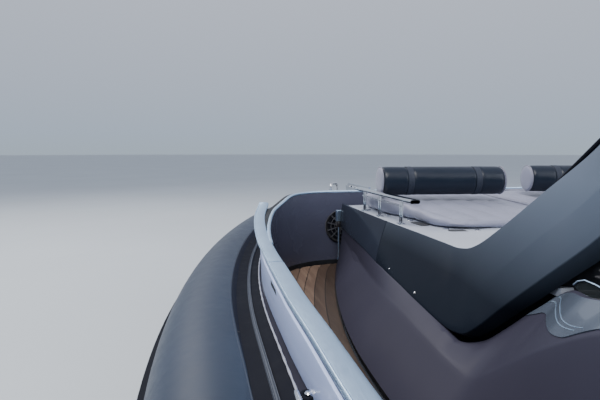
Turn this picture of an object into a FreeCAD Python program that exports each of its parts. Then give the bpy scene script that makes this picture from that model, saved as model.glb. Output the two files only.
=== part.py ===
import FreeCAD, Part
import math
import os

# Walk-around rigid inflatable boat, afloat.  Millimetres.
# Bow towards -Y, port +X, starboard -X, up +Z.  Z = 0 is the waterline,
# X = 0 the centreline and Y = 0 amidships.
V = FreeCAD.Vector
os.makedirs("parts", exist_ok=True)

# ---------------------------------------------------------------- sizes
DECK_Z = 1200.0          # top of the teak on the side decks
TEAK_T = 12.0            # teak thickness
HULL_TOP = DECK_Z - TEAK_T
SOLE_Z = 962.0           # top of the teak in the cockpit
FLOOR_Z = SOLE_Z - TEAK_T
GAP = 2.0                # glue gap between curved neighbours

TUBE_R = 300.0           # inflated collar
TUBE_X = 2260.0          # centre of the side tubes
TUBE_AFT = 6900.0        # where the stern cones start
TUBE_Z0 = 965.0          # height of the tube centre amidships
TUBE_RISE = 0.035        # rise forward per unit length
CONE_L = 620.0

WALL_X = 1935.0          # centre of the bulwark wall
WALL_H = 35.0            # half of its thickness
WALL_AFT = 6300.0
CAP_T = 18.0             # capping rail thickness
SHELF_OUT = 170.0        # gunwale shelf reaches this far inside the tube centre

TRANSOM_Y = 6900.0
CR_FRONT = -5720.0       # front face of the coachroof
CR_AFT = -3240.0         # bulkhead behind it
CR_TOP_X = 1145.0
CR_TOP_Z = 1750.0
ENGINE_BOX = (4600.0, 6300.0)     # engine room, Y
AFT_TOP = 1560.0         # top of the aft box
PLATFORM = (6905.0, 8300.0, 420.0, 520.0)   # swim platform Y0, Y1, Z0, Z1
HARDTOP_Z = (3150.0, 3250.0)

SHAFT_X = 750.0
SHAFT_END = V(SHAFT_X, 6520.0, -761.0)      # aft end of the propeller shaft
SHAFT_SLOPE = 9.1        # degrees
SHAFT_R = 30.0
PROP_R = 310.0
RUDDER_Y = 6800.0


# ---------------------------------------------------------------- helpers
def box(x0, x1, y0, y1, z0, z1):
    return Part.makeBox(x1 - x0, y1 - y0, z1 - z0, V(x0, y0, z0))


def cyl(r, p, q):
    d = q - p
    return Part.makeCylinder(r, d.Length, p, d)


def polygon(points):
    return Part.makePolygon([V(*p) for p in points] + [V(*points[0])])


def prism(points, direction):
    return Part.Face(polygon(points)).extrude(V(*direction))


def plan(points, z0, z1):
    """Vertical prism on an X, Y polygon."""
    return prism([(x, y, z0) for x, y in points], (0, 0, z1 - z0))


def both(half):
    """X, Y points of the port half, completed to starboard."""
    return half + [(-x, y) for x, y in reversed(half) if x > 0.5]


def loft(sections):
    return Part.makeLoft([polygon(s) for s in sections], True, True)


def mirror(shape):
    return shape.mirror(V(0, 0, 0), V(1, 0, 0))


def fuse(*shapes):
    out = shapes[0].fuse(list(shapes[1:])) if len(shapes) > 1 else shapes[0]
    return out.removeSplitter()


def heading(deg):
    a = math.radians(deg)
    return V(-math.sin(a), -math.cos(a), 0), V(-math.cos(a), math.sin(a), 0)


class Path:
    """Plan curve of tangent lines and arcs that turns inboard.
    runs: ("line", length) or ("arc", radius, degrees)."""

    def __init__(self, x, y, runs):
        self.runs = []
        p, deg = V(x, y, 0), 0.0
        for run in runs:
            d, n = heading(deg)
            if run[0] == "line":
                q = p + d * run[1]
                self.runs.append(("line", p, q, deg))
                p = q
            else:
                c = p + n * run[1]
                self.runs.append(("arc", c, run[1], deg, deg + run[2]))
                deg += run[2]
                p = c - heading(deg)[1] * run[1]
        self.end = p

    def edges(self, off, pick=None):
        out = []
        for i, run in enumerate(self.runs):
            if pick is not None and i not in pick:
                continue
            if run[0] == "line":
                n = heading(run[3])[1]
                out.append(Part.LineSegment(run[1] + n * off, run[2] + n * off).toShape())
            else:
                _, c, r, a0, a1 = run
                pts = [c - heading(a)[1] * (r - off) for a in (a0, (a0 + a1) / 2, a1)]
                out.append(Part.Arc(*pts).toShape())
        return out


def ends(edges):
    return edges[0].Vertexes[0].Point, edges[-1].Vertexes[-1].Point


def region(sets, z0, z1):
    """Prism on the closed curve made of the given edge sets."""
    edges = []
    for s in sets:
        edges += s
    wire = Part.Wire(Part.__sortEdges__(edges))
    face = Part.Face(wire)
    face.translate(V(0, 0, z0))
    return face.extrude(V(0, 0, z1 - z0))


def seg(p, q):
    return [Part.LineSegment(p, q).toShape()]


def ribbon(path, a, b, z0, z1, pick=None):
    """Wall between the offsets a and b of a path, on the port side."""
    ea, eb = path.edges(a, pick), path.edges(b, pick)
    (a0, a1), (b0, b1) = ends(ea), ends(eb)
    return region([ea, seg(a1, b1), eb, seg(b0, a0)], z0, z1)


def under(profile, x=3000.0, low=-3000.0):
    """Everything below a Y, Z line."""
    pts = [(-x, y, z) for y, z in profile]
    pts += [(-x, profile[-1][0], low), (-x, profile[0][0], low)]
    return prism(pts, (2 * x, 0, 0))


def band(profile, t, x=3000.0):
    """Sheet of thickness t under a Y, Z line."""
    pts = [(-x, y, z) for y, z in profile]
    pts += [(-x, y, z - t) for y, z in reversed(profile)]
    return prism(pts, (2 * x, 0, 0))


NODES = {}


def node(name, shape):
    NODES[name] = shape


def pair(name, shape):
    """A port piece and its starboard mirror image."""
    node(name + "_port", shape)
    node(name + "_starboard", mirror(shape))


def twins(name, shape):
    """Both mirrored pieces in one part: they never touch."""
    node(name, Part.makeCompound([shape, mirror(shape)]))


# ---------------------------------------------------------------- collar
TURN_Y = -3930.0
BOW_ARCS = [(8000.0, 24.0), (3400.0, 24.0)]      # radius, degrees of turn
turned, x_left = 0.0, TUBE_X
for r_, a_ in BOW_ARCS:
    x_left -= r_ * (math.cos(math.radians(turned)) - math.cos(math.radians(turned + a_)))
    turned += a_
NOSE_R = x_left / math.cos(math.radians(turned))
TUBE = Path(TUBE_X, TUBE_AFT, [("line", TUBE_AFT - TURN_Y)]
            + [("arc", r_, a_) for r_, a_ in BOW_ARCS] + [("arc", NOSE_R, 90.0 - turned)])


def along_tube(profile_points, pick):
    """Sweep of a closed section (offset outboard, height) along part of the collar."""
    parts = []
    for i in pick:
        run = TUBE.runs[i]
        a0 = run[3]
        d, n = heading(a0)
        p = run[1] if run[0] == "line" else run[1] - n * run[2]
        if profile_points is None:
            wire = Part.Wire([Part.makeCircle(sweep_r, p, d)])
        else:
            wire = polygon([tuple(p - n * o + V(0, 0, h)) for o, h in profile_points])
        face = Part.Face(wire)
        if run[0] == "line":
            parts.append(face.extrude(run[2] - run[1]))
        else:
            parts.append(face.revolve(run[1], V(0, 0, -1), run[4] - run[3]))
    return parts


def pitch(shape):
    """Lay a level collar shape along the rising sheer."""
    s = shape.copy()
    s.rotate(V(0, 0, 0), V(1, 0, 0), -math.degrees(math.atan(TUBE_RISE)))
    s.translate(V(0, 0, TUBE_Z0))
    return s


sweep_r = TUBE_R
straight = along_tube(None, [0])[0]
cone = Part.makeCone(TUBE_R, 110.0, CONE_L, V(TUBE_X, TUBE_AFT, 0), V(0, 1, 0))
side_tube = pitch(fuse(straight, cone))
twins("side_tubes", side_tube)
bow_half = along_tube(None, [1, 2, 3])
bow_tube = pitch(fuse(*bow_half, *[mirror(s) for s in bow_half]))
node("bow_tube", bow_tube)

sweep_r = TUBE_R + GAP
fat = along_tube(None, [0, 1, 2, 3])
fat_cone = Part.makeCone(TUBE_R + GAP, 112.0, CONE_L, V(TUBE_X, TUBE_AFT, 0), V(0, 1, 0))
collar = pitch(fuse(*fat, fat_cone, *[mirror(s) for s in fat], mirror(fat_cone)))

STRAKE = [(TUBE_R + 1, -32), (TUBE_R + 1, 32), (TUBE_R + 22, 24), (TUBE_R + 34, 0), (TUBE_R + 22, -24)]
strake = along_tube(STRAKE, [0, 1, 2, 3])
node("rubbing_strake", pitch(fuse(*strake, *[mirror(s) for s in strake])))

# ---------------------------------------------------------------- hull
# columns: Y, keel z, chine x, chine z, gunwale x
HULL = [
    (6900, -620, 1760, 20, 2060),
    (2000, -680, 1780, 60, 2060),
    (-2000, -660, 1720, 170, 2060),
    (-3930, -580, 1540, 300, 2060),
    (-5016, -470, 1320, 430, 1984),
    (-6080, -300, 1010, 600, 1758),
    (-7100, -40, 640, 800, 1385),
    (-7680, 230, 400, 940, 1050),
    (-8180, 620, 170, 1060, 600),
    (-8370, 900, 60, 1120, 280),
]
hull = loft([[(0, y, zk), (xc, y, zc), (xg, y, HULL_TOP), (-xg, y, HULL_TOP), (-xc, y, zc)]
             for y, zk, xc, zc, xg in HULL])
# half width of the cockpit floor along Y
COCKPIT = [(1080, CR_AFT), (1280, -2400), (1320, -500), (1360, 1200), (1360, 4340)]
hull = hull.cut(plan(both(COCKPIT), FLOOR_Z, HULL_TOP + 10))
hull = hull.cut(box(-1100, 1100, ENGINE_BOX[0], ENGINE_BOX[1], -50, HULL_TOP + 10))
# companionway down into the cabin: X0, X1, Y0, Y1, floor, head
LOBBY = (230.0, 870.0, -4500.0, CR_AFT, 330.0, 1690.0)
hull = hull.cut(box(LOBBY[0], LOBBY[1], LOBBY[2], LOBBY[3] + 10, LOBBY[4], HULL_TOP + 10))
# two stairs up to the cockpit
hull = fuse(hull, box(LOBBY[0], LOBBY[1], -3640, CR_AFT, LOBBY[4], 640),
            box(LOBBY[0], LOBBY[1], -3440, CR_AFT, 640, FLOOR_Z - 60))
# shaft tunnels
slope = math.radians(SHAFT_SLOPE)
shaft_dir = V(0, -math.cos(slope), math.sin(slope))
shaft_fore = SHAFT_END + shaft_dir * 3100.0
for s in (1, -1):
    a, b = V(s * SHAFT_X, shaft_fore.y, shaft_fore.z), V(s * SHAFT_X, SHAFT_END.y, SHAFT_END.z)
    hull = hull.cut(cyl(SHAFT_R + 6, a + shaft_dir * 10, b))
hull = hull.cut(collar)
# the hull proper ends at the cockpit floor; the deck moulding is bonded on top of it
lower = hull.common(box(-3000, 3000, -9500, 7500, -2000, FLOOR_Z))
moulding = hull.common(box(-3000, 3000, -9500, 7500, FLOOR_Z, HULL_TOP + 1))
node("hull", lower.removeSplitter())
node("deck_moulding", moulding.removeSplitter())

# ---------------------------------------------------------------- bulwark
BULWARK = Path(WALL_X, WALL_AFT, [("line", WALL_AFT + 4100.0), ("arc", 5680.0, 14.0),
                                  ("arc", 600.0, 76.0)])
BW_CENTRE = BULWARK.end
# top of the capping rail: Y, Z
CAP_LINE = [(6400, 1500), (1000, 1600), (-3000, 1640), (-5200, 1715), (-5500, 1740),
            (-5660, 1775), (-5760, 1838), (-5900, 1850), (-6000, 1852)]
WALL_LINE = [(y, z - CAP_T) for y, z in CAP_LINE]


def bulwark_half(a, b, z0, z1, pick):
    body = ribbon(BULWARK, a, b, z0, z1, pick)
    if 2 in pick:
        y = BW_CENTRE.y
        body = fuse(body, box(0, BW_CENTRE.x, y + a, y + b, z0, z1))
    return body


side_wall = bulwark_half(-WALL_H + 5, WALL_H - 5, HULL_TOP, 2000, [0]).common(under(WALL_LINE))
twins("side_bulwarks", side_wall)
bow_wall = bulwark_half(-WALL_H + 5, WALL_H - 5, HULL_TOP, 2000, [1, 2])
bow_wall = fuse(bow_wall, mirror(bow_wall)).common(under(WALL_LINE)).cut(collar)
node("bow_bulwark", bow_wall)
side_cap = bulwark_half(-WALL_H - 2, WALL_H, 1200, 2000, [0]).common(band(CAP_LINE, CAP_T))
twins("capping_rails", side_cap)
bow_cap = bulwark_half(-WALL_H - 2, WALL_H, 1200, 2000, [1, 2])
bow_cap = fuse(bow_cap, mirror(bow_cap)).common(band(CAP_LINE, CAP_T))
node("bow_capping", bow_cap)

# gunwale shelf and foredeck, between the bulwark and the collar
SHELF_LINE = [(6900, 1260), (-3000, 1420), (-6000, 1430), (-8800, 1450)]
tube_in = TUBE.edges(SHELF_OUT)
wall_out = BULWARK.edges(-WALL_H + 5 - 0.0)
t0, t1 = ends(tube_in)
w0, w1 = ends(wall_out)
wc = V(0, w1.y, 0)
half_shelf = region([tube_in, seg(t1, V(0, t1.y, 0)) if abs(t1.x) > 0.01 else [], seg(V(0, t1.y, 0), wc),
                     seg(wc, w1), wall_out, seg(w0, V(w0.x, TRANSOM_Y, 0)),
                     seg(V(w0.x, TRANSOM_Y, 0), t0)], HULL_TOP, 1500)
shelf = fuse(half_shelf, mirror(half_shelf)).common(under(SHELF_LINE)).cut(collar)
# anchor locker under the foredeck: X half width, Y0, Y1
LOCKER = (290.0, -7560.0, -6990.0)
locker_cut = box(-LOCKER[0], LOCKER[0], LOCKER[1], LOCKER[2], HULL_TOP - 1, 1500)
lid_seat = box(-LOCKER[0] - 30, LOCKER[0] + 30, LOCKER[1] - 30, LOCKER[2] + 40, 1406, 1500)
shelf = shelf.cut(locker_cut).cut(lid_seat)
node("foredeck", shelf)
LID_HINGE = V(0, LOCKER[2] + 22, 1430)
lid = box(-LOCKER[0] - 24, LOCKER[0] + 24, LOCKER[1] - 24, LOCKER[2] + 8, 1408, 1432)
lid = lid.cut(cyl(11, V(-400, LID_HINGE.y, LID_HINGE.z), V(400, LID_HINGE.y, LID_HINGE.z)))
lid_barrel = fuse(cyl(8, V(-200, LID_HINGE.y, LID_HINGE.z), V(-80, LID_HINGE.y, LID_HINGE.z)),
                  box(-200, -80, LID_HINGE.y - 20, LID_HINGE.y, 1424, 1432))
lid_barrel_2 = lid_barrel.copy()
lid_barrel_2.translate(V(280, 0, 0))
node("anchor_locker_lid", fuse(lid, lid_barrel, lid_barrel_2))

# ---------------------------------------------------------------- coachroof
# columns: Y, base x, chine x, chine z, top x, top z
COACHROOF = [
    (CR_FRONT, 1160, 1155, 1500, 1145, 1750),
    (-5310, 1325, 1255, 1460, 1145, 1750),
    (-4420, 1530, 1350, 1460, 1145, 1750),
    (-3840, 1615, 1400, 1490, 1145, 1750),
    (CR_AFT, 1605, 1430, 1526, 1200, 1765),
]
coachroof = loft([[(0, y, HULL_TOP), (xb, y, HULL_TOP), (xc, y, zc), (xt, y, zt), (0, y, zt + 20),
                   (-xt, y, zt), (-xc, y, zc), (-xb, y, HULL_TOP)]
                  for y, xb, xc, zc, xt, zt in COACHROOF])
coachroof = coachroof.cut(box(LOBBY[0], LOBBY[1], LOBBY[2], LOBBY[3] + 10, HULL_TOP - 10, LOBBY[5]))
node("coachroof", coachroof)

# gloss panels along the upper sides: Y, lower x, lower z, upper x, upper z
PANEL = [
    (CR_FRONT + 6, 1160, 1520, 1150, 1742),
    (-5310, 1243, 1500, 1152, 1742),
    (-4560, 1322, 1492, 1153, 1742),
]
PANEL_AFT = [
    (-4554, 1322, 1492, 1153, 1742),
    (-4420, 1336, 1490, 1153, 1742),
    (-3900, 1388, 1496, 1154, 1744),
]


def panel(rows, t=9.0):
    return loft([[(xl + 3, y, zl), (xu + 3, y, zu), (xu + 3 + t, y, zu + 3), (xl + 3 + t, y, zl)]
                 for y, xl, zl, xu, zu in rows])


twins("side_panels", panel(PANEL).cut(coachroof))

# boomerang pillar: lower edge point, leading edge point per station
PILLAR = [
    ((1398, -3900, 1496), (1164, -3904, 1748)),
    ((1366, -3486, 1500), (1150, -3870, 1756)),
    ((1182, -3115, 1951), (1000, -3320, 2210)),
    ((1010, -2090, HARDTOP_Z[0]), (960, -2400, HARDTOP_Z[0])),
]
PILLAR_T = 70.0


def quad(lower, upper, t):
    return [lower, upper, (upper[0] - t, upper[1], upper[2]), (lower[0] - t, lower[1], lower[2])]


pillar = loft([quad(lo, up, PILLAR_T) for lo, up in PILLAR[1:]])
foot = panel(PANEL_AFT)
pillar_all = fuse(pillar, loft([quad((1400, -3902, 1498), (1166, -3902, 1752), 9),
                                quad(PILLAR[1][0], PILLAR[1][1], 9)]), foot)
pillar_all = pillar_all.cut(coachroof)

# ---------------------------------------------------------------- coaming of the cockpit
# columns: Y, chine x, chine z, top outer x, top z, inner x
COAMING = [
    (CR_AFT + 1, 1430, 1526, 1200, 1765, 1082),
    (-2830, 1450, 1790, 1330, 1880, 1180),
    (-2400, 1470, 1900, 1380, 1960, 1282),
    (-500, 1500, 1880, 1420, 1930, 1322),
    (1200, 1520, 1700, 1460, 1740, 1362),
    (4340, 1540, 1600, 1480, 1630, 1362),
]
coaming = loft([[(1605, y, HULL_TOP), (xc, y, zc), (xt, y, zt), (xi, y, zt), (xi, y, HULL_TOP)]
                for y, xc, zc, xt, zt, xi in COAMING])
pillar_all = pillar_all.cut(coaming)
pillar_solid = max(pillar_all.Solids, key=lambda s: s.Volume)
twins("coamings", coaming)
twins("pillars", pillar_solid)

# ---------------------------------------------------------------- teak
wall_in = BULWARK.edges(WALL_H - 5 + 3)
i0, i1 = ends(wall_in)
teak_half = region([wall_in, seg(i1, V(0, i1.y, 0)), seg(V(0, i1.y, 0), V(0, 6300, 0)),
                    seg(V(0, 6300, 0), i0)], HULL_TOP, DECK_Z)
INNER = [(0, CR_FRONT - 3), (1163, CR_FRONT - 3), (1328, -5310), (1533, -4420), (1618, -3840),
         (1608, CR_AFT), (1608, 4343), (1488, 4343), (1488, 6310), (0, 6310)]
teak_half = teak_half.cut(plan(INNER, HULL_TOP - 5, DECK_Z + 5))
node("teak_side_decks", fuse(teak_half, mirror(teak_half)))
sole = plan(both([(x - 4, y + (4 if y < 0 and x < 1100 else -4 if y > 4000 else 0)) for x, y in COCKPIT]),
            FLOOR_Z, SOLE_Z)

# ---------------------------------------------------------------- windscreen, side glass, hardtop
lean = (PILLAR[3][1][1] - -3800.0) / (HARDTOP_Z[0] - 1790.0)


def screen_y(z):
    return -3800.0 + (z - 1790.0) * lean


GLASS_T = 12.0
screen = prism([(-1030, screen_y(1790), 1790), (1030, screen_y(1790), 1790),
                (860, screen_y(3140), 3140), (-860, screen_y(3140), 3140)], (0, GLASS_T, 0))
node("windscreen", screen.cut(coachroof).cut(pillar_solid).cut(mirror(pillar_solid)))


def side_x(z):
    return 1215.0 - (z - 1920.0) * 0.19


# Y, Z outline of the side glass
SIDE_GLASS = [(-2960, 1945), (-2460, 1990), (-700, 1955), (-640, 3140), (-2020, 3140)]
glass = prism([(side_x(z), y, z) for y, z in SIDE_GLASS], (10, 0, 0))
glass = glass.cut(coaming).cut(pillar_solid)
twins("side_glass", max(glass.Solids, key=lambda s: s.Volume))

HT = [(0, -2780), (820, -2720), (1120, -2420), (1240, 1050), (1060, 1420), (0, 1460)]
hardtop = plan(both(HT), HARDTOP_Z[0], HARDTOP_Z[1])
hardtop = hardtop.fuse(plan(both([(0, -2560), (740, -2500), (1000, -2250), (1100, 950), (950, 1250), (0, 1280)]),
                            HARDTOP_Z[1], HARDTOP_Z[1] + 45))
hardtop = hardtop.fuse(cyl(210, V(0, 200, HARDTOP_Z[1] + 40), V(0, 200, HARDTOP_Z[1] + 65)))
node("hardtop", hardtop.removeSplitter())
LEG = [((1440, 640, 1795), (1440, 1060, 1745)), ((1130, 160, HARDTOP_Z[0]), (1130, 760, HARDTOP_Z[0]))]
leg = loft([[a, b, (b[0] - 60, b[1], b[2]), (a[0] - 60, a[1], a[2])] for a, b in LEG])
leg = leg.cut(coaming)
twins("hardtop_legs", max(leg.Solids, key=lambda s: s.Volume))
mast = fuse(cyl(150, V(0, 1000, HARDTOP_Z[1] + 45), V(0, 1000, HARDTOP_Z[1] + 65)),
            cyl(28, V(0, 1000, HARDTOP_Z[1] + 60), V(0, 1000, HARDTOP_Z[1] + 640)),
            cyl(48, V(0, 1000, HARDTOP_Z[1] + 640), V(0, 1000, HARDTOP_Z[1] + 730)))
node("light_mast", mast)

# ---------------------------------------------------------------- sunpad on the coachroof
PAD_Z = (1776.0, 1871.0)
PAD = [(0, -5610), (900, -5610), (1000, -5580), (1058, -5480), (1078, -5200), (1060, -5000), (1028, -4880), (1010, -4740), (1004, -4500),
       (975, -4410), (925, -4345), (850, -4310), (760, -4292), (0, -4275)]
pad_bottom = PAD_Z[0]
pad = plan(both(PAD), pad_bottom, PAD_Z[1])
# thin at its after edge, thicker under the bolsters
pad_wedge = prism([(-1200, -5000, PAD_Z[1]), (-1200, -4200, 1794), (-1200, -4200, 1950), (-1200, -5000, 1950)], (2400, 0, 0))
node("bow_sunpad", pad.cut(coachroof).cut(pad_wedge))
BOLSTER_R = 108.0
BOLSTER_Z = PAD_Z[1] + BOLSTER_R + 2
BOLSTERS = [(V(1056, -5144, BOLSTER_Z), V(150, -5040, BOLSTER_Z)), (V(-185, -5200, BOLSTER_Z), V(-1042, -5018, BOLSTER_Z))]
node("bolsters", Part.makeCompound([cyl(BOLSTER_R, *b) for b in BOLSTERS]))
# flat-oval handrail on double posts
RAIL_X, RAIL_Z, RAIL_Y = 1105.0, 1905.0, (-5370.0, -4470.0)
oval = fuse(box(RAIL_X - 20, RAIL_X + 20, RAIL_Y[0], RAIL_Y[1], RAIL_Z - 10, RAIL_Z + 10),
            cyl(10, V(RAIL_X - 20, RAIL_Y[0], RAIL_Z), V(RAIL_X - 20, RAIL_Y[1], RAIL_Z)),
            cyl(10, V(RAIL_X + 20, RAIL_Y[0], RAIL_Z), V(RAIL_X + 20, RAIL_Y[1], RAIL_Z)))
posts = []
for y in (-5290.0, -4990.0, -4640.0):
    for dy in (-14, 14):
        posts.append(cyl(6, V(RAIL_X, y + dy, 1762), V(RAIL_X, y + dy, RAIL_Z)))
lower_bar = cyl(6, V(RAIL_X, RAIL_Y[0] + 30, 1860), V(RAIL_X, RAIL_Y[1] - 60, 1860))
rail = fuse(oval, lower_bar, *posts).cut(coachroof)
twins("sunpad_rails", rail)

# speakers on the inner face of the bow wall
wall_face = BW_CENTRE.y + WALL_H - 5
spk = [cyl(145, V(s * 1100, wall_face, 1537), V(s * 1100, wall_face + 14, 1537)).cut(bow_wall) for s in (1, -1)]
node("speakers", Part.makeCompound(spk))

# ---------------------------------------------------------------- helm
DASH = [(-3236, SOLE_Z), (-2700, SOLE_Z), (-2640, 1620), (-2900, 1850), (-3236, 1880)]
dash = prism([(-1060, y, z) for y, z in DASH], (1240, 0, 0)).cut(mirror(coaming))
node("helm_console", dash)
WHEEL_C = V(-560, -2590, 1700)
WHEEL_TILT = 25.0
wt = math.radians(WHEEL_TILT)
wheel_axis = V(0, -math.cos(wt), -math.sin(wt))
rim = Part.makeTorus(190, 16, WHEEL_C, wheel_axis)
hub = cyl(34, WHEEL_C - wheel_axis * 22, WHEEL_C + wheel_axis * 42)
spokes = []
for a in (90, 210, 330):
    side = V(1, 0, 0)
    up = wheel_axis.cross(side)
    r = side * math.cos(math.radians(a)) + up * math.sin(math.radians(a))
    spokes.append(cyl(9, WHEEL_C + r * 20, WHEEL_C + r * 188))
node("steering_wheel", fuse(rim, hub, *spokes))
# door of the companionway, hinged on its port side
DOOR_PIN = V(880, CR_AFT + 26, 0)
door = fuse(box(LOBBY[0] - 10, DOOR_PIN.x, CR_AFT + 8, CR_AFT + 40, SOLE_Z + 8, LOBBY[5] + 10),
            cyl(12, V(DOOR_PIN.x, DOOR_PIN.y, SOLE_Z + 8), V(DOOR_PIN.x, DOOR_PIN.y, LOBBY[5] + 10)))
node("companionway_door", door)
seat_parts = []
seat_pads = []
for x in (-850.0, -270.0):
    seat_parts.append(fuse(cyl(60, V(x, -1700, SOLE_Z), V(x, -1700, 1440)),
                           cyl(150, V(x, -1700, SOLE_Z), V(x, -1700, SOLE_Z + 15)),
                           box(x - 230, x + 230, -1940, -1480, 1440, 1490)))
    seat_pads.append(fuse(box(x - 235, x + 235, -1960, -1480, 1492, 1600),
                          prism([(x - 235, -1570, 1600), (x - 235, -1470, 1492), (x - 235, -1390, 2200),
                                 (x - 235, -1480, 2200)], (470, 0, 0))))
node("helm_seat_pedestals", Part.makeCompound(seat_parts))
node("helm_seat_cushions", Part.makeCompound(seat_pads))

# ---------------------------------------------------------------- cockpit
# port lounge: L of seat boxes with cushions, and a wet bar to starboard
LOUNGE = [(1304, -900), (1350, 1200), (1350, 4140), (-100, 4140), (-100, 3500), (720, 3500), (720, -900)]
node("lounge_base", plan(LOUNGE, SOLE_Z, 1300).cut(coaming))
SEAT_PAD = [(1240, -880), (1240, 4030), (-90, 4030), (-90, 3510), (730, 3510), (730, -880)]
node("lounge_seat_cushion", plan(SEAT_PAD, 1302, 1420))
BACK_PAD = [(1350, -880), (1350, 4140), (-90, 4140), (-90, 4035), (1245, 4035), (1245, -880)]
node("lounge_back_cushion", plan(BACK_PAD, 1302, 1700).cut(coaming))
table = fuse(cyl(45, V(250, 1700, SOLE_Z), V(250, 1700, 1600)), cyl(200, V(250, 1700, SOLE_Z), V(250, 1700, SOLE_Z + 14)),
             box(-80, 580, 900, 2500, 1600, 1634))
node("cockpit_table", table)
node("cockpit_sole", sole)
BAR = (-1345.0, -760.0, -700.0, 1500.0, 1880.0)
bar = box(BAR[0] + 37, BAR[1], BAR[2], BAR[3], SOLE_Z, BAR[4]).cut(
    box(BAR[0] + 90, BAR[1] - 60, BAR[2] + 140, BAR[3] - 1240, 1560, 1900)).cut(mirror(coaming))
node("wet_bar", bar)
BAR_PIN = V(BAR[0] + 70, 0, BAR[4] + 16)
bar_lid = fuse(box(BAR[0] + 84, BAR[1] - 20, BAR[2] + 110, BAR[3] - 1210, BAR[4] + 6, BAR[4] + 28),
               box(BAR_PIN.x, BAR[0] + 90, BAR[2] + 200, BAR[3] - 1300, BAR[4] + 10, BAR[4] + 22),
               cyl(9, V(BAR_PIN.x, BAR[2] + 200, BAR_PIN.z), V(BAR_PIN.x, BAR[3] - 1300, BAR_PIN.z)))
node("wet_bar_lid", bar_lid)

# ---------------------------------------------------------------- stern
aft = box(-1480, 1480, 4345, 6500, HULL_TOP, AFT_TOP).cut(
    box(-1100, 1100, ENGINE_BOX[0], ENGINE_BOX[1], HULL_TOP - 1, AFT_TOP + 1))
node("aft_box", aft)
HATCH_PIN = V(0, 4440, AFT_TOP + 24)
hatch = fuse(box(-1300, 1300, 4458, 6400, AFT_TOP + 6, AFT_TOP + 42),
             box(-1000, -600, HATCH_PIN.y, 4470, AFT_TOP + 16, AFT_TOP + 32),
             box(600, 1000, HATCH_PIN.y, 4470, AFT_TOP + 16, AFT_TOP + 32),
             cyl(14, V(-1000, HATCH_PIN.y, HATCH_PIN.z), V(-600, HATCH_PIN.y, HATCH_PIN.z)),
             cyl(14, V(600, HATCH_PIN.y, HATCH_PIN.z), V(1000, HATCH_PIN.y, HATCH_PIN.z)))
node("engine_hatch", hatch)
node("aft_sunpad", box(-1290, 1290, 4475, 6390, AFT_TOP + 43, AFT_TOP + 150))
twins("engines", box(300, 960, 4720, 6120, -48, 900).fuse(box(420, 840, 5000, 5900, 900, 1050)).removeSplitter())

# swim platform and its teak
PY0, PY1, PZ0, PZ1 = PLATFORM
plat = plan(both([(0, PY0), (1700, PY0), (1900, PY0 + 60), (1900, PY1 - 320), (1620, PY1), (0, PY1)]), PZ0, PZ1 - TEAK_T)
plat_teak = plan(both([(0, PY0 + 40), (1660, PY0 + 40), (1840, PY0 + 110), (1840, PY1 - 350), (1590, PY1 - 50), (0, PY1 - 50)]),
                 PZ1 - TEAK_T, PZ1)
LAD_X = (560.0, 960.0)      # ladder bay
plat_teak = plat_teak.cut(box(1480, 1905, 6900, 7140, 400, 600)).cut(box(-1905, -1480, 6900, 7140, 400, 600))
plat_teak = plat_teak.cut(box(LAD_X[0] - 64, LAD_X[1] + 64, 7340, PY1 + 10, 400, 600))
node("platform_teak", plat_teak)
# steps between the side deck and the platform
steps = fuse(box(1490, 1895, PY0, 7130, PZ1 - TEAK_T, 760), box(1490, 1895, PY0, 7000, 760, 990))
node("swim_platform", fuse(plat, steps, mirror(steps)))
GATE_PIN = V(1505, 6420, 0)
gate = fuse(box(1505, 1885, 6402, 6438, 1215, 1530),
            cyl(16, V(GATE_PIN.x, GATE_PIN.y, 1215), V(GATE_PIN.x, GATE_PIN.y, 1530)))
pair("transom_gate", gate)
# boarding ladder, folded flat on the platform; it swings over the aft edge
LAD_PIN = V(0, PY1 + 28, PZ1 + 16)
lad = [cyl(14, V(x, LAD_PIN.y, LAD_PIN.z), V(x, 7380, LAD_PIN.z)) for x in LAD_X]
lad += [cyl(12, V(LAD_X[0], y, LAD_PIN.z), V(LAD_X[1], y, LAD_PIN.z)) for y in (7430, 7690, 7950)]
lad += [cyl(15, V(LAD_X[0] - 30, LAD_PIN.y, LAD_PIN.z), V(LAD_X[1] + 30, LAD_PIN.y, LAD_PIN.z))]
node("boarding_ladder", fuse(*lad))
ears = []
for x in (LAD_X[0] - 60, LAD_X[1] + 36):
    ear = fuse(box(x, x + 24, PY1 - 60, PY1 + 50, PZ1 - TEAK_T, PZ1 + 36), box(x, x + 24, PY1 + 0.5, PY1 + 50, PZ0 + 30, PZ1 + 36))
    ears.append(ear)
node("ladder_brackets", Part.makeCompound(ears))

# ---------------------------------------------------------------- running gear
HUB_AFT = SHAFT_END
prop_c = SHAFT_END + shaft_dir * 150.0
shaft = cyl(SHAFT_R, SHAFT_END, shaft_fore)
prop_hub = fuse(cyl(66, prop_c + shaft_dir * 90, prop_c - shaft_dir * 90),
                Part.makeCone(66, 20, 90, prop_c - shaft_dir * 90, shaft_dir * -1))
BLADES = 4
blades = []
up = V(0, math.sin(slope), math.cos(slope))
for i in range(BLADES):
    blade = Part.Face(Part.Wire([
        Part.Arc(V(-20, 0, 50), V(-125, 0, 190), V(-40, 0, PROP_R - 8)).toShape(),
        Part.Arc(V(-40, 0, PROP_R - 8), V(20, 0, PROP_R), V(85, 0, PROP_R - 40)).toShape(),
        Part.Arc(V(85, 0, PROP_R - 40), V(115, 0, 180), V(35, 0, 50)).toShape(),
        Part.LineSegment(V(35, 0, 50), V(-20, 0, 50)).toShape()])).extrude(V(0, 12, 0))
    blade.rotate(V(0, 0, 0), V(0, 0, 1), 33)
    blade.rotate(V(0, 0, 0), V(0, 1, 0), 360.0 / BLADES * i)
    blade.rotate(V(0, 0, 0), V(1, 0, 0), -SHAFT_SLOPE)
    blade.translate(prop_c)
    blades.append(blade)
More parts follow.
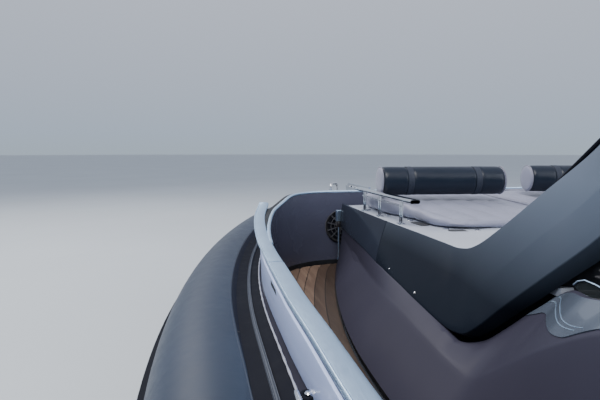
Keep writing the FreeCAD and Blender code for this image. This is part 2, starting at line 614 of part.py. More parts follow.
prop = fuse(shaft, prop_hub, *blades)
pair("propeller", prop)
# bracket: barrel round the shaft and a strut to the hull
br = prop_c + shaft_dir * 330.0
barrel = cyl(58, br + shaft_dir * 80, br - shaft_dir * 80)
strut = prism([(SHAFT_X - 16, br.y - 100, br.z + 20), (SHAFT_X - 16, br.y + 70, br.z + 20),
               (SHAFT_X - 16, br.y - 20, -150), (SHAFT_X - 16, br.y - 220, -150)], (32, 0, 0))
bracket = fuse(barrel, strut).cut(cyl(SHAFT_R + 0.5, br + shaft_dir * 200, br - shaft_dir * 200)).cut(hull)
bracket = max(bracket.Solids, key=lambda s: s.Volume)
node("shaft_brackets", Part.makeCompound([bracket, mirror(bracket)]))
rud_blade = prism([(SHAFT_X - 22, RUDDER_Y - 130, -400), (SHAFT_X - 22, RUDDER_Y + 250, -430),
                   (SHAFT_X - 22, RUDDER_Y + 230, -1020), (SHAFT_X - 22, RUDDER_Y - 90, -1020)], (44, 0, 0))
rudder = fuse(rud_blade, cyl(30, V(SHAFT_X, RUDDER_Y, -345), V(SHAFT_X, RUDDER_Y, -500)))
HULL_UNDER = hull
rudder = rudder.cut(cyl(200, V(SHAFT_X, RUDDER_Y, -368), V(SHAFT_X, RUDDER_Y, 0)))
pair("rudder", rudder)
# trim tabs along the transom's lower edge
dead = math.degrees(math.atan2(640.0, 1760.0))
TAB_X = (1000.0, 1500.0)
tab = box(0, 520, TRANSOM_Y + 14, TRANSOM_Y + 390, -6, 6).fuse(cyl(14, V(10, TRANSOM_Y + 20, 0), V(510, TRANSOM_Y + 20, 0)))
tab = tab.removeSplitter()
tab.rotate(V(0, 0, 0), V(0, 1, 0), -dead)
tab.translate(V(TAB_X[0], 0, -620 + TAB_X[0] * 640.0 / 1760.0 + 22))
pair("trim_tab", tab)

# ---------------------------------------------------------------- fittings
def cleat(p, along):
    d = V(*along)
    c = V(*p)
    bar_ = cyl(10, c + d * -110 + V(0, 0, 42), c + d * 110 + V(0, 0, 42))
    feet = [cyl(12, c + d * k, c + d * k + V(0, 0, 42)) for k in (-38, 38)]
    return fuse(bar_, *feet)


cleats = []
for s in (1, -1):
    for y in (5900.0, 600.0, -3220.0):
        z = SHELF_LINE[0][1] + (SHELF_LINE[0][0] - y) * (SHELF_LINE[1][1] - SHELF_LINE[0][1]) / (SHELF_LINE[0][0] - SHELF_LINE[1][0])
        if y < -3000:
            z = 1420 + (-3000 - y) * 10.0 / 3000.0
        cleats.append(cleat((s * 2030, y, z + 1), (0, 1, 0)))
    cleats.append(cleat((s * 760, -7350, 1441), (math.cos(math.radians(45)), s * math.sin(math.radians(45)), 0)))
node("cleats", Part.makeCompound(cleats))
ROLLER = V(0, -8960, 1618)
cheek = prism([(60, -8000, 1447), (60, -8270, 1448), (60, -8290, 1582), (60, -9000, 1582), (60, -9010, 1650),
               (60, -8600, 1640), (60, -8000, 1560)], (14, 0, 0))
roller = fuse(cheek, mirror(cheek), cyl(10, V(-74, ROLLER.y, ROLLER.z), V(74, ROLLER.y, ROLLER.z)),
              cyl(29, V(-54, ROLLER.y, ROLLER.z), V(54, ROLLER.y, ROLLER.z)),
              box(-74, 74, -8270, -8000, 1447, 1456))
node("bow_roller", roller.cut(collar))
FLUKE_Z = 1330.0
anchor = fuse(box(-15, 15, -9080, -8150, 1650, 1684),
              prism([(-15, -9080, 1684), (-15, -9080, 1650), (-15, -9040, 1650), (-15, -9060, 1560),
                     (-15, -9105, FLUKE_Z), (-15, -9190, FLUKE_Z), (-15, -9130, 1640)], (30, 0, 0)),
              prism([(x, y, FLUKE_Z + (-9105 - y) * 0.6) for x, y in
                     [(0, -9100), (150, -9140), (185, -9260), (60, -9230), (0, -9330), (-60, -9230), (-185, -9260),
                      (-150, -9140)]], (0, 14, -24)))
node("anchor", anchor)
EYE = V(0, -8330, 690)
stem_eye = box(-10, 10, EYE.y, EYE.y + 260, EYE.z - 45, EYE.z + 45).fuse(
    cyl(45, V(-10, EYE.y, EYE.z), V(10, EYE.y, EYE.z))).removeSplitter()
stem_eye = stem_eye.cut(cyl(16, V(-30, EYE.y, EYE.z), V(30, EYE.y, EYE.z))).cut(hull)
node("bow_eye", max(stem_eye.Solids, key=lambda q: q.Volume))
socket = fuse(cyl(42, V(0, 6452, AFT_TOP), V(0, 6452, AFT_TOP + 8)), cyl(27, V(0, 6452, AFT_TOP), V(0, 6452, AFT_TOP + 90)))
socket = socket.cut(cyl(16.2, V(0, 6452, AFT_TOP + 10), V(0, 6452, AFT_TOP + 91)))
node("flagstaff_socket", socket)

# ---------------------------------------------------------------- write
for name, shape in NODES.items():
    if len(shape.Solids) == 1:
        shape = shape.Solids[0]
    ok = shape.isValid()
    bb = shape.BoundBox
    print("%-24s solids %2d valid %s vol %.4f m3  x %.0f..%.0f y %.0f..%.0f z %.0f..%.0f" % (
        name, len(shape.Solids), ok, shape.Volume / 1e9, bb.XMin, bb.XMax, bb.YMin, bb.YMax, bb.ZMin, bb.ZMax))
    shape.exportStep("parts/" + name + ".step")
print(len(NODES), "nodes")
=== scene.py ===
import bpy, bmesh, math, random
import numpy as np
from mathutils import Vector, Matrix, noise


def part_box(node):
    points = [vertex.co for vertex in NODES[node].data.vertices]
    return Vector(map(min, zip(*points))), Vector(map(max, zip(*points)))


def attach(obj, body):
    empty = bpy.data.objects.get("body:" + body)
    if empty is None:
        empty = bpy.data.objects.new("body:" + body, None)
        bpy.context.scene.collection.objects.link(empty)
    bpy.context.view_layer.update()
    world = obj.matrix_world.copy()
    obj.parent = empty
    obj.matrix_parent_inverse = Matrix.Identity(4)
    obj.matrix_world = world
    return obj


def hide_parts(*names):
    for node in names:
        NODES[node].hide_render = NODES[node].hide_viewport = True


# Walk-around rigid inflatable boat, finish and soft parts.  Metres.
# Bow towards -Y, port +X, up +Z, Z = 0 is the waterline.
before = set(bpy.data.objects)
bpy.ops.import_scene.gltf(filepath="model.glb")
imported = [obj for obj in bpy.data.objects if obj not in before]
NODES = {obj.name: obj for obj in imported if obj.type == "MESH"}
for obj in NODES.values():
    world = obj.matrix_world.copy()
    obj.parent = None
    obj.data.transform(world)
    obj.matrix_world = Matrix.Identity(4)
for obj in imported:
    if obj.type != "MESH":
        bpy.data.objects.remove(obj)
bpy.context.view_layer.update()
scene = bpy.context.scene
random.seed(7)
rng = np.random.default_rng(7)

# ---------------------------------------------------------------- camera
cam_data = bpy.data.cameras.new("camera")
cam_data.lens = 28.0
cam_data.sensor_width = 36.0
cam_data.clip_start = 0.05
cam_data.clip_end = 4000.0
cam = bpy.data.objects.new("camera", cam_data)
scene.collection.objects.link(cam)
cam.location = (2.30, -2.00, 2.20)
yaw, pitch_down = math.radians(12.0), math.radians(6.1)
look = Vector((-math.sin(yaw) * math.cos(pitch_down), -math.cos(yaw) * math.cos(pitch_down), -math.sin(pitch_down)))
cam.rotation_euler = look.to_track_quat("-Z", "Y").to_euler()
scene.camera = cam


# ---------------------------------------------------------------- curves
def pchip(xs, ys):
    """Smooth curve through the points that never overshoots them."""
    xs, ys = np.array(xs, float), np.array(ys, float)
    if xs[0] > xs[-1]:
        xs, ys = xs[::-1], ys[::-1]
    h = np.diff(xs)
    d = np.diff(ys) / h
    m = np.zeros(len(xs))
    m[0], m[-1] = d[0], d[-1]
    for i in range(1, len(xs) - 1):
        if d[i - 1] * d[i] > 0:
            w1, w2 = 2 * h[i] + h[i - 1], h[i] + 2 * h[i - 1]
            m[i] = (w1 + w2) / (w1 / d[i - 1] + w2 / d[i])

    def f(x):
        x = np.clip(np.asarray(x, float), xs[0], xs[-1])
        i = np.clip(np.searchsorted(xs, x) - 1, 0, len(xs) - 2)
        t = (x - xs[i]) / h[i]
        return ((1 + 2 * t) * (1 - t) ** 2 * ys[i] + t * (1 - t) ** 2 * h[i] * m[i]
                + t * t * (3 - 2 * t) * ys[i + 1] + t * t * (t - 1) * h[i] * m[i + 1])
    return f


def linear(points, soft=0.0):
    """Straight runs through points, each corner eased over +-soft."""
    pts = sorted(points)
    xs, ys = [p[0] for p in pts], [p[1] for p in pts]

    def f(x):
        x = np.asarray(x, float)
        if soft <= 0:
            return np.interp(x, xs, ys)
        return sum(np.interp(x + k * soft / 4, xs, ys) for k in range(-4, 5)) / 9.0
    return f


class Path:
    """Plan curve of tangent lines and arcs that turns inboard, port side, from aft to the centreline."""

    def __init__(self, x, y, runs):
        self.runs, self.lengths = [], []
        p, deg = np.array([x, y], float), 0.0
        for run in runs:
            d, n = self.heading(deg)
            if run[0] == "line":
                self.runs.append(("line", p, deg))
                self.lengths.append(run[1])
                p = p + d * run[1]
            else:
                c = p + n * run[1]
                self.runs.append(("arc", c, run[1], deg))
                self.lengths.append(run[1] * math.radians(run[2]))
                deg += run[2]
                p = c - self.heading(deg)[1] * run[1]
        self.total = sum(self.lengths)
        self.end = p

    @staticmethod
    def heading(deg):
        a = math.radians(deg)
        return np.array([-math.sin(a), -math.cos(a)]), np.array([-math.cos(a), math.sin(a)])

    def at(self, s):
        """Point and outboard normal at the distance s from the aft end."""
        for run, length in zip(self.runs, self.lengths):
            if s <= length + 1e-9 or run is self.runs[-1]:
                if run[0] == "line":
                    d, n = self.heading(run[2])
                    return run[1] + d * s, -n
                deg = run[3] + math.degrees(s / run[2])
                n = self.heading(deg)[1]
                return run[1] - n * run[2], -n
            s -= length

    def samples(self, s0=0.0, s1=None, step=0.1, fine=0.03):
        s1 = self.total if s1 is None else s1
        marks, s = {round(s0, 6), round(s1, 6)}, 0.0
        for run, length in zip(self.runs, self.lengths):
            k = step if run[0] == "line" else max(fine, min(step, run[2] * 0.06))
            n = max(1, int(math.ceil(length / k)))
            for i in range(n + 1):
                q = s + length * i / n
                if s0 < q < s1:
                    marks.add(round(q, 6))
            s += length
        return [self.at(q) for q in sorted(marks)]


def both_sides(samples):
    """Port samples continued over the centreline to starboard."""
    star = [(np.array([-p[0], p[1]]), np.array([-n[0], n[1]])) for p, n in reversed(samples)]
    if abs(samples[-1][0][0]) < 1e-4:
        star = star[1:]
    return samples + star


BULWARK = Path(1.935, 6.3, [("line", 10.4), ("arc", 5.68, 14.0), ("arc", 0.6, 76.0), ("line", 1.184)])
CORNER_S = 10.4 + 5.68 * math.radians(14.0)      # where the tight corner starts
TUBE_R = 0.300
TURN_Y = -3.93
turned, left = 0.0, 2.26
for r_, a_ in [(8.0, 24.0), (3.4, 24.0)]:
    left -= r_ * (math.cos(math.radians(turned)) - math.cos(math.radians(turned + a_)))
    turned += a_
NOSE_R = left / math.cos(math.radians(turned))
TUBE = Path(2.26, 6.9, [("line", 6.9 - TURN_Y), ("arc", 8.0, 24.0), ("arc", 3.4, 24.0), ("arc", NOSE_R, 90.0 - turned)])


def tube_z(y):
    """Height of the collar's centre line."""
    return 0.965 - 0.035 * y


cap_z = linear([(6.4, 1.5), (1.0, 1.6), (-3.0, 1.64), (-5.2, 1.715), (-5.5, 1.74), (-5.66, 1.775), (-5.76, 1.838),
                (-5.9, 1.85), (-6.0, 1.852)], 0.05)
shelf_z = linear([(6.9, 1.26), (-3.0, 1.42), (-6.0, 1.43), (-8.8, 1.45)])


# ---------------------------------------------------------------- meshes
def link(ob):
    scene.collection.objects.link(ob)
    return ob


def make(name, verts, faces, mat, slot, body="boat", smooth=True, sharp=35.0, bevel=0.0, segs=2, replaces=(), extra=None,
         recalc=True, bevel_angle=35.0):
    """A finished piece in the row frame that rides on a body."""
    me = bpy.data.meshes.new(name)
    me.from_pydata([tuple(map(float, v)) for v in verts], [], [tuple(int(i) for i in f) for f in faces])
    me.validate()
    bm = bmesh.new()
    bm.from_mesh(me)
    bmesh.ops.remove_doubles(bm, verts=bm.verts, dist=1e-5)
    if recalc:
        bmesh.ops.recalc_face_normals(bm, faces=bm.faces)
    bm.to_mesh(me)
    bm.free()
    return dress(bpy.data.objects.new(name, me), mat, body, smooth, sharp, bevel, segs, replaces, bevel_angle)


def dress(ob, mat, body="boat", smooth=True, sharp=35.0, bevel=0.0, segs=2, replaces=(), bevel_angle=35.0):
    me = ob.data
    if ob.name not in scene.collection.objects:
        link(ob)
    mats = mat if isinstance(mat, (list, tuple)) else [mat]
    if not len(me.materials):
        for m in mats:
            me.materials.append(m)
    for p in me.polygons:
        p.use_smooth = smooth
    if smooth and bevel <= 0:
        me.set_sharp_from_angle(angle=math.radians(sharp))
    if bevel > 0:
        b = ob.modifiers.new("edge", "BEVEL")
        b.width = bevel
        b.segments = segs
        b.limit_method = "ANGLE"
        b.angle_limit = math.radians(bevel_angle)
        b.harden_normals = True
        b.use_clamp_overlap = True
    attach(ob, body)
    if replaces:
        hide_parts(*replaces)
    return ob


def merge(*parts):
    """Several (verts, faces) lists as one."""
    V, F = [], []
    for v, f in parts:
        k = len(V)
        V += [tuple(map(float, p)) for p in v]
        F += [tuple(int(i) + k for i in q) for q in f]
    return V, F


def mirrored(vf):
    v, f = vf
    return [(-p[0], p[1], p[2]) for p in v], [tuple(reversed(q)) for q in f]


def twin(vf):
    return merge(vf, mirrored(vf))


def grid(rows, close_u=False, close_v=False):
    """Quads over rows of equally many points."""
    nv, nu = len(rows), len(rows[0])
    V = [p for r in rows for p in r]
    F = []
    for i in range(nv if close_v else nv - 1):
        for j in range(nu if close_u else nu - 1):
            a, b = i * nu + j, i * nu + (j + 1) % nu
            c, d = ((i + 1) % nv) * nu + (j + 1) % nu, ((i + 1) % nv) * nu + j
            F.append((a, b, c, d))
    return V, F


def capped(rows):
    """Closed tube of rows with both ends closed."""
    V, F = grid(rows, close_u=True)
    n = len(rows[0])
    F.append(tuple(range(n - 1, -1, -1)))
    k = (len(rows) - 1) * n
    F.append(tuple(range(k, k + n)))
    return V, F


def sweep(samples, profile, ends=True, close=False):
    """profile(p, n) gives (offset outboard, height) points of a closed section at each plan sample."""
    rows = []
    for p, n in samples:
        rows.append([(p[0] + n[0] * o, p[1] + n[1] * o, z) for o, z in profile(p, n)])
    if close:
        return grid(rows, close_u=True, close_v=True)
    return capped(rows) if ends else grid(rows, close_u=True)


def rounded(points, radii, n=4):
    """Polyline with its inner corners rounded: the same number of points whatever the shape."""
    pts = [np.array(p, float) for p in points]
    out = [pts[0]]
    for i in range(1, len(pts) - 1):
        a, b, c = pts[i - 1], pts[i], pts[i + 1]
        r = radii[i] if isinstance(radii, (list, tuple)) else radii
        u, w = a - b, c - b
        lu, lw = np.linalg.norm(u), np.linalg.norm(w)
        r = min(r, lu * 0.45, lw * 0.45)
        p, q = b + u / max(lu, 1e-9) * r, b + w / max(lw, 1e-9) * r
        for k in range(n + 1):
            t = k / n
            out.append((1 - t) ** 2 * p + 2 * t * (1 - t) * b + t * t * q)
    out.append(pts[-1])
    return out


def closed_round(points, r, n=3):
    """Closed polygon with every corner rounded."""
    pts = [np.array(p, float) for p in points]
    out, m = [], len(pts)
    for i in range(m):
        a, b, c = pts[i - 1], pts[i], pts[(i + 1) % m]
        k = r[i] if isinstance(r, (list, tuple)) else r
        u, w = a - b, c - b
        lu, lw = np.linalg.norm(u), np.linalg.norm(w)
        k = min(k, lu * 0.48, lw * 0.48)
        p, q = b + u / lu * k, b + w / lw * k
        for j in range(n + 1):
            t = j / n
            out.append((1 - t) ** 2 * p + 2 * t * (1 - t) * b + t * t * q)
    return out


def boxvf(x0, x1, y0, y1, z0, z1):
    v = [(x, y, z) for x in (x0, x1) for y in (y0, y1) for z in (z0, z1)]
    return v, [(0, 1, 3, 2), (4, 6, 7, 5), (0, 4, 5, 1), (2, 3, 7, 6), (0, 2, 6, 4), (1, 5, 7, 3)]


def prismvf(points, vec):
    """Prism on a planar 3-D polygon."""
    a = [np.array(p, float) for p in points]
    v = np.array(vec, float)
    n = len(a)
    V = a + [p + v for p in a]
    F = [tuple(range(n - 1, -1, -1)), tuple(range(n, 2 * n))]
    F += [(i, (i + 1) % n, n + (i + 1) % n, n + i) for i in range(n)]
    return V, F


def planvf(points, z0, z1, zf=None):
    """Vertical prism on X, Y points; zf(y) gives the top's height if given."""
    n = len(points)
    V = [(x, y, z0) for x, y in points] + [(x, y, z1 if zf is None else float(zf(y)) + z1) for x, y in points]
    F = [tuple(range(n - 1, -1, -1)), tuple(range(n, 2 * n))]
    F += [(i, (i + 1) % n, n + (i + 1) % n, n + i) for i in range(n)]
    return V, F


def both(half):
    return half + [(-x, y) for x, y in reversed(half) if x > 0.0005]


def tubevf(points, r, segs=12, closed=False, cap=True):
    """Round tube along 3-D points; r may be a list."""
    pts = [np.array(p, float) for p in points]
    n = len(pts)
    rows = []
    last = None
    for i, p in enumerate(pts):
        if closed:
            t = pts[(i + 1) % n] - pts[i - 1]
        else:
            t = pts[min(i + 1, n - 1)] - pts[max(i - 1, 0)]
        t = t / np.linalg.norm(t)
        if last is None:
            ref = np.array([0, 0, 1.0]) if abs(t[2]) < 0.9 else np.array([1.0, 0, 0])
            u = np.cross(t, ref)
        else:
            u = last - t * np.dot(last, t)
        u = u / np.linalg.norm(u)
        last = u
        w = np.cross(t, u)
        k = r[i] if isinstance(r, (list, tuple)) else r
        rows.append([p + (u * math.cos(a) + w * math.sin(a)) * k for a in np.linspace(0, 2 * math.pi, segs, endpoint=False)])
    if closed:
        return grid(rows, close_u=True, close_v=True)
    return capped(rows) if cap else grid(rows, close_u=True)


def cylvf(p, q, r, segs=24, r2=None, edge=0.0):
    """Round bar from p to q; edge eases its rims."""
    p, q = np.array(p, float), np.array(q, float)
    length = float(np.linalg.norm(q - p))
    r2 = r if r2 is None else r2
    if edge <= 0:
        return lathe([(0, r), (length, r2)], p, q - p, segs)
    e = min(edge, length * 0.45, r * 0.9, r2 * 0.9)
    arc = [(e * (1 - math.cos(math.radians(a))), e * (1 - math.sin(math.radians(a)))) for a in (0, 30, 60, 90)]
    low = [(h, r - d) for h, d in arc]
    high = [(length - h, r2 - d) for h, d in reversed(arc)]
    return lathe(low + high, p, q - p, segs)


def lathe(profile, origin, axis, segs=32):
    """Surface of revolution: profile of (distance along axis, radius)."""
    d = np.array(axis, float)
    d = d / np.linalg.norm(d)
    ref = np.array([0, 0, 1.0]) if abs(d[2]) < 0.9 else np.array([1.0, 0, 0])
    u = np.cross(d, ref)
    u = u / np.linalg.norm(u)
    w = np.cross(d, u)
    o = np.array(origin, float)
    rows = [[o + d * h + (u * math.cos(a) + w * math.sin(a)) * max(r, 1e-4)
             for a in np.linspace(0, 2 * math.pi, segs, endpoint=False)] for h, r in profile]
    return capped(rows)


def add_box(name, b, mat, slot, bevel=0.012, segs=3, **k):
    v, f = boxvf(*b)
    return make(name, v, f, mat, slot, bevel=bevel, segs=segs, **k)


def apply_modifiers(ob):
    dg = bpy.context.evaluated_depsgraph_get()
    me = bpy.data.meshes.new_from_object(ob.evaluated_get(dg))
    old = ob.data
    ob.modifiers.clear()
    ob.data = me
    bpy.data.meshes.remove(old)
    return ob


# ---------------------------------------------------------------- materials
class Mat:
    """Small helper round one Principled material."""

    def __init__(self, name, **values):
        self.m = bpy.data.materials.new(name)
        self.m.use_nodes = True
        self.t = self.m.node_tree
        self.t.nodes.clear()
        self.out = self.t.nodes.new("ShaderNodeOutputMaterial")
        self.b = self.t.nodes.new("ShaderNodeBsdfPrincipled")
        self.t.links.new(self.b.outputs[0], self.out.inputs["Surface"])
        for k, v in values.items():
            self.b.inputs[k.replace("_", " ")].default_value = v
        self.co = self.t.nodes.new("ShaderNodeTexCoord")

    def node(self, kind, **k):
        n = self.t.nodes.new(kind)
        for a, b in k.items():
            setattr(n, a, b)
        return n

    def link(self, a, b):
        self.t.links.new(a, b)

    def mapping(self, scale):
        m = self.node("ShaderNodeMapping")
        m.inputs["Scale"].default_value = scale
        self.link(self.co.outputs["Object"], m.inputs["Vector"])
        return m.outputs["Vector"]

    def noise(self, scale, detail=2.0, rough=0.5, vec=None, distortion=0.0):
        n = self.node("ShaderNodeTexNoise")
        n.inputs["Scale"].default_value = scale
        n.inputs["Detail"].default_value = detail
        n.inputs["Roughness"].default_value = rough
        n.inputs["Distortion"].default_value = distortion
        self.link(vec if vec is not None else self.co.outputs["Object"], n.inputs["Vector"])
        return n.outputs["Fac"]

    def voronoi(self, scale, vec=None, feature="F1"):
        n = self.node("ShaderNodeTexVoronoi", feature=feature)
        n.inputs["Scale"].default_value = scale
        self.link(vec if vec is not None else self.co.outputs["Object"], n.inputs["Vector"])
        return n.outputs["Distance"]

    def ramp(self, fac, stops):
        r = self.node("ShaderNodeValToRGB")
        el = r.color_ramp.elements
        while len(el) > len(stops):
            el.remove(el[-1])
        while len(el) < len(stops):
            el.new(0.5)
        for e, (pos, c) in zip(el, stops):
            e.position = pos
            e.color = (*c, 1.0) if not isinstance(c, float) else (c, c, c, 1.0)
        self.link(fac, r.inputs["Fac"])
        return r.outputs["Color"]

    def mix(self, fac, a, b, mode="MIX"):
        n = self.node("ShaderNodeMix", data_type="RGBA", blend_type=mode)
        for k, val in ((0, fac), (6, a), (7, b)):
            sock = n.inputs[k]
            if hasattr(val, "is_linked") or hasattr(val, "links"):
                self.link(val, sock)
            elif isinstance(val, (int, float)):
                sock.default_value = val if k == 0 else (val, val, val, 1.0)
            else:
                sock.default_value = (*val, 1.0)
        return n.outputs[2]

    def math(self, op, a, b=0.0):
        n = self.node("ShaderNodeMath", operation=op)
        for s, v in ((n.inputs[0], a), (n.inputs[1], b)):
            if hasattr(v, "links"):
                self.link(v, s)
            else:
                s.default_value = v
        return n.outputs[0]

    def remap(self, v, a, b, c, d):
        n = self.node("ShaderNodeMapRange")
        self.link(v, n.inputs["Value"])
        for k, x in zip(("From Min", "From Max", "To Min", "To Max"), (a, b, c, d)):
            n.inputs[k].default_value = x
        return n.outputs["Result"]

    def bump(self, height, strength=0.2, distance=0.001, under=None):
        n = self.node("ShaderNodeBump")
        n.inputs["Strength"].default_value = strength
        n.inputs["Distance"].default_value = distance
        self.link(height, n.inputs["Height"])
        if under is not None:
            self.link(under, n.inputs["Normal"])
        return n.outputs["Normal"]

    def set(self, **k):
        for name, v in k.items():
            self.link(v, self.b.inputs[name.replace("_", " ")])
        return self


def tint(c, k):
    return tuple(min(1.0, max(0.0, x * k)) for x in c)


def paint(name, c, rough=0.25, coat=0.0, coat_rough=0.05, vary=0.12, peel=0.06, dust=0.25, spec=0.5):
    """Sprayed or gelcoat finish: slight orange peel, soft mottling and a trace of dried salt."""
    m = Mat(name, Specular_IOR_Level=spec, Coat_Weight=coat, Coat_Roughness=coat_rough)
    big = m.noise(1.7, 3.0, 0.55)
    small = m.noise(38.0, 3.0, 0.6)
    base = m.ramp(big, [(0.3, tint(c, 1 - vary)), (0.7, tint(c, 1 + vary))])
    salt = m.remap(small, 0.50, 0.80, 0.0, dust * 0.12)
    grey = tuple(0.5 * x + 0.12 for x in c)
    m.set(Base_Color=m.mix(salt, base, grey))
    m.set(Roughness=m.remap(m.noise(5.0, 2.0, 0.5), 0.25, 0.75, rough * 0.92, rough * 1.14))
    if peel > 0:
        m.set(Normal=m.bump(m.noise(240.0, 1.0), peel, 0.0006))
    return m.m


def metal(name, c, rough=0.25, brushed=(1, 1, 1), vary=0.1):
    m = Mat(name, Metallic=1.0)
    v = m.mapping(brushed)
    lines = m.noise(60.0, 4.0, 0.65, vec=v)
    m.set(Base_Color=m.ramp(m.noise(5.0, 3.0), [(0.3, tint(c, 1 - vary)), (0.7, tint(c, 1 + vary * 0.6))]))
    m.set(Roughness=m.remap(lines, 0.3, 0.7, rough * 0.75, rough * 1.3))
    m.set(Normal=m.bump(lines, 0.06, 0.0004))
    return m.m


def coated_fabric(name, c, rough=0.55, spec=0.42, sheen=0.03):
    m = Mat(name, Specular_IOR_Level=spec, Sheen_Weight=sheen, Sheen_Roughness=0.5)
    cloud = m.noise(1.1, 4.0, 0.6)
    scuff = m.noise(14.0, 6.0, 0.7)
    base = m.ramp(cloud, [(0.28, tint(c, 0.86)), (0.72, tint(c, 1.16))])
    worn = m.remap(scuff, 0.5, 0.8, 0.0, 0.22)
    m.set(Base_Color=m.mix(worn, base, tint(c, 1.7)))
    m.set(Roughness=m.remap(scuff, 0.3, 0.75, rough * 0.86, rough * 1.18))
    weave = m.voronoi(620.0)
    soft = m.noise(7.0, 2.0)
    m.set(Normal=m.bump(weave, 0.22, 0.0006, under=m.bump(soft, 0.12, 0.006)))
    return m.m


def vinyl(name, c, rough=0.42, grain=900.0, depth=0.3, sheen=0.2, spec=0.45):
    m = Mat(name, Specular_IOR_Level=spec, Sheen_Weight=sheen, Sheen_Roughness=0.45)
    cloud = m.noise(3.0, 4.0, 0.6)
    m.set(Base_Color=m.ramp(cloud, [(0.3, tint(c, 0.9)), (0.7, tint(c, 1.08))]))
    cells = m.voronoi(grain)
    m.set(Roughness=m.remap(m.noise(22.0, 4.0, 0.6), 0.3, 0.7, rough * 0.85, rough * 1.2))
    m.set(Normal=m.bump(cells, depth, 0.0005, under=m.bump(m.noise(26.0, 3.0, 0.55), 0.25, 0.003)))
    return m.m


def teak(name, stretch=(34.0, 2.2, 34.0), c1=(0.150, 0.098, 0.070), c2=(0.262, 0.180, 0.130), gloss=0.5):
    m = Mat(name, Specular_IOR_Level=0.35)
    v = m.mapping(stretch)
    grain = m.noise(1.0, 6.0, 0.68, vec=v, distortion=0.6)
    fine = m.noise(5.0, 3.0, 0.7, vec=v)
    tone = m.node("ShaderNodeAttribute", attribute_name="tone").outputs["Fac"]
    base = m.ramp(grain, [(0.25, tint(c1, 0.75)), (0.5, c1), (0.78, c2)])
    # tones under 0.34 come only from the painted shade on the boards beside the deckhouse
    plank = m.mix(1.0, base, m.ramp(tone, [(0.0, 0.22), (0.34, 0.70), (1.0, 1.16)]), "MULTIPLY")
    m.set(Base_Color=m.mix(m.remap(fine, 0.55, 0.75, 0.0, 0.5), plank, tint(c1, 0.45)))
    m.set(Roughness=m.remap(grain, 0.2, 0.8, gloss * 0.9, gloss * 1.3))
    m.set(Normal=m.bump(fine, 0.35, 0.0008))
    return m.m


M = {}
M["collar_fabric"] = coated_fabric("collar_fabric", (0.019, 0.030, 0.054), 0.42, 0.26)
M["black_rubber"] = coated_fabric("black_rubber", (0.010, 0.011, 0.016), 0.6, 0.03, 0.0)
M["caulk"] = coated_fabric("caulk", (0.010, 0.009, 0.009), 0.6)
# pale light-blue finish of the wall's outer face: the blue is a painted sky reflection
M["bulwark_gelcoat"] = paint("bulwark_gelcoat", (0.52, 0.62, 0.92), 0.30, 0.2, 0.08, 0.04, 0.03, 0.08)
M["silver_gelcoat"] = paint("silver_gelcoat", (0.46, 0.51, 0.60), 0.30, 0.2, 0.08, 0.04, 0.03, 0.08)
M["deckhouse_satin"] = paint("deckhouse_satin", (0.036, 0.035, 0.054), 0.40, 0.0, 0.10, 0.05, 0.02, 0.02, 0.12)
M["deckhouse_cockpit"] = paint("deckhouse_cockpit", (0.075, 0.073, 0.088), 0.30, 0.1, 0.15, 0.10, 0.05, 0.25)
M["gloss_panel"] = paint("gloss_panel", (0.009, 0.012, 0.019), 0.14, 0.0, 0.02, 0.08, 0.010, 0.02, 0.02)
# a lighter copy of the gloss panel paint for the front panels: painted sheen
M["gloss_front_painted_sheen"] = paint("gloss_front_painted_sheen", (0.018, 0.022, 0.034), 0.14, 0.0, 0.02, 0.08, 0.010, 0.02, 0.02)
M["pale_deck"] = paint("pale_deck", (0.50, 0.52, 0.56), 0.38, 0.1, 0.2, 0.05, 0.10, 0.3)
M["roof_top"] = paint("roof_top", (0.50, 0.54, 0.62), 0.30, 0.2, 0.1, 0.06, 0.03, 0.3)
# alloy with a blue tint in its colour: the tint is a painted sky reflection
M["satin_alloy"] = metal("satin_alloy", (0.60, 0.78, 0.98), 0.36, (6.0, 0.35, 6.0), 0.06)
M["stainless"] = metal("stainless", (0.60, 0.62, 0.65), 0.20, (3.0, 3.0, 3.0), 0.06)
M["polished_steel"] = metal("polished_steel", (0.72, 0.73, 0.75), 0.07, (2.0, 2.0, 2.0), 0.04)
M["bronze"] = metal("bronze", (0.45, 0.31, 0.15), 0.33, (2.0, 2.0, 2.0), 0.18)
M["pale_upholstery"] = vinyl("pale_upholstery", (0.238, 0.250, 0.335), 0.48)
M["piping"] = vinyl("piping", (0.22, 0.225, 0.28), 0.4)
M["dark_upholstery"] = vinyl("dark_upholstery", (0.007, 0.013, 0.026), 0.34, 900.0, 0.3, 0.03, 0.35)
# inner face of the bulwark wall: a lighter, bluer copy of the deckhouse satin, painted light on the aft-facing wall
M["wall_satin_painted_light"] = paint("wall_satin_painted_light", (0.066, 0.070, 0.108), 0.26, 0.15, 0.15, 0.08, 0.04, 0.25, 0.35)


def pillar_paint():
    """Dark gloss with a painted sky reflection: the colour pales towards the upper part of the raked pillars."""
    m = Mat("pillar_gloss_painted_sky", Specular_IOR_Level=0.03)
    z = m.node("ShaderNodeSeparateXYZ")
    m.link(m.co.outputs["Object"], z.inputs[0])
    up = m.remap(z.outputs["Z"], 1.66, 2.10, 0.0, 1.0)
    big = m.noise(1.7, 3.0, 0.55)
    low = m.ramp(big, [(0.3, (0.008, 0.011, 0.018)), (0.7, (0.010, 0.013, 0.020))])
    high = m.ramp(big, [(0.3, (0.090, 0.114, 0.155)), (0.7, (0.104, 0.130, 0.175))])
    m.set(Base_Color=m.mix(up, low, high))
    m.set(Roughness=m.remap(m.noise(9.0, 4.0, 0.6), 0.3, 0.75, 0.16, 0.24))
    m.set(Normal=m.bump(m.noise(240.0, 1.0), 0.015, 0.0006))
    return m.m


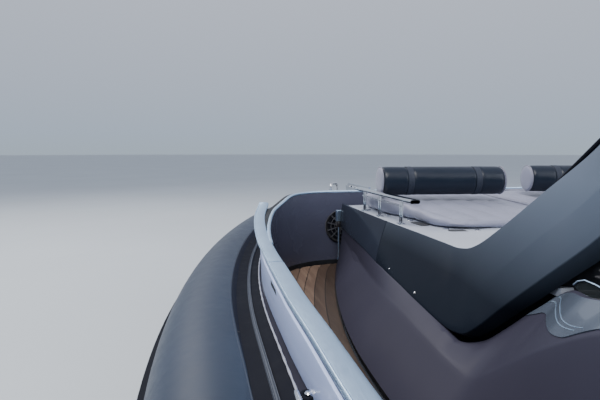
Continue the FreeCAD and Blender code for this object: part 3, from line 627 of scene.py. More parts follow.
M["pillar_gloss_painted_sky"] = pillar_paint()
M["screen_frit"] = paint("screen_frit", (0.012, 0.012, 0.014), 0.22, 0.3, 0.05, 0.05, 0.02, 0.1)
M["hardtop_paint"] = paint("hardtop_paint", (0.060, 0.066, 0.078), 0.20, 0.45, 0.05, 0.08, 0.02, 0.25)
M["fascia"] = paint("fascia", (0.020, 0.021, 0.025), 0.30, 0.15, 0.1, 0.05, 0.04, 0.1)
M["worktop"] = paint("worktop", (0.30, 0.31, 0.33), 0.34, 0.15, 0.1, 0.22, 0.05, 0.4)
M["anode"] = paint("anode", (0.36, 0.37, 0.38), 0.55, 0.0, 0.1, 0.2, 0.3, 0.6)
M["headliner"] = vinyl("headliner", (0.42, 0.42, 0.45), 0.55, 700.0, 0.3)
M["nonskid"] = vinyl("nonskid", (0.27, 0.28, 0.30), 0.62, 420.0, 0.8)
M["strap"] = vinyl("strap", (0.025, 0.032, 0.050), 0.5, 1400.0, 0.5, 0.05, 0.3)
M["speaker_grey"] = vinyl("speaker_grey", (0.060, 0.063, 0.075), 0.5, 700.0, 0.2)
M["black_plastic"] = vinyl("black_plastic", (0.013, 0.013, 0.016), 0.42, 500.0, 0.2)
# the deck teak is a lighter copy of the default teak colours: painted light on the shaded side decks
M["teak"] = teak("teak", c1=(0.215, 0.140, 0.100), c2=(0.36, 0.25, 0.18))
M["teak_across"] = teak("teak_across", (2.2, 34.0, 34.0))
M["engine_iron"] = paint("engine_iron", (0.42, 0.43, 0.45), 0.4, 0.0, 0.1, 0.15, 0.2, 0.6)


def hull_paint():
    """Dark gelcoat with antifouling below the waterline and a thin boot stripe."""
    m = Mat("hull_gelcoat", Specular_IOR_Level=0.5, Coat_Weight=0.5, Coat_Roughness=0.05)
    z = m.node("ShaderNodeSeparateXYZ")
    m.link(m.co.outputs["Object"], z.inputs[0])
    h = z.outputs["Z"]
    c = (0.050, 0.056, 0.068)
    base = m.ramp(m.noise(1.4, 3.0, 0.5), [(0.3, tint(c, 0.88)), (0.7, tint(c, 1.14))])
    below = m.math("LESS_THAN", h, 0.07)
    stripe = m.math("MULTIPLY", m.math("GREATER_THAN", h, 0.10), m.math("LESS_THAN", h, 0.135))
    anti = m.ramp(m.noise(11.0, 5.0, 0.7), [(0.3, (0.010, 0.013, 0.018)), (0.7, (0.022, 0.028, 0.036))])
    col = m.mix(below, base, anti)
    m.set(Base_Color=m.mix(stripe, col, (0.36, 0.40, 0.46)))
    m.set(Roughness=m.remap(m.noise(8.0, 4.0), 0.3, 0.7, 0.16, 0.27))
    m.set(Normal=m.bump(m.noise(200.0, 1.0), 0.05, 0.0006))
    return m.m


def upper_paint():
    return paint("upper_gelcoat", (0.058, 0.064, 0.078), 0.24, 0.4, 0.06, 0.1, 0.05, 0.3)


M["hull_gelcoat"] = hull_paint()
M["upper_gelcoat"] = upper_paint()


def glass():
    m = Mat("tinted_glass", Transmission_Weight=0.86, IOR=1.45, Coat_Weight=0.3, Coat_Roughness=0.01)
    film = m.noise(2.2, 4.0, 0.6)
    m.set(Base_Color=m.ramp(film, [(0.3, (0.13, 0.16, 0.17)), (0.7, (0.17, 0.20, 0.21))]))
    m.set(Roughness=m.remap(m.noise(3.0, 2.0), 0.3, 0.8, 0.0, 0.012))
    return m.m


M["tinted_glass"] = glass()


def screen_glass():
    m = Mat("dark_screen", Specular_IOR_Level=0.6, Coat_Weight=1.0, Coat_Roughness=0.02)
    m.set(Base_Color=m.ramp(m.noise(3.0), [(0.3, (0.006, 0.008, 0.010)), (0.7, (0.012, 0.015, 0.018))]))
    m.set(Roughness=m.remap(m.noise(60.0, 3.0), 0.3, 0.7, 0.05, 0.12))
    return m.m


M["dark_screen"] = screen_glass()


# near-black for painted shade in recesses, slots and bores, also used on a few black parts
def black_and_painted_shade():
    m = Mat("black_and_painted_shade", Specular_IOR_Level=0.3)
    m.set(Base_Color=m.ramp(m.noise(20.0), [(0.3, (0.006, 0.007, 0.010)), (0.7, (0.012, 0.014, 0.018))]))
    m.set(Roughness=m.remap(m.noise(50.0, 3.0), 0.3, 0.7, 0.45, 0.65))
    return m.m


M["black_and_painted_shade"] = black_and_painted_shade()


def lamp(name, c):
    m = Mat(name, Transmission_Weight=0.4, IOR=1.45)
    m.set(Base_Color=m.ramp(m.noise(8.0), [(0.3, tint(c, 0.9)), (0.7, c)]))
    m.set(Roughness=m.remap(m.noise(30.0), 0.3, 0.7, 0.08, 0.16))
    return m.m


M["lens"] = lamp("lens", (0.80, 0.84, 0.88))


def finish_node(name, mat):
    """Better material on a CAD piece that keeps its shape."""
    o = NODES[name]
    if not o.material_slots:
        o.data.materials.append(M[mat])
    for s in o.material_slots:
        s.material = M[mat]


def tone_faces(ob, values):
    """Give each plank its own tone, which also carries the painted shade beside the deckhouse; values has one number
    per vertex.
    """
    a = ob.data.attributes.new("tone", "FLOAT", "POINT")
    a.data.foreach_set("value", np.array(values, np.float32))


def planked(name, planks, mat, body="boat", thick=0.0026, replaces=(), dark=None):
    """planks: list of (bottom outline, top z function or number) polygons, each a separate board."""
    V, F, T = [], [], []
    for pts, z in planks:
        n = len(pts)
        k = len(V)
        t = 0.34 + 0.66 * random.random()
        # painted shade: the optional factor darkens the boards that lie beside the deckhouse
        if dark is not None:
            t *= dark(pts)
        zs = [z(p[1]) if callable(z) else z for p in pts]
        cx, cy = sum(p[0] for p in pts) / n, sum(p[1] for p in pts) / n
        V += [(p[0], p[1], h - thick) for p, h in zip(pts, zs)]
        V += [(p[0], p[1], h - 0.0008) for p, h in zip(pts, zs)]
        inner = []
        for i, (p, h) in enumerate(zip(pts, zs)):
            a, b = np.array(pts[i - 1], float), np.array(pts[(i + 1) % n], float)
            q = np.array(p, float)
            u, w = a - q, b - q
            u, w = u / max(np.linalg.norm(u), 1e-9), w / max(np.linalg.norm(w), 1e-9)
            d = u + w
            if np.linalg.norm(d) < 0.05:
                d = np.array([-u[1], u[0]])
                if d @ (np.array([cx, cy]) - q) < 0:
                    d = -d
            d = d / np.linalg.norm(d)
            inner.append((q[0] + d[0] * 0.0008, q[1] + d[1] * 0.0008, h))
        V += inner
        for lvl in (0, 1):
            F += [(k + lvl * n + i, k + lvl * n + (i + 1) % n, k + (lvl + 1) * n + (i + 1) % n, k + (lvl + 1) * n + i)
                  for i in range(n)]
        F.append(tuple(k + 2 * n + i for i in range(n)))
        T += [t] * (3 * n)
    me = bpy.data.meshes.new(name)
    me.from_pydata([tuple(map(float, v)) for v in V], [], F)
    ob = bpy.data.objects.new(name, me)
    tone_faces(ob, T)
    bm = bmesh.new()
    bm.from_mesh(me)
    bmesh.ops.recalc_face_normals(bm, faces=bm.faces)
    bm.to_mesh(me)
    bm.free()
    return dress(ob, mat, body, smooth=False, replaces=replaces)


def clip_strip(poly, x0, x1, axis=0):
    """Part of a plan polygon between two lines."""
    def cut(pts, k, keep_less):
        out = []
        for i in range(len(pts)):
            a, b = pts[i - 1], pts[i]
            ia = (a[axis] <= k) if keep_less else (a[axis] >= k)
            ib = (b[axis] <= k) if keep_less else (b[axis] >= k)
            if ia != ib:
                t = (k - a[axis]) / (b[axis] - a[axis])
                out.append((a[0] + t * (b[0] - a[0]), a[1] + t * (b[1] - a[1])))
            if ib:
                out.append(b)
        return out
    p = cut(poly, x1, True)
    return cut(p, x0, False) if len(p) > 2 else []


# ---------------------------------------------------------------- collar
tilt = math.atan(0.035)


def laid(x, y, h):
    """Level collar point laid along the rising sheer."""
    return (x, y * math.cos(tilt) + h * math.sin(tilt), 0.965 - y * math.sin(tilt) + h * math.cos(tilt))


def tube_point(p, n, ang, r):
    """Point on the collar: ang 0 outboard, 90 on top, 180 inboard."""
    a = math.radians(ang)
    return laid(p[0] + n[0] * r * math.cos(a), p[1] + n[1] * r * math.cos(a), r * math.sin(a))


half_tube = TUBE.samples(step=0.12, fine=0.06)
SEG = 72


def ring(p, n, r, bulge=0.0):
    return [tube_point(p, n, a, r + bulge) for a in np.linspace(0, 360, SEG, endpoint=False)]


rows = []
aft = TUBE.at(0.0)
for k in range(15, -1, -1):           # rounded stern cone
    t = k / 15.0
    r = 0.11 + (TUBE_R - 0.11) * math.sqrt(max(0.0, 1 - t ** 1.9)) if t < 1 else 0.11
    r = min(r, TUBE_R - (TUBE_R - 0.11) * t * 0.86 + 0.008 * math.sin(math.pi * t))
    rows.append(ring((aft[0][0], 6.9 + 0.62 * t), aft[1], r))
cone_rows = rows[:-1]
port_rows = [ring(p, n, TUBE_R) for p, n in half_tube]
all_rows = cone_rows + port_rows
star_rows = [[(-x, y, z) for x, y, z in r] for r in reversed(all_rows)]
cv, cf = capped(all_rows + star_rows[1:])
make("collar", cv, cf, M["collar_fabric"], "collar_fabric", sharp=60, replaces=("side_tubes", "bow_tube"))

# end caps of moulded rubber on the two cones
ends_vf = []
for k, (t0, t1, grow) in enumerate([(0.80, 1.0, 0.004)]):
    rr = [ring((aft[0][0], 6.9 + 0.62 * t), aft[1], TUBE_R - (TUBE_R - 0.11) * t * 0.86 + 0.006) for t in np.linspace(0.84, 0.985, 6)]
    rr.append(ring((aft[0][0], 6.9 + 0.62 * 0.999), aft[1], 0.118))
    rr.append(ring((aft[0][0], 6.9 + 0.62 * 1.006), aft[1], 0.085))
    ends_vf.append(capped(rr))
make("cone_caps", *twin(merge(*ends_vf)), M["black_rubber"], "black_rubber", sharp=40)


seam_off = pchip([-9, -5.5, -4.62, -4.15, -3.85, -3.4, -1.0, 6.9], [0.066, 0.070, 0.076, 0.090, 0.100, 0.111, 0.112, 0.112])


def seam_angle(p):
    return 90.0 + math.degrees(math.asin(float(seam_off(p[1])) / TUBE_R))


def strip_on_tube(samples, a0, a1, h=0.0022, n=6, edge=0.006):
    """Thin glued tape on the collar between two angles from the seam, its edges feathered down."""
    e = math.degrees(edge / TUBE_R) * np.sign(a1 - a0)
    rows = []
    for p, nn in samples:
        k = seam_angle(p)
        line = [(k + a0, TUBE_R - 0.0015)]
        line += [(k + a, TUBE_R + h) for a in np.linspace(a0 + e, a1 - e, n)]
        line += [(k + a1, TUBE_R - 0.0015)]
        rows.append([tube_point(p, nn, a, r) for a, r in line])
    return grid(rows)


def belt(s, width=0.05, h=0.0022, a0=-75, a1=205):
    """Tape round the collar at the distance s."""
    p, n = TUBE.at(s)
    rows = []
    for k, g in ((-0.5, -0.0015), (-0.44, h), (0.44, h), (0.5, -0.0015)):
        q, m = TUBE.at(s + k * width)
        rows.append([tube_point(q, m, a, TUBE_R + g) for a in np.linspace(a0, a1, 60)])
    return grid(rows)


tapes = [strip_on_tube(half_tube, 0.0, 1.5, 0.0024, 3, 0.0025)]
for s in (1.1, 2.9, 4.7, 6.5, 8.3, 16.35):
    tapes.append(belt(s))
make("collar_tapes", *twin(merge(*tapes)), M["collar_fabric"], "collar_fabric", sharp=50, recalc=False)
# darker doubling along the inboard shoulder of the collar
double = [strip_on_tube(half_tube, 1.6, 36.0, 0.0018, 14)]
make("collar_doubling", *twin(merge(*double)), coated_fabric("doubling", (0.013, 0.015, 0.024), 0.62, 0.02, 0.0), "collar_fabric",
     sharp=50, recalc=False)
# narrow dark joints across the doubling
joints = []
for s in (2.2, 4.35, 6.55, 8.75, 10.95, 13.15, 15.3):
    rows = []
    for k in (-0.004, 0.004):
        q, m = TUBE.at(s + k)
        rows.append([tube_point(q, m, seam_angle(q) + a, TUBE_R + 0.0026) for a in np.linspace(1.8, 15.5, 10)])
    joints.append(grid(rows))
make("doubling_joints", *twin(merge(*joints)), M["caulk"], "black_rubber", sharp=50, recalc=False)

# inflation valves and grab handles on the collar
valves = []
for s in (2.1, 5.6, 15.9):
    p, n = TUBE.at(s)
    base = np.array(tube_point(p, n, 128, TUBE_R - 0.004))
    out = np.array(tube_point(p, n, 128, TUBE_R + 0.1)) - base
    valves.append(lathe([(0, 0.040), (0.008, 0.040), (0.011, 0.037), (0.012, 0.024), (0.016, 0.022), (0.020, 0.018),
                         (0.021, 0.006)], base, out, 28))
make("valves", *twin(merge(*valves)), M["black_plastic"], "black_plastic", sharp=30)

handles = []
for s in (1.9, 5.6, 7.4):
    pts = []
    for k in np.linspace(-0.17, 0.17, 15):
        q, m = TUBE.at(s + k)
        lift = 0.004 + 0.040 * math.cos(k / 0.17 * math.pi / 2) ** 0.6 if abs(k) < 0.168 else 0.002
        pts.append((np.array(tube_point(q, m, 60, TUBE_R + lift)), np.array(tube_point(q, m, 53, TUBE_R + lift)),
                    np.array(tube_point(q, m, 53, TUBE_R + lift + 0.006)), np.array(tube_point(q, m, 60, TUBE_R + lift + 0.006))))
    handles.append(capped([list(p) for p in pts]))
    for k in (-0.20, 0.20):
        rows = []
        for w, g in ((-0.06, -0.001), (-0.054, 0.003), (0.054, 0.003), (0.06, -0.001)):
            q, m = TUBE.at(s + k + w)
            rows.append([tube_point(q, m, a, TUBE_R + g) for a in np.linspace(48, 65, 10)])
        handles.append(grid(rows))
make("grab_handles", *twin(merge(*handles)), M["black_rubber"], "black_rubber", sharp=45)
finish_node("rubbing_strake", "black_rubber")
# two thin ribs that stand on the rubbing strake
ribs = []
for h in (-0.016, 0.016):
    rows = []
    for p, n in half_tube:
        rows.append([laid(p[0] + n[0] * (o + TUBE_R), p[1] + n[1] * (o + TUBE_R), h + z)
                     for o, z in ((0.018, -0.007), (0.0275 + 0.003, -0.005), (0.0315 + 0.003, 0.0), (0.0275 + 0.003, 0.005), (0.018, 0.007))])
    ribs.append(capped(rows))
make("strake_ribs", *twin(merge(*ribs)), M["black_rubber"], "black_rubber", sharp=50)

# ---------------------------------------------------------------- hull skin
HY = [6.9, 2.0, -2.0, -3.93, -5.016, -6.08, -7.1, -7.68, -8.18, -8.37]
keel_z = pchip(HY, [-0.62, -0.68, -0.66, -0.58, -0.47, -0.30, -0.04, 0.23, 0.62, 0.90])
chine_x = pchip(HY, [1.76, 1.78, 1.72, 1.54, 1.32, 1.01, 0.64, 0.40, 0.17, 0.06])
chine_z = pchip(HY, [0.02, 0.06, 0.17, 0.30, 0.43, 0.60, 0.80, 0.94, 1.06, 1.12])
gun_x = pchip(HY, [2.06, 2.06, 2.06, 2.06, 1.984, 1.758, 1.385, 1.05, 0.60, 0.28])


def hull_section(y, out=0.006):
    """Half section from the keel to the gunwale with two spray rails and a flat chine."""
    zk, xc, zc, xg = float(keel_z(y)), float(chine_x(y)), float(chine_z(y)), float(gun_x(y))
    fade = min(1.0, max(0.0, (y + 8.3) / 1.4))
    k = np.array([0.0, zk - out])
    c = np.array([xc + out, zc - out])
    d = c - k
    L = np.linalg.norm(d)
    d = d / L
    nrm = np.array([d[1], -d[0]])
    pts = [k]
    for f in (0.36, 0.66):
        a = k + d * (L * f)
        w = 0.045 * fade + 0.002
        pts += [a - d * 0.004, a + nrm * 0.0, a + d * w + nrm * (0.026 * fade + 0.001) * 0.0 + np.array([0, -0.024 * fade]) * 0.6,
                a + d * (w + 0.006)]
    pts += [c - d * 0.05, c + nrm * 0.0]
    flat = 0.05 * fade + 0.004
    pts += [c + np.array([flat, 0.004]), c + np.array([flat + 0.002, 0.022])]
    g = np.array([xg + out, 1.188])
    top = c + np.array([0.004, 0.028])
    for t in np.linspace(0, 1, 8):
        q = top + (g - top) * t
        bow = math.sin(math.pi * t) * 0.012
        pts.append(q + np.array([bow, 0.0]))
    return pts


hy = list(np.arange(6.904, -6.0, -0.24)) + list(np.arange(-6.0, -8.365, -0.07)) + [-8.368]
hrows = []
for y in hy:
    half = hull_section(min(y, 6.9))
    hrows.append([(-q[0], y, q[1]) for q in reversed(half[1:])] + [(q[0], y, q[1]) for q in half])
hv, hf = grid(hrows)
nh = len(hrows[0])
hf.append(tuple(range(nh)))
hf.append(tuple((len(hrows) - 1) * nh + i for i in range(nh - 1, -1, -1)))
hull_skin = make("hull_skin", hv, hf, M["hull_gelcoat"], "hull_gelcoat", sharp=28)
for n in ("hull", "deck_moulding"):
    finish_node(n, "upper_gelcoat")
# flange where the collar is bonded to the hull, seen under the collar
rows = []
for p, n in half_tube:
    rows.append([tube_point(p, n, a, TUBE_R + h) for a, h in ((222, -0.001), (223, 0.012), (232, 0.014), (240, 0.012), (241, -0.001))])
make("collar_flange", *twin(capped(rows)), M["black_rubber"], "black_rubber", sharp=40)

# ---------------------------------------------------------------- gunwale between wall and collar
# the wall bellies out a little between amidships and the bow corner
belly = pchip([-7, -5.75, -5.6, -5.4, -4.2, -3.72, -3.29, -2.95, -2.2, 6.4], [0, 0, 0.018, 0.028, 0.028, 0.028, 0.016, 0.009, 0, 0])
rail_x = pchip([-5.70, -5.66, -5.42, -5.13, -4.83, -4.53, -4.2, -3.72, -3.29, -3.08, -2.95, -2.2, 6.4],
               [1.802, 1.815, 1.875, 1.915, 1.943, 1.959, 1.963, 1.963, 1.951, 1.947, 1.944, 1.935, 1.935])
wall_half = [(p + n * float(belly(p[1])) if abs(p[0]) > 1e-4 and p[1] > -5.9 else p, n) for p, n in BULWARK.samples(step=0.15, fine=0.02)]
wall_all = both_sides(wall_half)


def rail_samples(y0, y1, step=0.06):
    """Centre line of the broad side rail from aft forward."""
    k = max(2, int(math.ceil((y0 - y1) / step)))
    out = []
    for i in range(k + 1):
        y = y0 + (y1 - y0) * i / k
        d = np.array([float(rail_x(y - 0.01)) - float(rail_x(y + 0.01)), -0.02])
        d = d / np.linalg.norm(d)
        out.append((np.array([float(rail_x(y)), y]), np.array([-d[1], d[0]])))
    return out


def wall_x(y):
    """Outer face of the bulwark at Y on the port side."""
    if y > -2.3:
        return 1.956
    pts = [(p + n * (0.021 if p[1] > -4.4 else 0.030)) for p, n in wall_half if p[1] <= -2.0]
    ys = [q[1] for q in pts]
    xs = [q[0] for q in pts]
    if y < min(ys):
        return 0.0
    return float(np.interp(-y, [-v for v in ys], xs))


def tube_x(y, off):
    """Inboard line of the collar path at Y."""
    pts = [(p - n * off) for p, n in half_tube]
    ys = np.array([q[1] for q in pts])
    xs = np.array([q[0] for q in pts])
    o = np.argsort(-ys)
    return float(np.interp(-y, -ys[o], xs[o]))


ys = list(np.arange(6.9, -5.0, -0.2)) + list(np.arange(-5.0, -5.958, -0.035)) + [-5.9585, -5.960, -6.040, -6.042] + list(np.arange(-6.1, -8.6, -0.12)) + [-8.62]
drows, srows = [], []
for y in ys:
    xi = wall_x(y) if y > -5.9588 else 0.0
    xo = max(tube_x(y, 0.245), xi + 0.004)
    if y < -6.041:
        xi = max(0.0, xo - 0.15)
    z = float(shelf_z(y))
    drows.append([(xi, y, z + 0.002), (xi + (xo - xi) * 0.5, y, z + 0.004), (xo, y, z + 0.002), (xo, y, z - 0.03), (xi, y, z - 0.03)])
gv, gf = capped(drows)
# foredeck and gunwale shelf, trimmed back to where the sloping flange begins
bpy.context.view_layer.update()
fd = NODES["foredeck"]
tube_p, tube_n = np.array([q[0] for q in half_tube]), np.array([q[1] for q in half_tube])
deck_v = []
for v in fd.data.vertices:
    q = fd.matrix_world @ v.co
    flat = np.array([abs(q.x), q.y])
    i = int(np.argmin(((tube_p - flat) ** 2).sum(1)))
    off = float(np.dot(tube_p[i] - flat, tube_n[i]))
    if off < 0.250:
        flat = flat - tube_n[i] * (0.250 - off)
    deck_v.append(((1.0 if q.x >= 0 else -1.0) * max(flat[0], 0.0), flat[1], q.z))
make("foredeck_shell", deck_v, [tuple(f.vertices) for f in fd.data.polygons], M["upper_gelcoat"], "hull_gelcoat", sharp=30, replaces=("foredeck",))
make("gunwale_top", *twin((gv, gf)), paint("gunwale", (0.022, 0.021, 0.031), 0.62, 0.0, 0.15, 0.1, 0.06, 0.3, 0.12), "hull_gelcoat", sharp=25)

# rubber flange that slopes from the gunwale down to the collar, with a ribbed band and a beaded piping
frows, brows, prow = [], [], []
for p, n in half_tube:
    a = p - n * 0.245
    zs = float(shelf_z(a[1]))
    tz = laid(0, (p - n * 0.11)[1], math.sqrt(TUBE_R ** 2 - 0.11 ** 2))[2]
    def pt(o, z):
        q = p - n * o
        return (q[0], q[1], z)
    zm = (zs + tz) / 2
    frows.append([pt(0.262, zs - 0.02), pt(0.256, zs + 0.002), pt(0.240, zs - 0.001), pt(0.205, zs + (tz - zs) * 0.34 - 0.004),
                  pt(0.170, zs + (tz - zs) * 0.60 - 0.004), pt(0.135, zs + (tz - zs) * 0.86 - 0.002), pt(0.116, tz + 0.001), pt(0.105, tz - 0.02),
                  pt(0.180, zm - 0.06)])
    zb0, zb1 = zs + (tz - zs) * 0.42, zs + (tz - zs) * 0.56
    brow = []
    for k in range(11):
        f = k / 10.0
        o = 0.196 - 0.020 * f
        h = 0.0065 if k in (1, 2, 8, 9) else (0.0025 if k in (4, 5, 6) else 0.001)
        if k in (0, 10):
            h = -0.006
        brow.append(pt(o, zb0 + (zb1 - zb0) * f + h))
    brow.append(pt(0.186, zb0 - 0.015))
    brows.append(brow)
fl = merge(capped(frows))
make("gunwale_flange", *twin(fl), M["black_rubber"], "black_rubber", sharp=40)
make("gunwale_band", *twin(capped(brows)), coated_fabric("band", (0.060, 0.070, 0.092), 0.5, 0.2, 0.0), "black_rubber", sharp=30)
bead = []
s_total = TUBE.total
for s in np.arange(0.05, s_total + 1e-6, 0.012):
    p, n = TUBE.at(min(s, s_total))
    q = p - n * 0.2475
    r = 0.0046 + 0.0011 * math.sin(s * 61.0) * (0.6 + 0.4 * math.sin(s * 7.3))
    bead.append(((q[0], q[1], float(shelf_z(q[1])) + 0.0065), r))
make("gunwale_piping", *twin(tubevf([b[0] for b in bead], [b[1] for b in bead], 8)), paint("piping_pvc", (0.30, 0.31, 0.36), 0.35), "black_rubber", sharp=60)

# ---------------------------------------------------------------- bulwark wall
WALL_IN, WALL_OUT = -0.030, 0.030


def wall_profile(p, n):
    zt = float(cap_z(p[1])) - 0.018
    f = min(1.0, max(0.0, (p[1] + 5.0) / 0.6))
    return closed_round([(WALL_IN, 1.190), (WALL_OUT - 0.016 * f, 1.190), (WALL_OUT - 0.004 * f, zt), (WALL_IN, zt)], 0.006, 3)


wall = make("bulwark", *sweep(wall_all, wall_profile), [M["wall_satin_painted_light"], M["bulwark_gelcoat"]], "bulwark_gelcoat", sharp=30,
            replaces=("side_bulwarks", "bow_bulwark"))
# outer skin of the wall, the face that looks outboard; its pale blue is a painted sky reflection
skin_rows = []
for p, n in wall_all:
    zt, zs = float(cap_z(p[1])) - 0.018, float(shelf_z(p[1]))
    f = min(1.0, max(0.0, (p[1] + 5.0) / 0.6))
    k, kt = WALL_OUT - 0.011 * f, WALL_OUT + 0.012 * f
    skin_rows.append([(p[0] + n[0] * o, p[1] + n[1] * o, z) for o, z in
                      ((k - 0.010, zs - 0.004), (k, zs - 0.002), (k + 0.002, zs + 0.008), (kt, zt - 0.030),
                       (kt - 0.001, zt - 0.020), (kt - 0.008, zt - 0.014), (k - 0.010, zt - 0.030), (k - 0.012, zs + 0.05))])
make("bulwark_outer", *capped(skin_rows), M["bulwark_gelcoat"], "bulwark_gelcoat", sharp=30)
# near-black toe band inside the wall: painted shade at the wall's foot
toe = []
for p, n in wall_all:
    if p[1] > 6.25:
        continue
    toe.append([(p[0] + n[0] * o, p[1] + n[1] * o, z) for o, z in ((WALL_IN + 0.001, 1.200), (WALL_IN - 0.006, 1.201), (WALL_IN - 0.005, 1.238), (WALL_IN + 0.001, 1.241))])
make("wall_toe_shade", *capped(toe), M["black_and_painted_shade"], "black_plastic", sharp=30)

# capping rail: a flat broad cap along each side that ends rounded at the bow corner
RAIL_END = CORNER_S + 0.155


def rail_top(p, n, k=1.0, lift=0.0):
    z = float(cap_z(p[1])) + lift
    return [(-0.0375 * k, z - 0.0175), (-0.0385 * k, z - 0.010), (-0.0365 * k, z - 0.003), (-0.031 * k, z + 0.0005), (-0.015 * k, z + 0.0030),
            (0.004 * k, z + 0.0035), (0.022 * k, z + 0.0025), (0.0315 * k, z + 0.0010), (0.0335 * k, z + 0.0035), (0.0365 * k, z + 0.0055),
            (0.0395 * k, z + 0.0045), (0.0408 * k, z + 0.000), (0.0400 * k, z - 0.010), (0.0385 * k, z - 0.0175)]


JOINT_Y = [6.30, 3.70, 1.10, -1.50, -4.12, -5.662]
pieces_ = []
for i in range(len(JOINT_Y) - 1):
    last = i == len(JOINT_Y) - 2
    smp = rail_samples(JOINT_Y[i] - (0.0034 if i else 0.0), JOINT_Y[i + 1] + (0.0 if last else 0.0034), 0.05)
    if last:
        smp = smp + rail_samples(JOINT_Y[i + 1] - 0.004, JOINT_Y[i + 1] - 0.014, 0.005)
    rows = []
    m = len(smp)
    for j, (p, n) in enumerate(smp):
        k = 0.95 if last else 1.0
        drop = 0.0
        if last and j >= m - 3:
            k, drop = ((0.93, 0.0), (0.89, -0.0015), (0.80, -0.006))[j - (m - 3)]
        rows.append([(p[0] + n[0] * o, p[1] + n[1] * o, z) for o, z in rail_top(p, n, k, drop)])
    pieces_.append(capped(rows))
make("side_rail", *twin(merge(*pieces_)), M["satin_alloy"], "satin_alloy", sharp=26, replaces=("capping_rails",))
# gusset between the rail's end and the bow wall
rows = []
for y, w in ((-4.60, 0.004), (-4.9, 0.024), (-5.2, 0.040), (-5.45, 0.048), (-5.60, 0.050)):
    x = float(rail_x(y)) - 0.034
    z = float(cap_z(y)) - 0.020
    rows.append([(x + 0.010, y, z), (x + 0.010, y, z - 0.012), (x - w, y, z - 0.012), (x - w, y, z)])
make("rail_gusset", *twin(capped(rows)), M["black_and_painted_shade"], "black_plastic", sharp=40)
# thin cap that follows the bow wall round
thin = [(p, n) for p, n in wall_half if p[1] < -4.45]


def thin_profile(p, n):
    z = float(cap_z(p[1]))
    return [(-0.031, z - 0.018), (-0.0325, z - 0.008), (-0.029, z - 0.0015), (-0.020, z + 0.001), (-0.011, z - 0.0015), (-0.008, z - 0.009), (-0.008, z - 0.018)]


make("bow_cap", *sweep(both_sides(thin), thin_profile), M["satin_alloy"], "satin_alloy", sharp=26, replaces=("bow_capping",))
# dark top of the wall outside the thin cap
dark_top = []
for p, n in both_sides([q for q in wall_half if q[0][1] < -4.9]):
    z = float(cap_z(p[1]))
    dark_top.append([(p[0] + n[0] * o, p[1] + n[1] * o, zz) for o, zz in ((-0.009, z - 0.019), (-0.009, z - 0.008), (0.026, z - 0.009), (0.0295, z - 0.019))])
make("wall_top", *capped(dark_top), M["black_and_painted_shade"], "black_plastic", sharp=30)
# scupper slots in the groove under the rail
# near-black thin plates stand in for the open slots: painted shade
slots = []
for yc in (5.1, 2.7, 0.3, -1.9, -3.95):
    q = []
    for dy in (0.07, -0.07):
        y = yc + dy
        zt, zs = float(cap_z(y)) - 0.018, float(shelf_z(y))
        xb = float(rail_x(y))
        for h0, h1 in ((-0.058, -0.034),):
            for h in (h0, h1):
                f = (zt + h - zs) / (zt - zs)
                q.append((xb + 0.021 + f * 0.021 + 0.0005, y, zt + h))
    ring_ = [q[0], q[2], q[3], q[1]]
    slots.append(prismvf(ring_, (0.0030, 0, 0)))
make("scuppers", *twin(merge(*slots)), M["black_and_painted_shade"], "black_plastic", bevel=0.002)

# ---------------------------------------------------------------- side decks of teak
deck_x = pchip([-5.9, -5.72, -5.4, -5.121, -4.647, -4.274, -3.985, -3.68, -3.24, 0, 4.343],
               [1.098, 1.190, 1.297, 1.378, 1.490, 1.556, 1.588, 1.602, 1.608, 1.608, 1.608])


def inner_wall_x(y):
    if y > -2.3:
        return 1.905 - 0.002
    pts = [(p - n * 0.033) for p, n in wall_half if p[1] <= -2.0]
    yy = np.array([q[1] for q in pts])
    xx = np.array([q[0] for q in pts])
    if y <= yy.min():
        return 0.0
    return float(np.interp(-y, -yy, xx))


BOARD, CAULK = 0.074, 0.0055
boards = []
dy = np.concatenate([np.arange(6.30, -3.0, -0.5), np.arange(-3.0, -5.0, -0.08), np.arange(-5.0, -5.893, -0.03), [-5.894]])
for k in range(12):
    left_, right_ = [], []
    for y in dy:
        if y > 4.343:
            x0 = 1.491 + 0.006
            slope = 0.0
        else:
            x0 = float(deck_x(y)) + 0.004
            slope = (float(deck_x(y + 0.02)) - float(deck_x(y - 0.02))) / 0.04 if y < -3 else 0.0
        c = math.sqrt(1 + slope * slope)
        if y > 4.343:
            a = x0 + 0.117 * 0 + k * BOARD
            x_first = 1.612
            a = x_first + (k - 2) * BOARD
            if a < 1.493:
                a = 1.493 if a + BOARD - CAULK > 1.50 else None
            b = None if a is None else x_first + (k - 2) * BOARD + BOARD - CAULK
        else:
            kk = k - 2
            if kk < 0:
                a = b = None
            else:
                a, b = x0 + kk * BOARD * c, x0 + ((kk + 1) * BOARD - CAULK) * c
        w = inner_wall_x(y) - 0.004
        if a is None or a > w - 0.004:
            if len(left_) > 1:
                boards.append((left_ + right_[::-1], 1.2026))
            left_, right_ = [], []
            continue
        b = min(b, w)
        left_.append((a, y))
        right_.append((b, y))
    if len(left_) > 1:
        boards.append((left_ + right_[::-1], 1.2026))
# boards across behind the bow wall
for j, (y0, y1) in enumerate([(-5.7245, -5.778), (-5.7835, -5.837), (-5.8425, -5.893)]):
    xe = float(deck_x((y0 + y1) / 2)) - 0.006
    boards.append(([(0.0, y0), (xe, y0), (float(deck_x(y1)) - 0.006, y1), (0.0, y1)], 1.2026))
boards_all = boards + [([(-x, y) for x, y in reversed(p)], z) for p, z in boards]


def house_shade_share(pts):
    """Share of the usual tone, a painted shade: the first boards out from the deckhouse are darker."""
    fwd = [q for q in pts if -5.3 < q[1] < 4.0]
    if not fwd:
        return 1.0
    gap = min(abs(q[0]) - float(deck_x(q[1])) for q in fwd)
    return 0.0 if gap < 0.03 else (0.25 if gap < 0.12 else (0.6 if gap < 0.20 else 1.0))


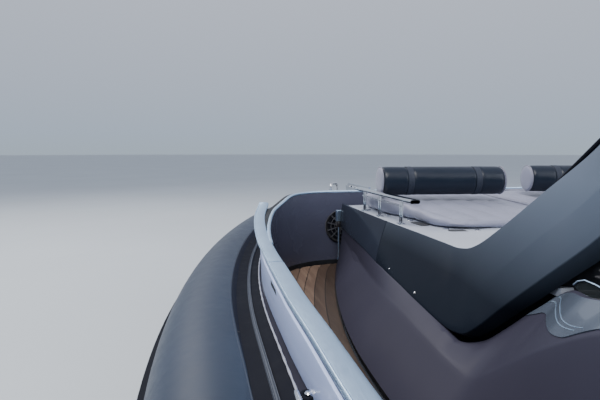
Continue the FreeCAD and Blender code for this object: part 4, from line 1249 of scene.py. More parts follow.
planked("side_deck_boards", boards_all, M["teak"], dark=house_shade_share)
finish_node("teak_side_decks", "caulk")

# cockpit sole and swim platform: straight boards
sole_poly = both([(1.076, -3.236), (1.276, -2.4), (1.316, -0.5), (1.356, 1.2), (1.356, 4.336)])


def straight_boards(poly, z, width=0.062, gap=0.0055, x0=None, inset=0.0):
    out = []
    lo, hi = min(p[0] for p in poly), max(p[0] for p in poly)
    x = -width / 2 if x0 is None else x0
    while x > lo:
        x -= width
    while x < hi:
        c = clip_strip(poly, max(x + gap / 2, lo + inset), min(x + width - gap / 2, hi - inset))
        if len(c) > 2:
            out.append((c, z))
        x += width
    return out


planked("sole_boards", straight_boards(sole_poly, 0.9646), M["teak"])
finish_node("cockpit_sole", "caulk")
plat_poly = [(0.0, 6.948), (1.476, 6.948), (1.476, 7.144), (1.836, 7.144), (1.836, 7.946), (1.588, 8.246), (0.0, 8.246)]
bay = [(0.496, 7.336), (1.024, 7.336), (1.024, 8.25), (0.496, 8.25)]
pb = []
xx = 0.0
while xx < 1.84:
    a, b = xx + 0.00275, min(xx + 0.062 - 0.00275, 1.834)
    y_end = 8.244 if b < 1.588 else 8.244 - (b - 1.588) * 1.2097
    y_start = 6.952 if b <= 1.476 else 7.148
    y_start = 7.148 if (a < 1.476 < b) else y_start
    if b > 0.494 and a < 1.026:
        if a < 0.490:
            pb.append(([(a, y_start), (0.490, y_start), (0.490, y_end), (a, y_end)], 0.5226))
            pb.append(([(0.4955, y_start), (b, y_start), (b, 7.332), (0.4955, 7.332)], 0.5226))
        elif b > 1.030:
            pb.append(([(1.030, y_start), (b, y_start), (b, y_end), (1.030, y_end)], 0.5226))
            pb.append(([(a, y_start), (1.0245, y_start), (1.0245, 7.332), (a, 7.332)], 0.5226))
        else:
            pb.append(([(a, y_start), (b, y_start), (b, 7.332), (a, 7.332)], 0.5226))
    else:
        pb.append(([(a, y_start), (b, y_start), (b, y_end), (a, y_end)], 0.5226))
    xx += 0.062
star = []
xx = 0.0
while xx < 1.84:
    a, b = xx + 0.00275, min(xx + 0.062 - 0.00275, 1.834)
    y_end = 8.244 if b < 1.588 else 8.244 - (b - 1.588) * 1.2097
    y_start = 7.148 if b > 1.476 else 6.952
    star.append(([(-b, y_start), (-a, y_start), (-a, y_end), (-b, y_end)], 0.5226))
    xx += 0.062
planked("platform_boards", pb + star, M["teak"])
finish_node("platform_teak", "caulk")

# ---------------------------------------------------------------- deckhouse: gloss side panels and pillars
# upper edge, lower edge, share of the crease from the upper edge, crease height, depth
BOOM = [
    ((1.150, -5.716, 1.758), (1.160, -5.716, 1.560), 0.62, 0.000, 0.016),
    ((1.152, -5.310, 1.756), (1.2215, -5.290, 1.564), 0.62, 0.000, 0.016),
    ((1.153, -4.950, 1.755), (1.262, -4.870, 1.552), 0.62, 0.000, 0.016),
    ((1.153, -4.749, 1.755), (1.296, -4.566, 1.537), 0.62, 0.000, 0.016),
    ((1.153, -4.300, 1.757), (1.329, -4.190, 1.517), 0.62, 0.000, 0.018),
    ((1.153, -4.050, 1.757), (1.352, -3.860, 1.505), 0.62, 0.000, 0.022),
    ((1.153, -3.940, 1.756), (1.364, -3.640, 1.501), 0.61, 0.000, 0.030),
    ((1.152, -3.846, 1.768), (1.367, -3.515, 1.519), 0.60, 0.000, 0.040),
    ((1.148, -3.743, 1.814), (1.352, -3.437, 1.576), 0.60, 0.001, 0.050),
    ((1.126, -3.667, 1.878), (1.317, -3.371, 1.657), 0.61, 0.005, 0.058),
    ((1.067, -3.505, 2.038), (1.257, -3.256, 1.790), 0.63, 0.018, 0.066),
    ((0.997, -3.324, 2.224), (1.182, -3.115, 1.955), 0.66, 0.026, 0.070),
    ((0.978, -2.862, 2.687), (1.096, -2.600, 2.550), 0.66, 0.024, 0.070),
    ((0.960, -2.400, 3.162), (1.010, -2.090, 3.162), 0.66, 0.018, 0.070),
]
bu = [np.array(b[0]) for b in BOOM]
bl = [np.array(b[1]) for b in BOOM]
bt = [0.0]
for i in range(1, len(BOOM)):
    bt.append(bt[-1] + 0.5 * np.linalg.norm(bu[i] - bu[i - 1]) + 0.5 * np.linalg.norm(bl[i] - bl[i - 1]))
BU = [pchip(bt, [p[k] for p in bu]) for k in range(3)]
BL = [pchip(bt, [p[k] for p in bl]) for k in range(3)]
BF, BH, BD = (pchip(bt, [b[k] for b in BOOM]) for k in (2, 3, 4))


def boom_at(t):
    return np.array([float(f(t)) for f in BU]), np.array([float(f(t)) for f in BL])


def boom_rows(t0, t1, step=0.03, bulge=0.006):
    n = max(2, int(math.ceil((t1 - t0) / step)))
    ts = [t0 + (t1 - t0) * i / n for i in range(n + 1)]
    N = []
    for t in ts:
        u0, l0 = boom_at(max(t - 0.05, bt[0]))
        u1, l1 = boom_at(min(t + 0.05, bt[-1]))
        u, l = boom_at(t)
        tan = (u1 + l1 - u0 - l0)
        v = np.cross(l - u, tan)
        v = v / np.linalg.norm(v)
        N.append(v if v[0] > 0 else -v)
    for _ in range(4):
        M2 = [N[0]] + [(N[i - 1] + 2 * N[i] + N[i + 1]) for i in range(1, len(N) - 1)] + [N[-1]]
        N = [v / np.linalg.norm(v) for v in M2]
    rows = []
    for t, nv in zip(ts, N):
        u, l = boom_at(t)
        f, h, d = float(BF(t)), float(BH(t)), float(BD(t))
        w = l - u
        width = np.linalg.norm(w)
        w = w / width
        r, r2 = 0.010, 0.006

        def face(v):
            k = h * (v / f if v < f else (1 - v) / (1 - f))
            near = abs(v - f)
            if near < 0.03:
                k -= h * 0.02 * (1 - near / 0.03)
            return u + w * (v * width) + nv * (bulge * 4 * v * (1 - v) + k)
        row = [u + w * 0.03 - nv * d, u + w * 0.004 - nv * d]
        c = u + w * r - nv * r
        row += [c - w * r * math.cos(a) + nv * r * math.sin(a) for a in np.radians([0, 22, 45, 68, 90])]
        vs = [0.10, 0.18, 0.26, 0.34, 0.42, 0.50]
        vs = [q * f / 0.55 for q in vs] + [f - 0.025, f - 0.012, f, f + 0.012, f + 0.025]
        vs += [f + (1 - f) * q for q in (0.18, 0.34, 0.50, 0.66, 0.82)]
        row += [face(q) for q in vs]
        c = l - w * r2 - nv * r2
        row += [c + w * r2 * math.cos(a) + nv * r2 * math.sin(a) for a in np.radians([90, 60, 30, 0])]
        row += [l - w * 0.004 - nv * d, l - w * 0.03 - nv * d]
        rows.append(row)
    return rows


T_JOINT = bt[3]
front_panel = capped(boom_rows(bt[0] + 0.001, T_JOINT - 0.0042))
aft_panel = capped(boom_rows(T_JOINT + 0.0042, bt[-1]))
make("side_panels_gloss", *twin(front_panel), M["gloss_front_painted_sheen"], "gloss_panel", sharp=24, replaces=("side_panels",))
make("pillar_panels", *twin(aft_panel), M["pillar_gloss_painted_sky"], "gloss_panel", sharp=24, replaces=("pillars",))

# ---------------------------------------------------------------- deckhouse: satin sides from the bow to the stern
crease_x = pchip([-5.72, -5.43, -5.147, -4.575, -4.193, -3.947, -3.687, -3.484, -3.36, -3.24, -2.83, -2.4, -0.5, 1.2, 4.343],
                 [1.150, 1.188, 1.226, 1.326, 1.384, 1.404, 1.423, 1.434, 1.437, 1.434, 1.452, 1.47, 1.50, 1.52, 1.54])
cz_front = pchip([-5.72, -5.43, -5.147, -4.575, -4.193, -3.947, -3.687, -3.484, -3.32],
                 [1.487, 1.458, 1.442, 1.453, 1.459, 1.463, 1.456, 1.449, 1.447])
cz_aft = pchip([-3.32, -3.255, -3.145, -2.944, -2.83, -2.62, -2.4, -0.5, 1.2, 4.343],
               [1.447, 1.496, 1.585, 1.732, 1.802, 1.872, 1.90, 1.88, 1.70, 1.60])


def crease_z_raw(y):
    return float(cz_front(y)) if y < -3.32 else float(cz_aft(y))


def crease_z(y):
    return sum(crease_z_raw(y + k * 0.012) for k in range(-3, 4)) / 7.0


lip_x = pchip([-5.72, -5.3, -4.9, -4.68, -4.486, -4.30, -4.14, -4.005, -3.882, -3.732, -3.635, -3.585, -3.54, -3.50, -3.44, -3.37, -3.305, -3.25, -3.21, -3.19, -3.134, -3.021, -2.915, -2.83, -2.4, -0.5, 1.2, 4.343],
              [1.142, 1.205, 1.250, 1.2785, 1.3005, 1.3145, 1.3265, 1.338, 1.3475, 1.3565, 1.362, 1.366, 1.363, 1.350, 1.316, 1.283, 1.254, 1.231, 1.213, 1.209, 1.235, 1.295, 1.327, 1.337, 1.38, 1.42, 1.46, 1.48])
lip_z = pchip([-5.72, -5.3, -4.9, -4.68, -4.486, -4.30, -4.14, -4.005, -3.882, -3.732, -3.635, -3.585, -3.54, -3.50, -3.44, -3.37, -3.305, -3.25, -3.21, -3.19, -3.134, -3.021, -2.915, -2.83, -2.4, -0.5, 1.2, 4.343],
              [1.60, 1.592, 1.566, 1.5475, 1.5395, 1.5315, 1.5245, 1.5165, 1.5105, 1.503, 1.498, 1.493, 1.487, 1.494, 1.523, 1.592, 1.663, 1.718, 1.760, 1.774, 1.794, 1.813, 1.838, 1.868, 1.96, 1.93, 1.74, 1.63])

shell_y = np.concatenate([np.arange(-5.72, -3.70, 0.05), np.arange(-3.70, -2.9, 0.0125), np.arange(-2.9, -2.3, 0.05), np.arange(-2.3, 4.2, 0.2), [4.343]])


def unit(v):
    v = np.array(v, float)
    return v / max(np.linalg.norm(v), 1e-9)


def shell_section(y):
    b = float(deck_x(y))
    c = np.array([float(crease_x(y)), crease_z(y)])
    p = np.array([float(lip_x(y)), float(lip_z(y))])
    foot = np.array([b, 1.240])
    out = [(b - 0.012, 1.196), (b - 0.010, 1.203), (b - 0.009, 1.233), (b - 0.0005, 1.2375)]
    d = unit(c - foot)
    nrm = np.array([d[1], -d[0]])
    L = np.linalg.norm(c - foot)
    for f in (0.0, 0.12, 0.26, 0.42, 0.58, 0.74, 0.88):
        out.append(foot + d * (L * f) - nrm * (0.004 * math.sin(math.pi * f)))
    e = unit(p - c)
    r = min(0.011, 0.3 * np.linalg.norm(p - c))
    a, bb = c - d * r, c + e * r
    for t in (0.0, 0.25, 0.5, 0.75, 1.0):
        out.append((1 - t) ** 2 * a + 2 * t * (1 - t) * c + t * t * bb)
    W = np.linalg.norm(p - c)
    n2 = np.array([e[1], -e[0]])
    n2 = n2 if n2[0] > 0 else -n2
    for f in (0.22, 0.38, 0.54, 0.70, 0.84):
        out.append(c + e * (W * f) + n2 * (0.001 * math.sin(math.pi * f)))
    k = min(1.0, max(0.0, (y + 3.75) / 0.12))
    lip = unit(np.array([-1.0, -0.10 - 0.5 * k]))
    r = 0.006 + 0.006 * k
    for t in (0.0, 0.33, 0.67, 1.0):
        out.append((1 - t) ** 2 * (p - e * r) + 2 * t * (1 - t) * p + t * t * (p + lip * r))
    return out, p, lip


rows = []
for y in shell_y:
    o, p, lip = shell_section(y)
    b = float(deck_x(y))
    o = list(o) + [p + lip * 0.050, p + lip * 0.050 + np.array([-0.004, -0.012]), np.array([p[0] - 0.02, p[1] - 0.06]), np.array([b - 0.09, 1.30]),
                   np.array([b - 0.09, 1.196])]
    rows.append([(q[0], y, q[1]) for q in o])
sv, sf = capped(rows)
side_shell = make("deckhouse_sides", *twin((sv, sf)), [M["deckhouse_satin"], M["black_and_painted_shade"]], "deckhouse_satin", sharp=46,
                  replaces=("coachroof", "coamings"))
nper = len(rows[0])
# painted shade: the faces of the toe recess at the foot of the side take the near-black material
for poly in side_shell.data.polygons:
    zz = poly.center[2]
    if zz < 1.2365 and abs(poly.normal[2]) < 0.9 and len(poly.vertices) == 4:
        poly.material_index = 1

# the upper facet that carries the gloss panels
rows = []
for y in np.arange(-5.72, -3.60, 0.05):
    p = np.array([float(lip_x(y)), float(lip_z(y))])
    q = np.array([1.136, 1.738])
    dd = unit(q - p)
    nn = np.array([dd[1], -dd[0]])
    nn = nn if nn[0] > 0 else -nn
    a, b_ = p + dd * 0.002 - nn * 0.012, q - nn * 0.008
    rows.append([(v[0], y, v[1]) for v in (a, b_, b_ - nn * 0.03 + dd * 0.0, a - nn * 0.03)])
make("panel_backing", *twin(capped(rows)), M["black_and_painted_shade"], "black_plastic", sharp=30)

# roof with its crown
roof_y = list(np.arange(-5.715, -3.25, 0.1)) + [-3.236]
roof_x = lambda y: float(np.interp(y, [-5.8, -3.84, -3.24], [1.139, 1.139, 1.19]))
roof_z = lambda y: float(np.interp(y, [-5.8, -3.84, -3.24], [1.7475, 1.7475, 1.763]))
rows = []
for y in roof_y:
    w, z = roof_x(y), roof_z(y)
    front = min(1.0, (y + 5.73) / 0.10)
    xs = np.linspace(-1, 1, 25)
    row = [(w * v, y, z + 0.020 * (1 - v * v) * max(front, 0.2) - (0.012 * (1 - front) ** 2)) for v in xs]
    row += [(w, y, z - 0.03), (-w, y, z - 0.03)]
    rows.append(row)
make("deckhouse_roof", *capped(rows), M["roof_top"], "pale_deck", sharp=30)

# front face, rounded at its edges
o, p, lip = shell_section(-5.72)
half = [(b_[0], b_[1]) for b_ in o if b_[1] > 1.19][:-3] + [(1.142, 1.60), (1.142, 1.73), (1.130, 1.745), (0.0, 1.766)]
face_pts = half + [(-x, z) for x, z in reversed(half[:-1])]
ca = np.array([0.0, 1.48])
r0 = [(x * 0.985, -5.727, ca[1] + (z - ca[1]) * 0.965) for x, z in face_pts]
r1 = [(x * 0.997, -5.722, ca[1] + (z - ca[1]) * 0.992) for x, z in face_pts]
r2 = [(x * 0.999, -5.712, z * 0.9995) for x, z in face_pts]
r3 = [(x * 0.995, -5.690, z * 0.9990) for x, z in face_pts]
make("deckhouse_front", *capped([r0, r1, r2, r3]), M["deckhouse_satin"], "deckhouse_satin", sharp=30)

# near-black quarter panel under each pillar, painted shade in the recess there, with louvres
rows = []
for y in np.arange(-3.60, -2.955, 0.02):
    o, p, lip = shell_section(y)
    a = p + lip * 0.040 + np.array([0, -0.006])
    t = bt[6] + (bt[11] - bt[6]) * min(1.0, max(0.0, (y + 3.64) / (3.64 - 3.115)))
    # lower edge of the pillar nearest to this station
    ts = np.linspace(bt[5], bt[12], 120)
    t = ts[int(np.argmin([abs(float(BL[1](q)) - y) for q in ts]))]
    u, l = boom_at(t)
    back = l + unit(u - l) * 0.035 + np.array([-0.050, 0.0, -0.030])
    mid = (np.array([a[0], y, a[1]]) + back) / 2 + np.array([-0.035, 0, -0.010])
    rows.append([(a[0] + 0.002, y, a[1]), (a[0] - 0.03, y, a[1] + 0.002), tuple(mid), tuple(back),
                 tuple(back + np.array([-0.02, 0, 0.0])), tuple(mid + np.array([-0.03, 0, -0.02])), (a[0] - 0.05, y, a[1] - 0.03)])
make("quarter_recess", *twin(capped(rows)), M["black_and_painted_shade"], "black_plastic", sharp=40)
louvres = []
for k in range(4):
    y0, z0 = -3.075 + 0.0 * k, 1.838 + 0.021 * k
    louvres.append(boxvf(1.170, 1.205, -3.10 + 0.012 * k, -2.93, z0, z0 + 0.005))
make("quarter_louvres", *twin(merge(*louvres)), M["black_plastic"], "black_plastic", bevel=0.0015)

# flush service hatch in the shoulder with its double seam; its lighter, bluer satin is a painted sky reflection on the
# shoulder
def facet_point(y, f, lift):
    c = np.array([float(crease_x(y)), crease_z(y)])
    p = np.array([float(lip_x(y)), float(lip_z(y))])
    e = unit(p - c)
    n2 = np.array([e[1], -e[0]])
    n2 = n2 if n2[0] > 0 else -n2
    q = c + e * (np.linalg.norm(p - c) * f) + n2 * (0.001 * math.sin(math.pi * f) + lift)
    return (q[0], y, q[1])


M["satin_painted_sky"] = paint("satin_painted_sky", (0.078, 0.096, 0.128), 0.20, 0.5, 0.05, 0.06, 0.03, 0.2)
f_line = lambda y: float(np.interp(y, [-3.30, -2.95], [0.95, 0.10]))
f_seam = lambda y: float(np.interp(y, [-3.235, -2.92], [0.93, 0.20]))
rows = []
for y in np.arange(-3.30, -2.62, 0.02):
    f0 = max(0.10, f_line(y))
    fs = [f0 + (0.95 - f0) * k / 10.0 for k in range(11)]
    up = [facet_point(y, f, 0.0030) for f in fs]
    dn = [facet_point(y, f, -0.006) for f in reversed(fs)]
    rows.append(up + dn)
make("shoulder_hatch", *twin(capped(rows)), M["satin_painted_sky"], "deckhouse_satin", sharp=28)
seams = []
for off in (0.0, 0.030):
    rows = []
    for y in np.arange(-3.235 + off, -2.93 + off, 0.015):
        f = f_seam(y - off)
        rows.append([facet_point(y, f - 0.004, 0.0025), facet_point(y, f - 0.004, 0.0040), facet_point(y, f + 0.010, 0.0040), facet_point(y, f + 0.010, 0.0025)])
    seams.append(capped(rows))
make("shoulder_seams", *twin(merge(*seams)), M["satin_alloy"], "satin_alloy", sharp=40)

# ---------------------------------------------------------------- cockpit liner and coaming tops
inner_x = lambda y: float(np.interp(y, [-3.24, -2.4, -0.5, 1.2, 4.35], [1.082, 1.282, 1.322, 1.362, 1.362]))
rows = []
for y in list(np.arange(-3.238, -2.3, 0.06)) + list(np.arange(-2.3, 4.3, 0.25)) + [4.343]:
    o, p, lip = shell_section(y)
    a = p + lip * 0.046
    xi = inner_x(y)
    zt = a[1] + 0.002
    top = [(a[0] + 0.003, a[1] - 0.006), (a[0], zt), (xi + 0.020, zt + 0.004), (xi + 0.008, zt + 0.001), (xi + 0.002, zt - 0.008), (xi, zt - 0.022)]
    if zt > 1.60:
        mid = 1.10 + (zt - 1.10) * 0.5
    else:
        mid = 1.3
    wall_ = [(xi, mid), (xi, 0.957), (xi + 0.012, 0.957), (xi + 0.03, mid), (a[0] - 0.0, zt - 0.05)]
    rows.append([(q[0], y, q[1]) for q in top + wall_])
make("cockpit_liner", *twin(capped(rows)), M["deckhouse_cockpit"], "deckhouse_satin", sharp=28)
# grab rail of steel along each coaming inside the cockpit
rails = []
for y0, y1 in ((-0.2, 0.75), (1.35, 2.5)):
    pts = []
    for k in np.linspace(0, 1, 13):
        y = y0 + (y1 - y0) * k
        z = float(lip_z(y)) - 0.095
        d = 0.045 * min(1.0, math.sin(math.pi * min(max(k, 0.0), 1.0)) * 6)
        pts.append((inner_x(y) + 0.004 - d - 0.0, y, z))
    rails.append(tubevf(pts, 0.012, 12))
make("coaming_grabs", *twin(merge(*rails)), M["polished_steel"], "polished_steel", sharp=40)

# bulkhead with its doorway, and the lobby behind it
parts = [boxvf(-1.09, 0.222, -3.246, -3.238, 0.955, 1.77), boxvf(0.878, 1.09, -3.246, -3.238, 0.955, 1.77),
         boxvf(0.222, 0.878, -3.246, -3.238, 1.698, 1.77), boxvf(0.222, 0.878, -3.246, -3.238, 0.950, 0.968)]
make("bulkhead", *merge(*parts), M["deckhouse_cockpit"], "deckhouse_satin", smooth=False)
parts = [boxvf(0.205, 0.2285, -4.52, -3.247, 1.17, 1.715), boxvf(0.8715, 0.895, -4.52, -3.247, 1.17, 1.715),
         boxvf(0.205, 0.895, -4.52, -4.5015, 1.17, 1.715), boxvf(0.205, 0.895, -4.52, -3.247, 1.6915, 1.715)]
make("lobby_liner", *merge(*parts), M["deckhouse_cockpit"], "deckhouse_satin", bevel=0.003)
frame_pts = closed_round([(0.214, 0.966), (0.886, 0.966), (0.886, 1.706), (0.214, 1.706)], 0.05, 5)
inner_pts = closed_round([(0.226, 0.974), (0.874, 0.974), (0.874, 1.696), (0.226, 1.696)], 0.04, 5)
rows = [[(x, -3.2375, z) for x, z in frame_pts], [(x, -3.2335, z) for x, z in frame_pts], [(x, -3.2335, z) for x, z in inner_pts], [(x, -3.2375, z) for x, z in inner_pts]]
make("door_frame", *grid(rows, close_u=True, close_v=True), M["black_rubber"], "black_rubber", sharp=30)

# ---------------------------------------------------------------- padded pieces
from mathutils.bvhtree import BVHTree


def outline_distance(xy, poly):
    """Distance of each X, Y point to a closed outline."""
    P = np.asarray(xy, float)[:, None, :]
    A = np.asarray([tuple(p) for p in poly], float)
    d = np.roll(A, -1, axis=0) - A
    t = np.clip(((P - A) * d).sum(-1) / np.maximum((d * d).sum(-1), 1e-12), 0, 1)
    q = A + t[..., None] * d
    return np.sqrt(((P - q) ** 2).sum(-1)).min(1)


def inset(points, d):
    """Closed outline moved inwards by d."""
    P = np.array([tuple(p) for p in points], float)
    a = np.roll(P, 1, axis=0)
    b = np.roll(P, -1, axis=0)
    area = 0.5 * np.sum(P[:, 0] * b[:, 1] - b[:, 0] * P[:, 1])
    t1, t2 = P - a, b - P
    t1 = t1 / np.maximum(np.linalg.norm(t1, axis=1, keepdims=True), 1e-9)
    t2 = t2 / np.maximum(np.linalg.norm(t2, axis=1, keepdims=True), 1e-9)
    n1 = np.stack([-t1[:, 1], t1[:, 0]], 1) * (1 if area > 0 else -1)
    n2 = np.stack([-t2[:, 1], t2[:, 0]], 1) * (1 if area > 0 else -1)
    n = n1 + n2
    n = n / np.maximum((n * n1).sum(1, keepdims=True), 0.5)
    return P + n * d


def coords(me):
    c = np.empty(len(me.vertices) * 3)
    me.vertices.foreach_get("co", c)
    return c.reshape(-1, 3)


def set_coords(me, c):
    me.vertices.foreach_set("co", np.asarray(c, float).ravel())
    me.update()


def normals(me):
    n = np.empty(len(me.vertices) * 3)
    me.vertices.foreach_get("normal", n)
    return n.reshape(-1, 3)


def foam_body(name, vf, soften=0.02, segs=3):
    me = bpy.data.meshes.new(name)
    me.from_pydata([tuple(map(float, v)) for v in vf[0]], [], [tuple(int(i) for i in f) for f in vf[1]])
    bm = bmesh.new()
    bm.from_mesh(me)
    bmesh.ops.remove_doubles(bm, verts=bm.verts, dist=1e-5)
    bmesh.ops.recalc_face_normals(bm, faces=bm.faces)
    bm.to_mesh(me)
    bm.free()
    ob = link(bpy.data.objects.new(name, me))
    if soften > 0:
        b = ob.modifiers.new("edge", "BEVEL")
        b.width = soften
        b.segments = segs
        b.limit_method = "ANGLE"
        b.angle_limit = math.radians(40)
    return ob


def blow_up(ob, cap, pressure=4.0, frames=20):
    """Cloth under pressure stuffs the closed cover; no point travels further than cap."""
    me = ob.data
    rest = coords(me)
    mod = ob.modifiers.new("stuffing", "CLOTH")
    s = mod.settings
    s.use_pressure = True
    s.uniform_pressure_force = pressure
    s.quality = 4
    s.mass = 0.3
    s.effector_weights.gravity = 0.0
    mod.collision_settings.use_collision = False
    mod.collision_settings.use_self_collision = False
    mod.point_cache.frame_start = 1
    mod.point_cache.frame_end = frames
    for f in range(1, frames + 1):
        scene.frame_set(f)
    dg = bpy.context.evaluated_depsgraph_get()
    moved = coords(ob.evaluated_get(dg).data)
    ob.modifiers.remove(mod)
    scene.frame_set(1)
    d = moved - rest
    L = np.linalg.norm(d, axis=1, keepdims=True)
    set_coords(me, rest + d / np.maximum(L, 1e-9) * cap * np.tanh(L / cap))


def stuffed(name, vf, mat, voxel=0.02, cap=0.016, soften=0.02, sub=1, body="boat", replaces=(), shape=None, flat=None,
            after=None):
    """One stuffed cover: a closed block, remeshed, blown up by cloth, then sewn (shape moves its points)."""
    ob = foam_body(name, vf, soften)
    m = ob.modifiers.new("even", "REMESH")
    m.mode = "VOXEL"
    m.voxel_size = voxel
    apply_modifiers(ob)
    blow_up(ob, cap)
    sm = ob.modifiers.new("ease", "SMOOTH")
    sm.iterations = 2
    sm.factor = 0.5
    if sub:
        ss = ob.modifiers.new("fine", "SUBSURF")
        ss.levels = ss.render_levels = sub
    apply_modifiers(ob)
    me = ob.data
    if shape:
        set_coords(me, shape(coords(me), normals(me)))
    if flat is not None:
        c = coords(me)
        c[:, 2] = np.maximum(c[:, 2], flat)
        set_coords(me, c)
        bm = bmesh.new()
        bm.from_mesh(me)
        low = [f for f in bm.faces if all(v.co.z < flat + 1e-5 for v in f.verts)]
        if low:
            bmesh.ops.dissolve_limit(bm, angle_limit=0.01, verts=list({v for f in low for v in f.verts}), edges=list({e for f in low for e in f.edges}))
        bm.to_mesh(me)
        bm.free()
    me.materials.clear()
    me.materials.append(mat)
    dress(ob, mat, body, True, 70, replaces=replaces)
    return ob


def groove(t, pitch, width, depth, start=0.0):
    u = (np.asarray(t) - start + pitch / 2) % pitch - pitch / 2
    return depth * np.exp(-(u / width) ** 2)


def puffs(t, pitch, depth, start=0.0):
    """Sewn channels: a sharp valley at each seam and a round crown between."""
    u = ((np.asarray(t) - start) % pitch) / pitch
    return depth * (1.0 - np.abs(np.sin(np.pi * u)) ** 0.55)


def pad_block(poly, z0, z1, tuck=0.010, crown=0.028, corner=0.05):
    base = closed_round([tuple(p) for p in poly], corner, 4)
    rows = []
    for d, z in ((tuck + 0.012, z0), (0.004, z0 + 0.014), (0.0, (z0 + z1) / 2), (0.002, z1 - crown), (crown * 0.3, z1 - crown * 0.35), (crown, z1)):
        q = inset(base, d)
        rows.append([(x, y, z) for x, y in q])
    return capped(rows)


def tree_of(ob):
    bm = bmesh.new()
    bm.from_mesh(ob.data)
    t = BVHTree.FromBMesh(bm)
    bm.free()
    return t


def on_top(tree, x, y, z=9.0):
    hit = tree.ray_cast(Vector((x, y, z)), Vector((0, 0, -1)))
    return hit[0].z if hit[0] is not None else None


def piping_on(tree, pts, r, sink=0.3):
    out = []
    for x, y in pts:
        z = on_top(tree, x, y)
        if z is not None:
            out.append((x, y, z + r * (1 - sink)))
    return tubevf(out, r, 8, closed=True)


def resample(points, step):
    P = [np.array(tuple(p), float) for p in points]
    P.append(P[0])
    out = []
    for a, b in zip(P[:-1], P[1:]):
        n = max(1, int(np.linalg.norm(b - a) / step))
        out += [a + (b - a) * k / n for k in range(n)]
    return out


# bow sunpad: two thin pads with a fat rolled border, channels running fore and aft
PAD_HALF = [(0.004, -5.605), (0.898, -5.605), (0.996, -5.575), (1.052, -5.476), (1.071, -5.200), (1.054, -5.000), (1.022, -4.880), (1.004, -4.740),
            (0.998, -4.500), (0.969, -4.414), (0.921, -4.350), (0.848, -4.316), (0.758, -4.298), (0.004, -4.281)]
PAD_PLAN = [tuple(p) for p in closed_round(PAD_HALF, 0.06, 5)]
pad_top = linear([(-4.275, 1.7960), (-5.0, 1.8650), (-5.7, 1.8650)], 0.12)


def bow_pad_shape(c, n):
    s = np.sign(c[:, 0].mean())
    xy = c[:, :2].copy()
    xy[:, 0] *= s
    d = outline_distance(xy, PAD_PLAN)
    top = np.clip(n[:, 2] * 1.4, 0, 1)
    inner = np.clip((d - 0.072) / 0.02, 0, 1)
    thick = np.array([float(pad_top(y)) for y in xy[:, 1]]) - 1.757
    low = 0.012 * np.clip((d - 0.058) / 0.022, 0, 1) * top * np.clip(thick / 0.09, 0, 1)
    seam = 0.009 * np.exp(-((d - 0.067) / 0.009) ** 2) * top
    chan = puffs(xy[:, 0], 0.158, 0.013, 0.004 + 0.079) * inner * top
    wave = np.sin(xy[:, 0] * 19.0 + c[:, 1] * 27.0 + 1.6 * np.sin(c[:, 1] * 13.0))
    roll = (1 - np.clip((d - 0.045) / 0.02, 0, 1)) * 0.0032 * wave
    c = c.copy()
    c[:, 2] -= low + seam + chan
    c += n * roll[:, None]
    return c


bow_pads = []
for s, side in ((1, "port"), (-1, "starboard")):
    blk = pad_block([(s * x, y) for x, y in PAD_HALF][::s], 0.0, 1.0, 0.010, 0.030, 0.06)
    lift = []
    for x, y, z in blk[0]:
        t = float(pad_top(y)) - 1.7625
        # the sections of the roll keep their roundness whatever the thickness
        lift.append((x, y, 1.7625 + t * {0.0: 0.0, 0.014: 0.16, 0.5: 0.48, 0.970: 0.78, 0.9895: 0.95, 1.0: 1.0}[round(float(z), 4)]))
    blk = (lift, blk[1])
    ob = stuffed("bow_pad_" + side, blk, M["pale_upholstery"], 0.019, 0.014, 0.0, 1,
                 replaces=("bow_sunpad",) if s > 0 else (), shape=bow_pad_shape, flat=1.7560)
    bow_pads.append(ob)
parts = []
for ob, s in zip(bow_pads, (1, -1)):
    tr = tree_of(ob)
    ring_pts = resample([(s * x, y) for x, y in inset(PAD_PLAN, 0.066)], 0.02)
    parts.append(piping_on(tr, ring_pts, 0.0030, 0.1))
make("bow_pad_piping", *merge(*parts), M["piping"], "pale_upholstery", sharp=60)
# snap brackets, and near-black slots at the pads' edge: painted shade under the overhanging pad
hooks = []
for x, y, ang in ((1.078, -5.30, 0), (1.058, -4.985, 8), (1.012, -4.72, 10), (0.955, -4.375, 42), (0.800, -4.296, 86), (0.600, -4.288, 90)):
    ca, sa = math.cos(math.radians(ang)), math.sin(math.radians(ang))
    q = [(x + ca * u - sa * w, y + sa * u + ca * w) for u, w in ((0.012, -0.016), (0.012, 0.016), (-0.02, 0.016), (-0.02, -0.016))]
    hooks.append(planvf(q, 1.7470, 1.7600))
make("pad_brackets", *twin(merge(*hooks)), M["polished_steel"], "polished_steel", bevel=0.0035)
hooks = []
for x, y, ang in ((1.000, -4.60, 4), (0.885, -4.322, 74), (0.700, -4.286, 90)):
    ca, sa = math.cos(math.radians(ang)), math.sin(math.radians(ang))
    q = [(x + ca * u - sa * w, y + sa * u + ca * w) for u, w in closed_round([(0.030, -0.075), (0.030, 0.075), (-0.03, 0.075), (-0.03, -0.075)], 0.022, 4)]
    hooks.append(planvf(q, 1.7480, 1.7560, None))
make("pad_slots", *twin(merge(*hooks)), M["black_plastic"], "black_plastic", bevel=0.002)

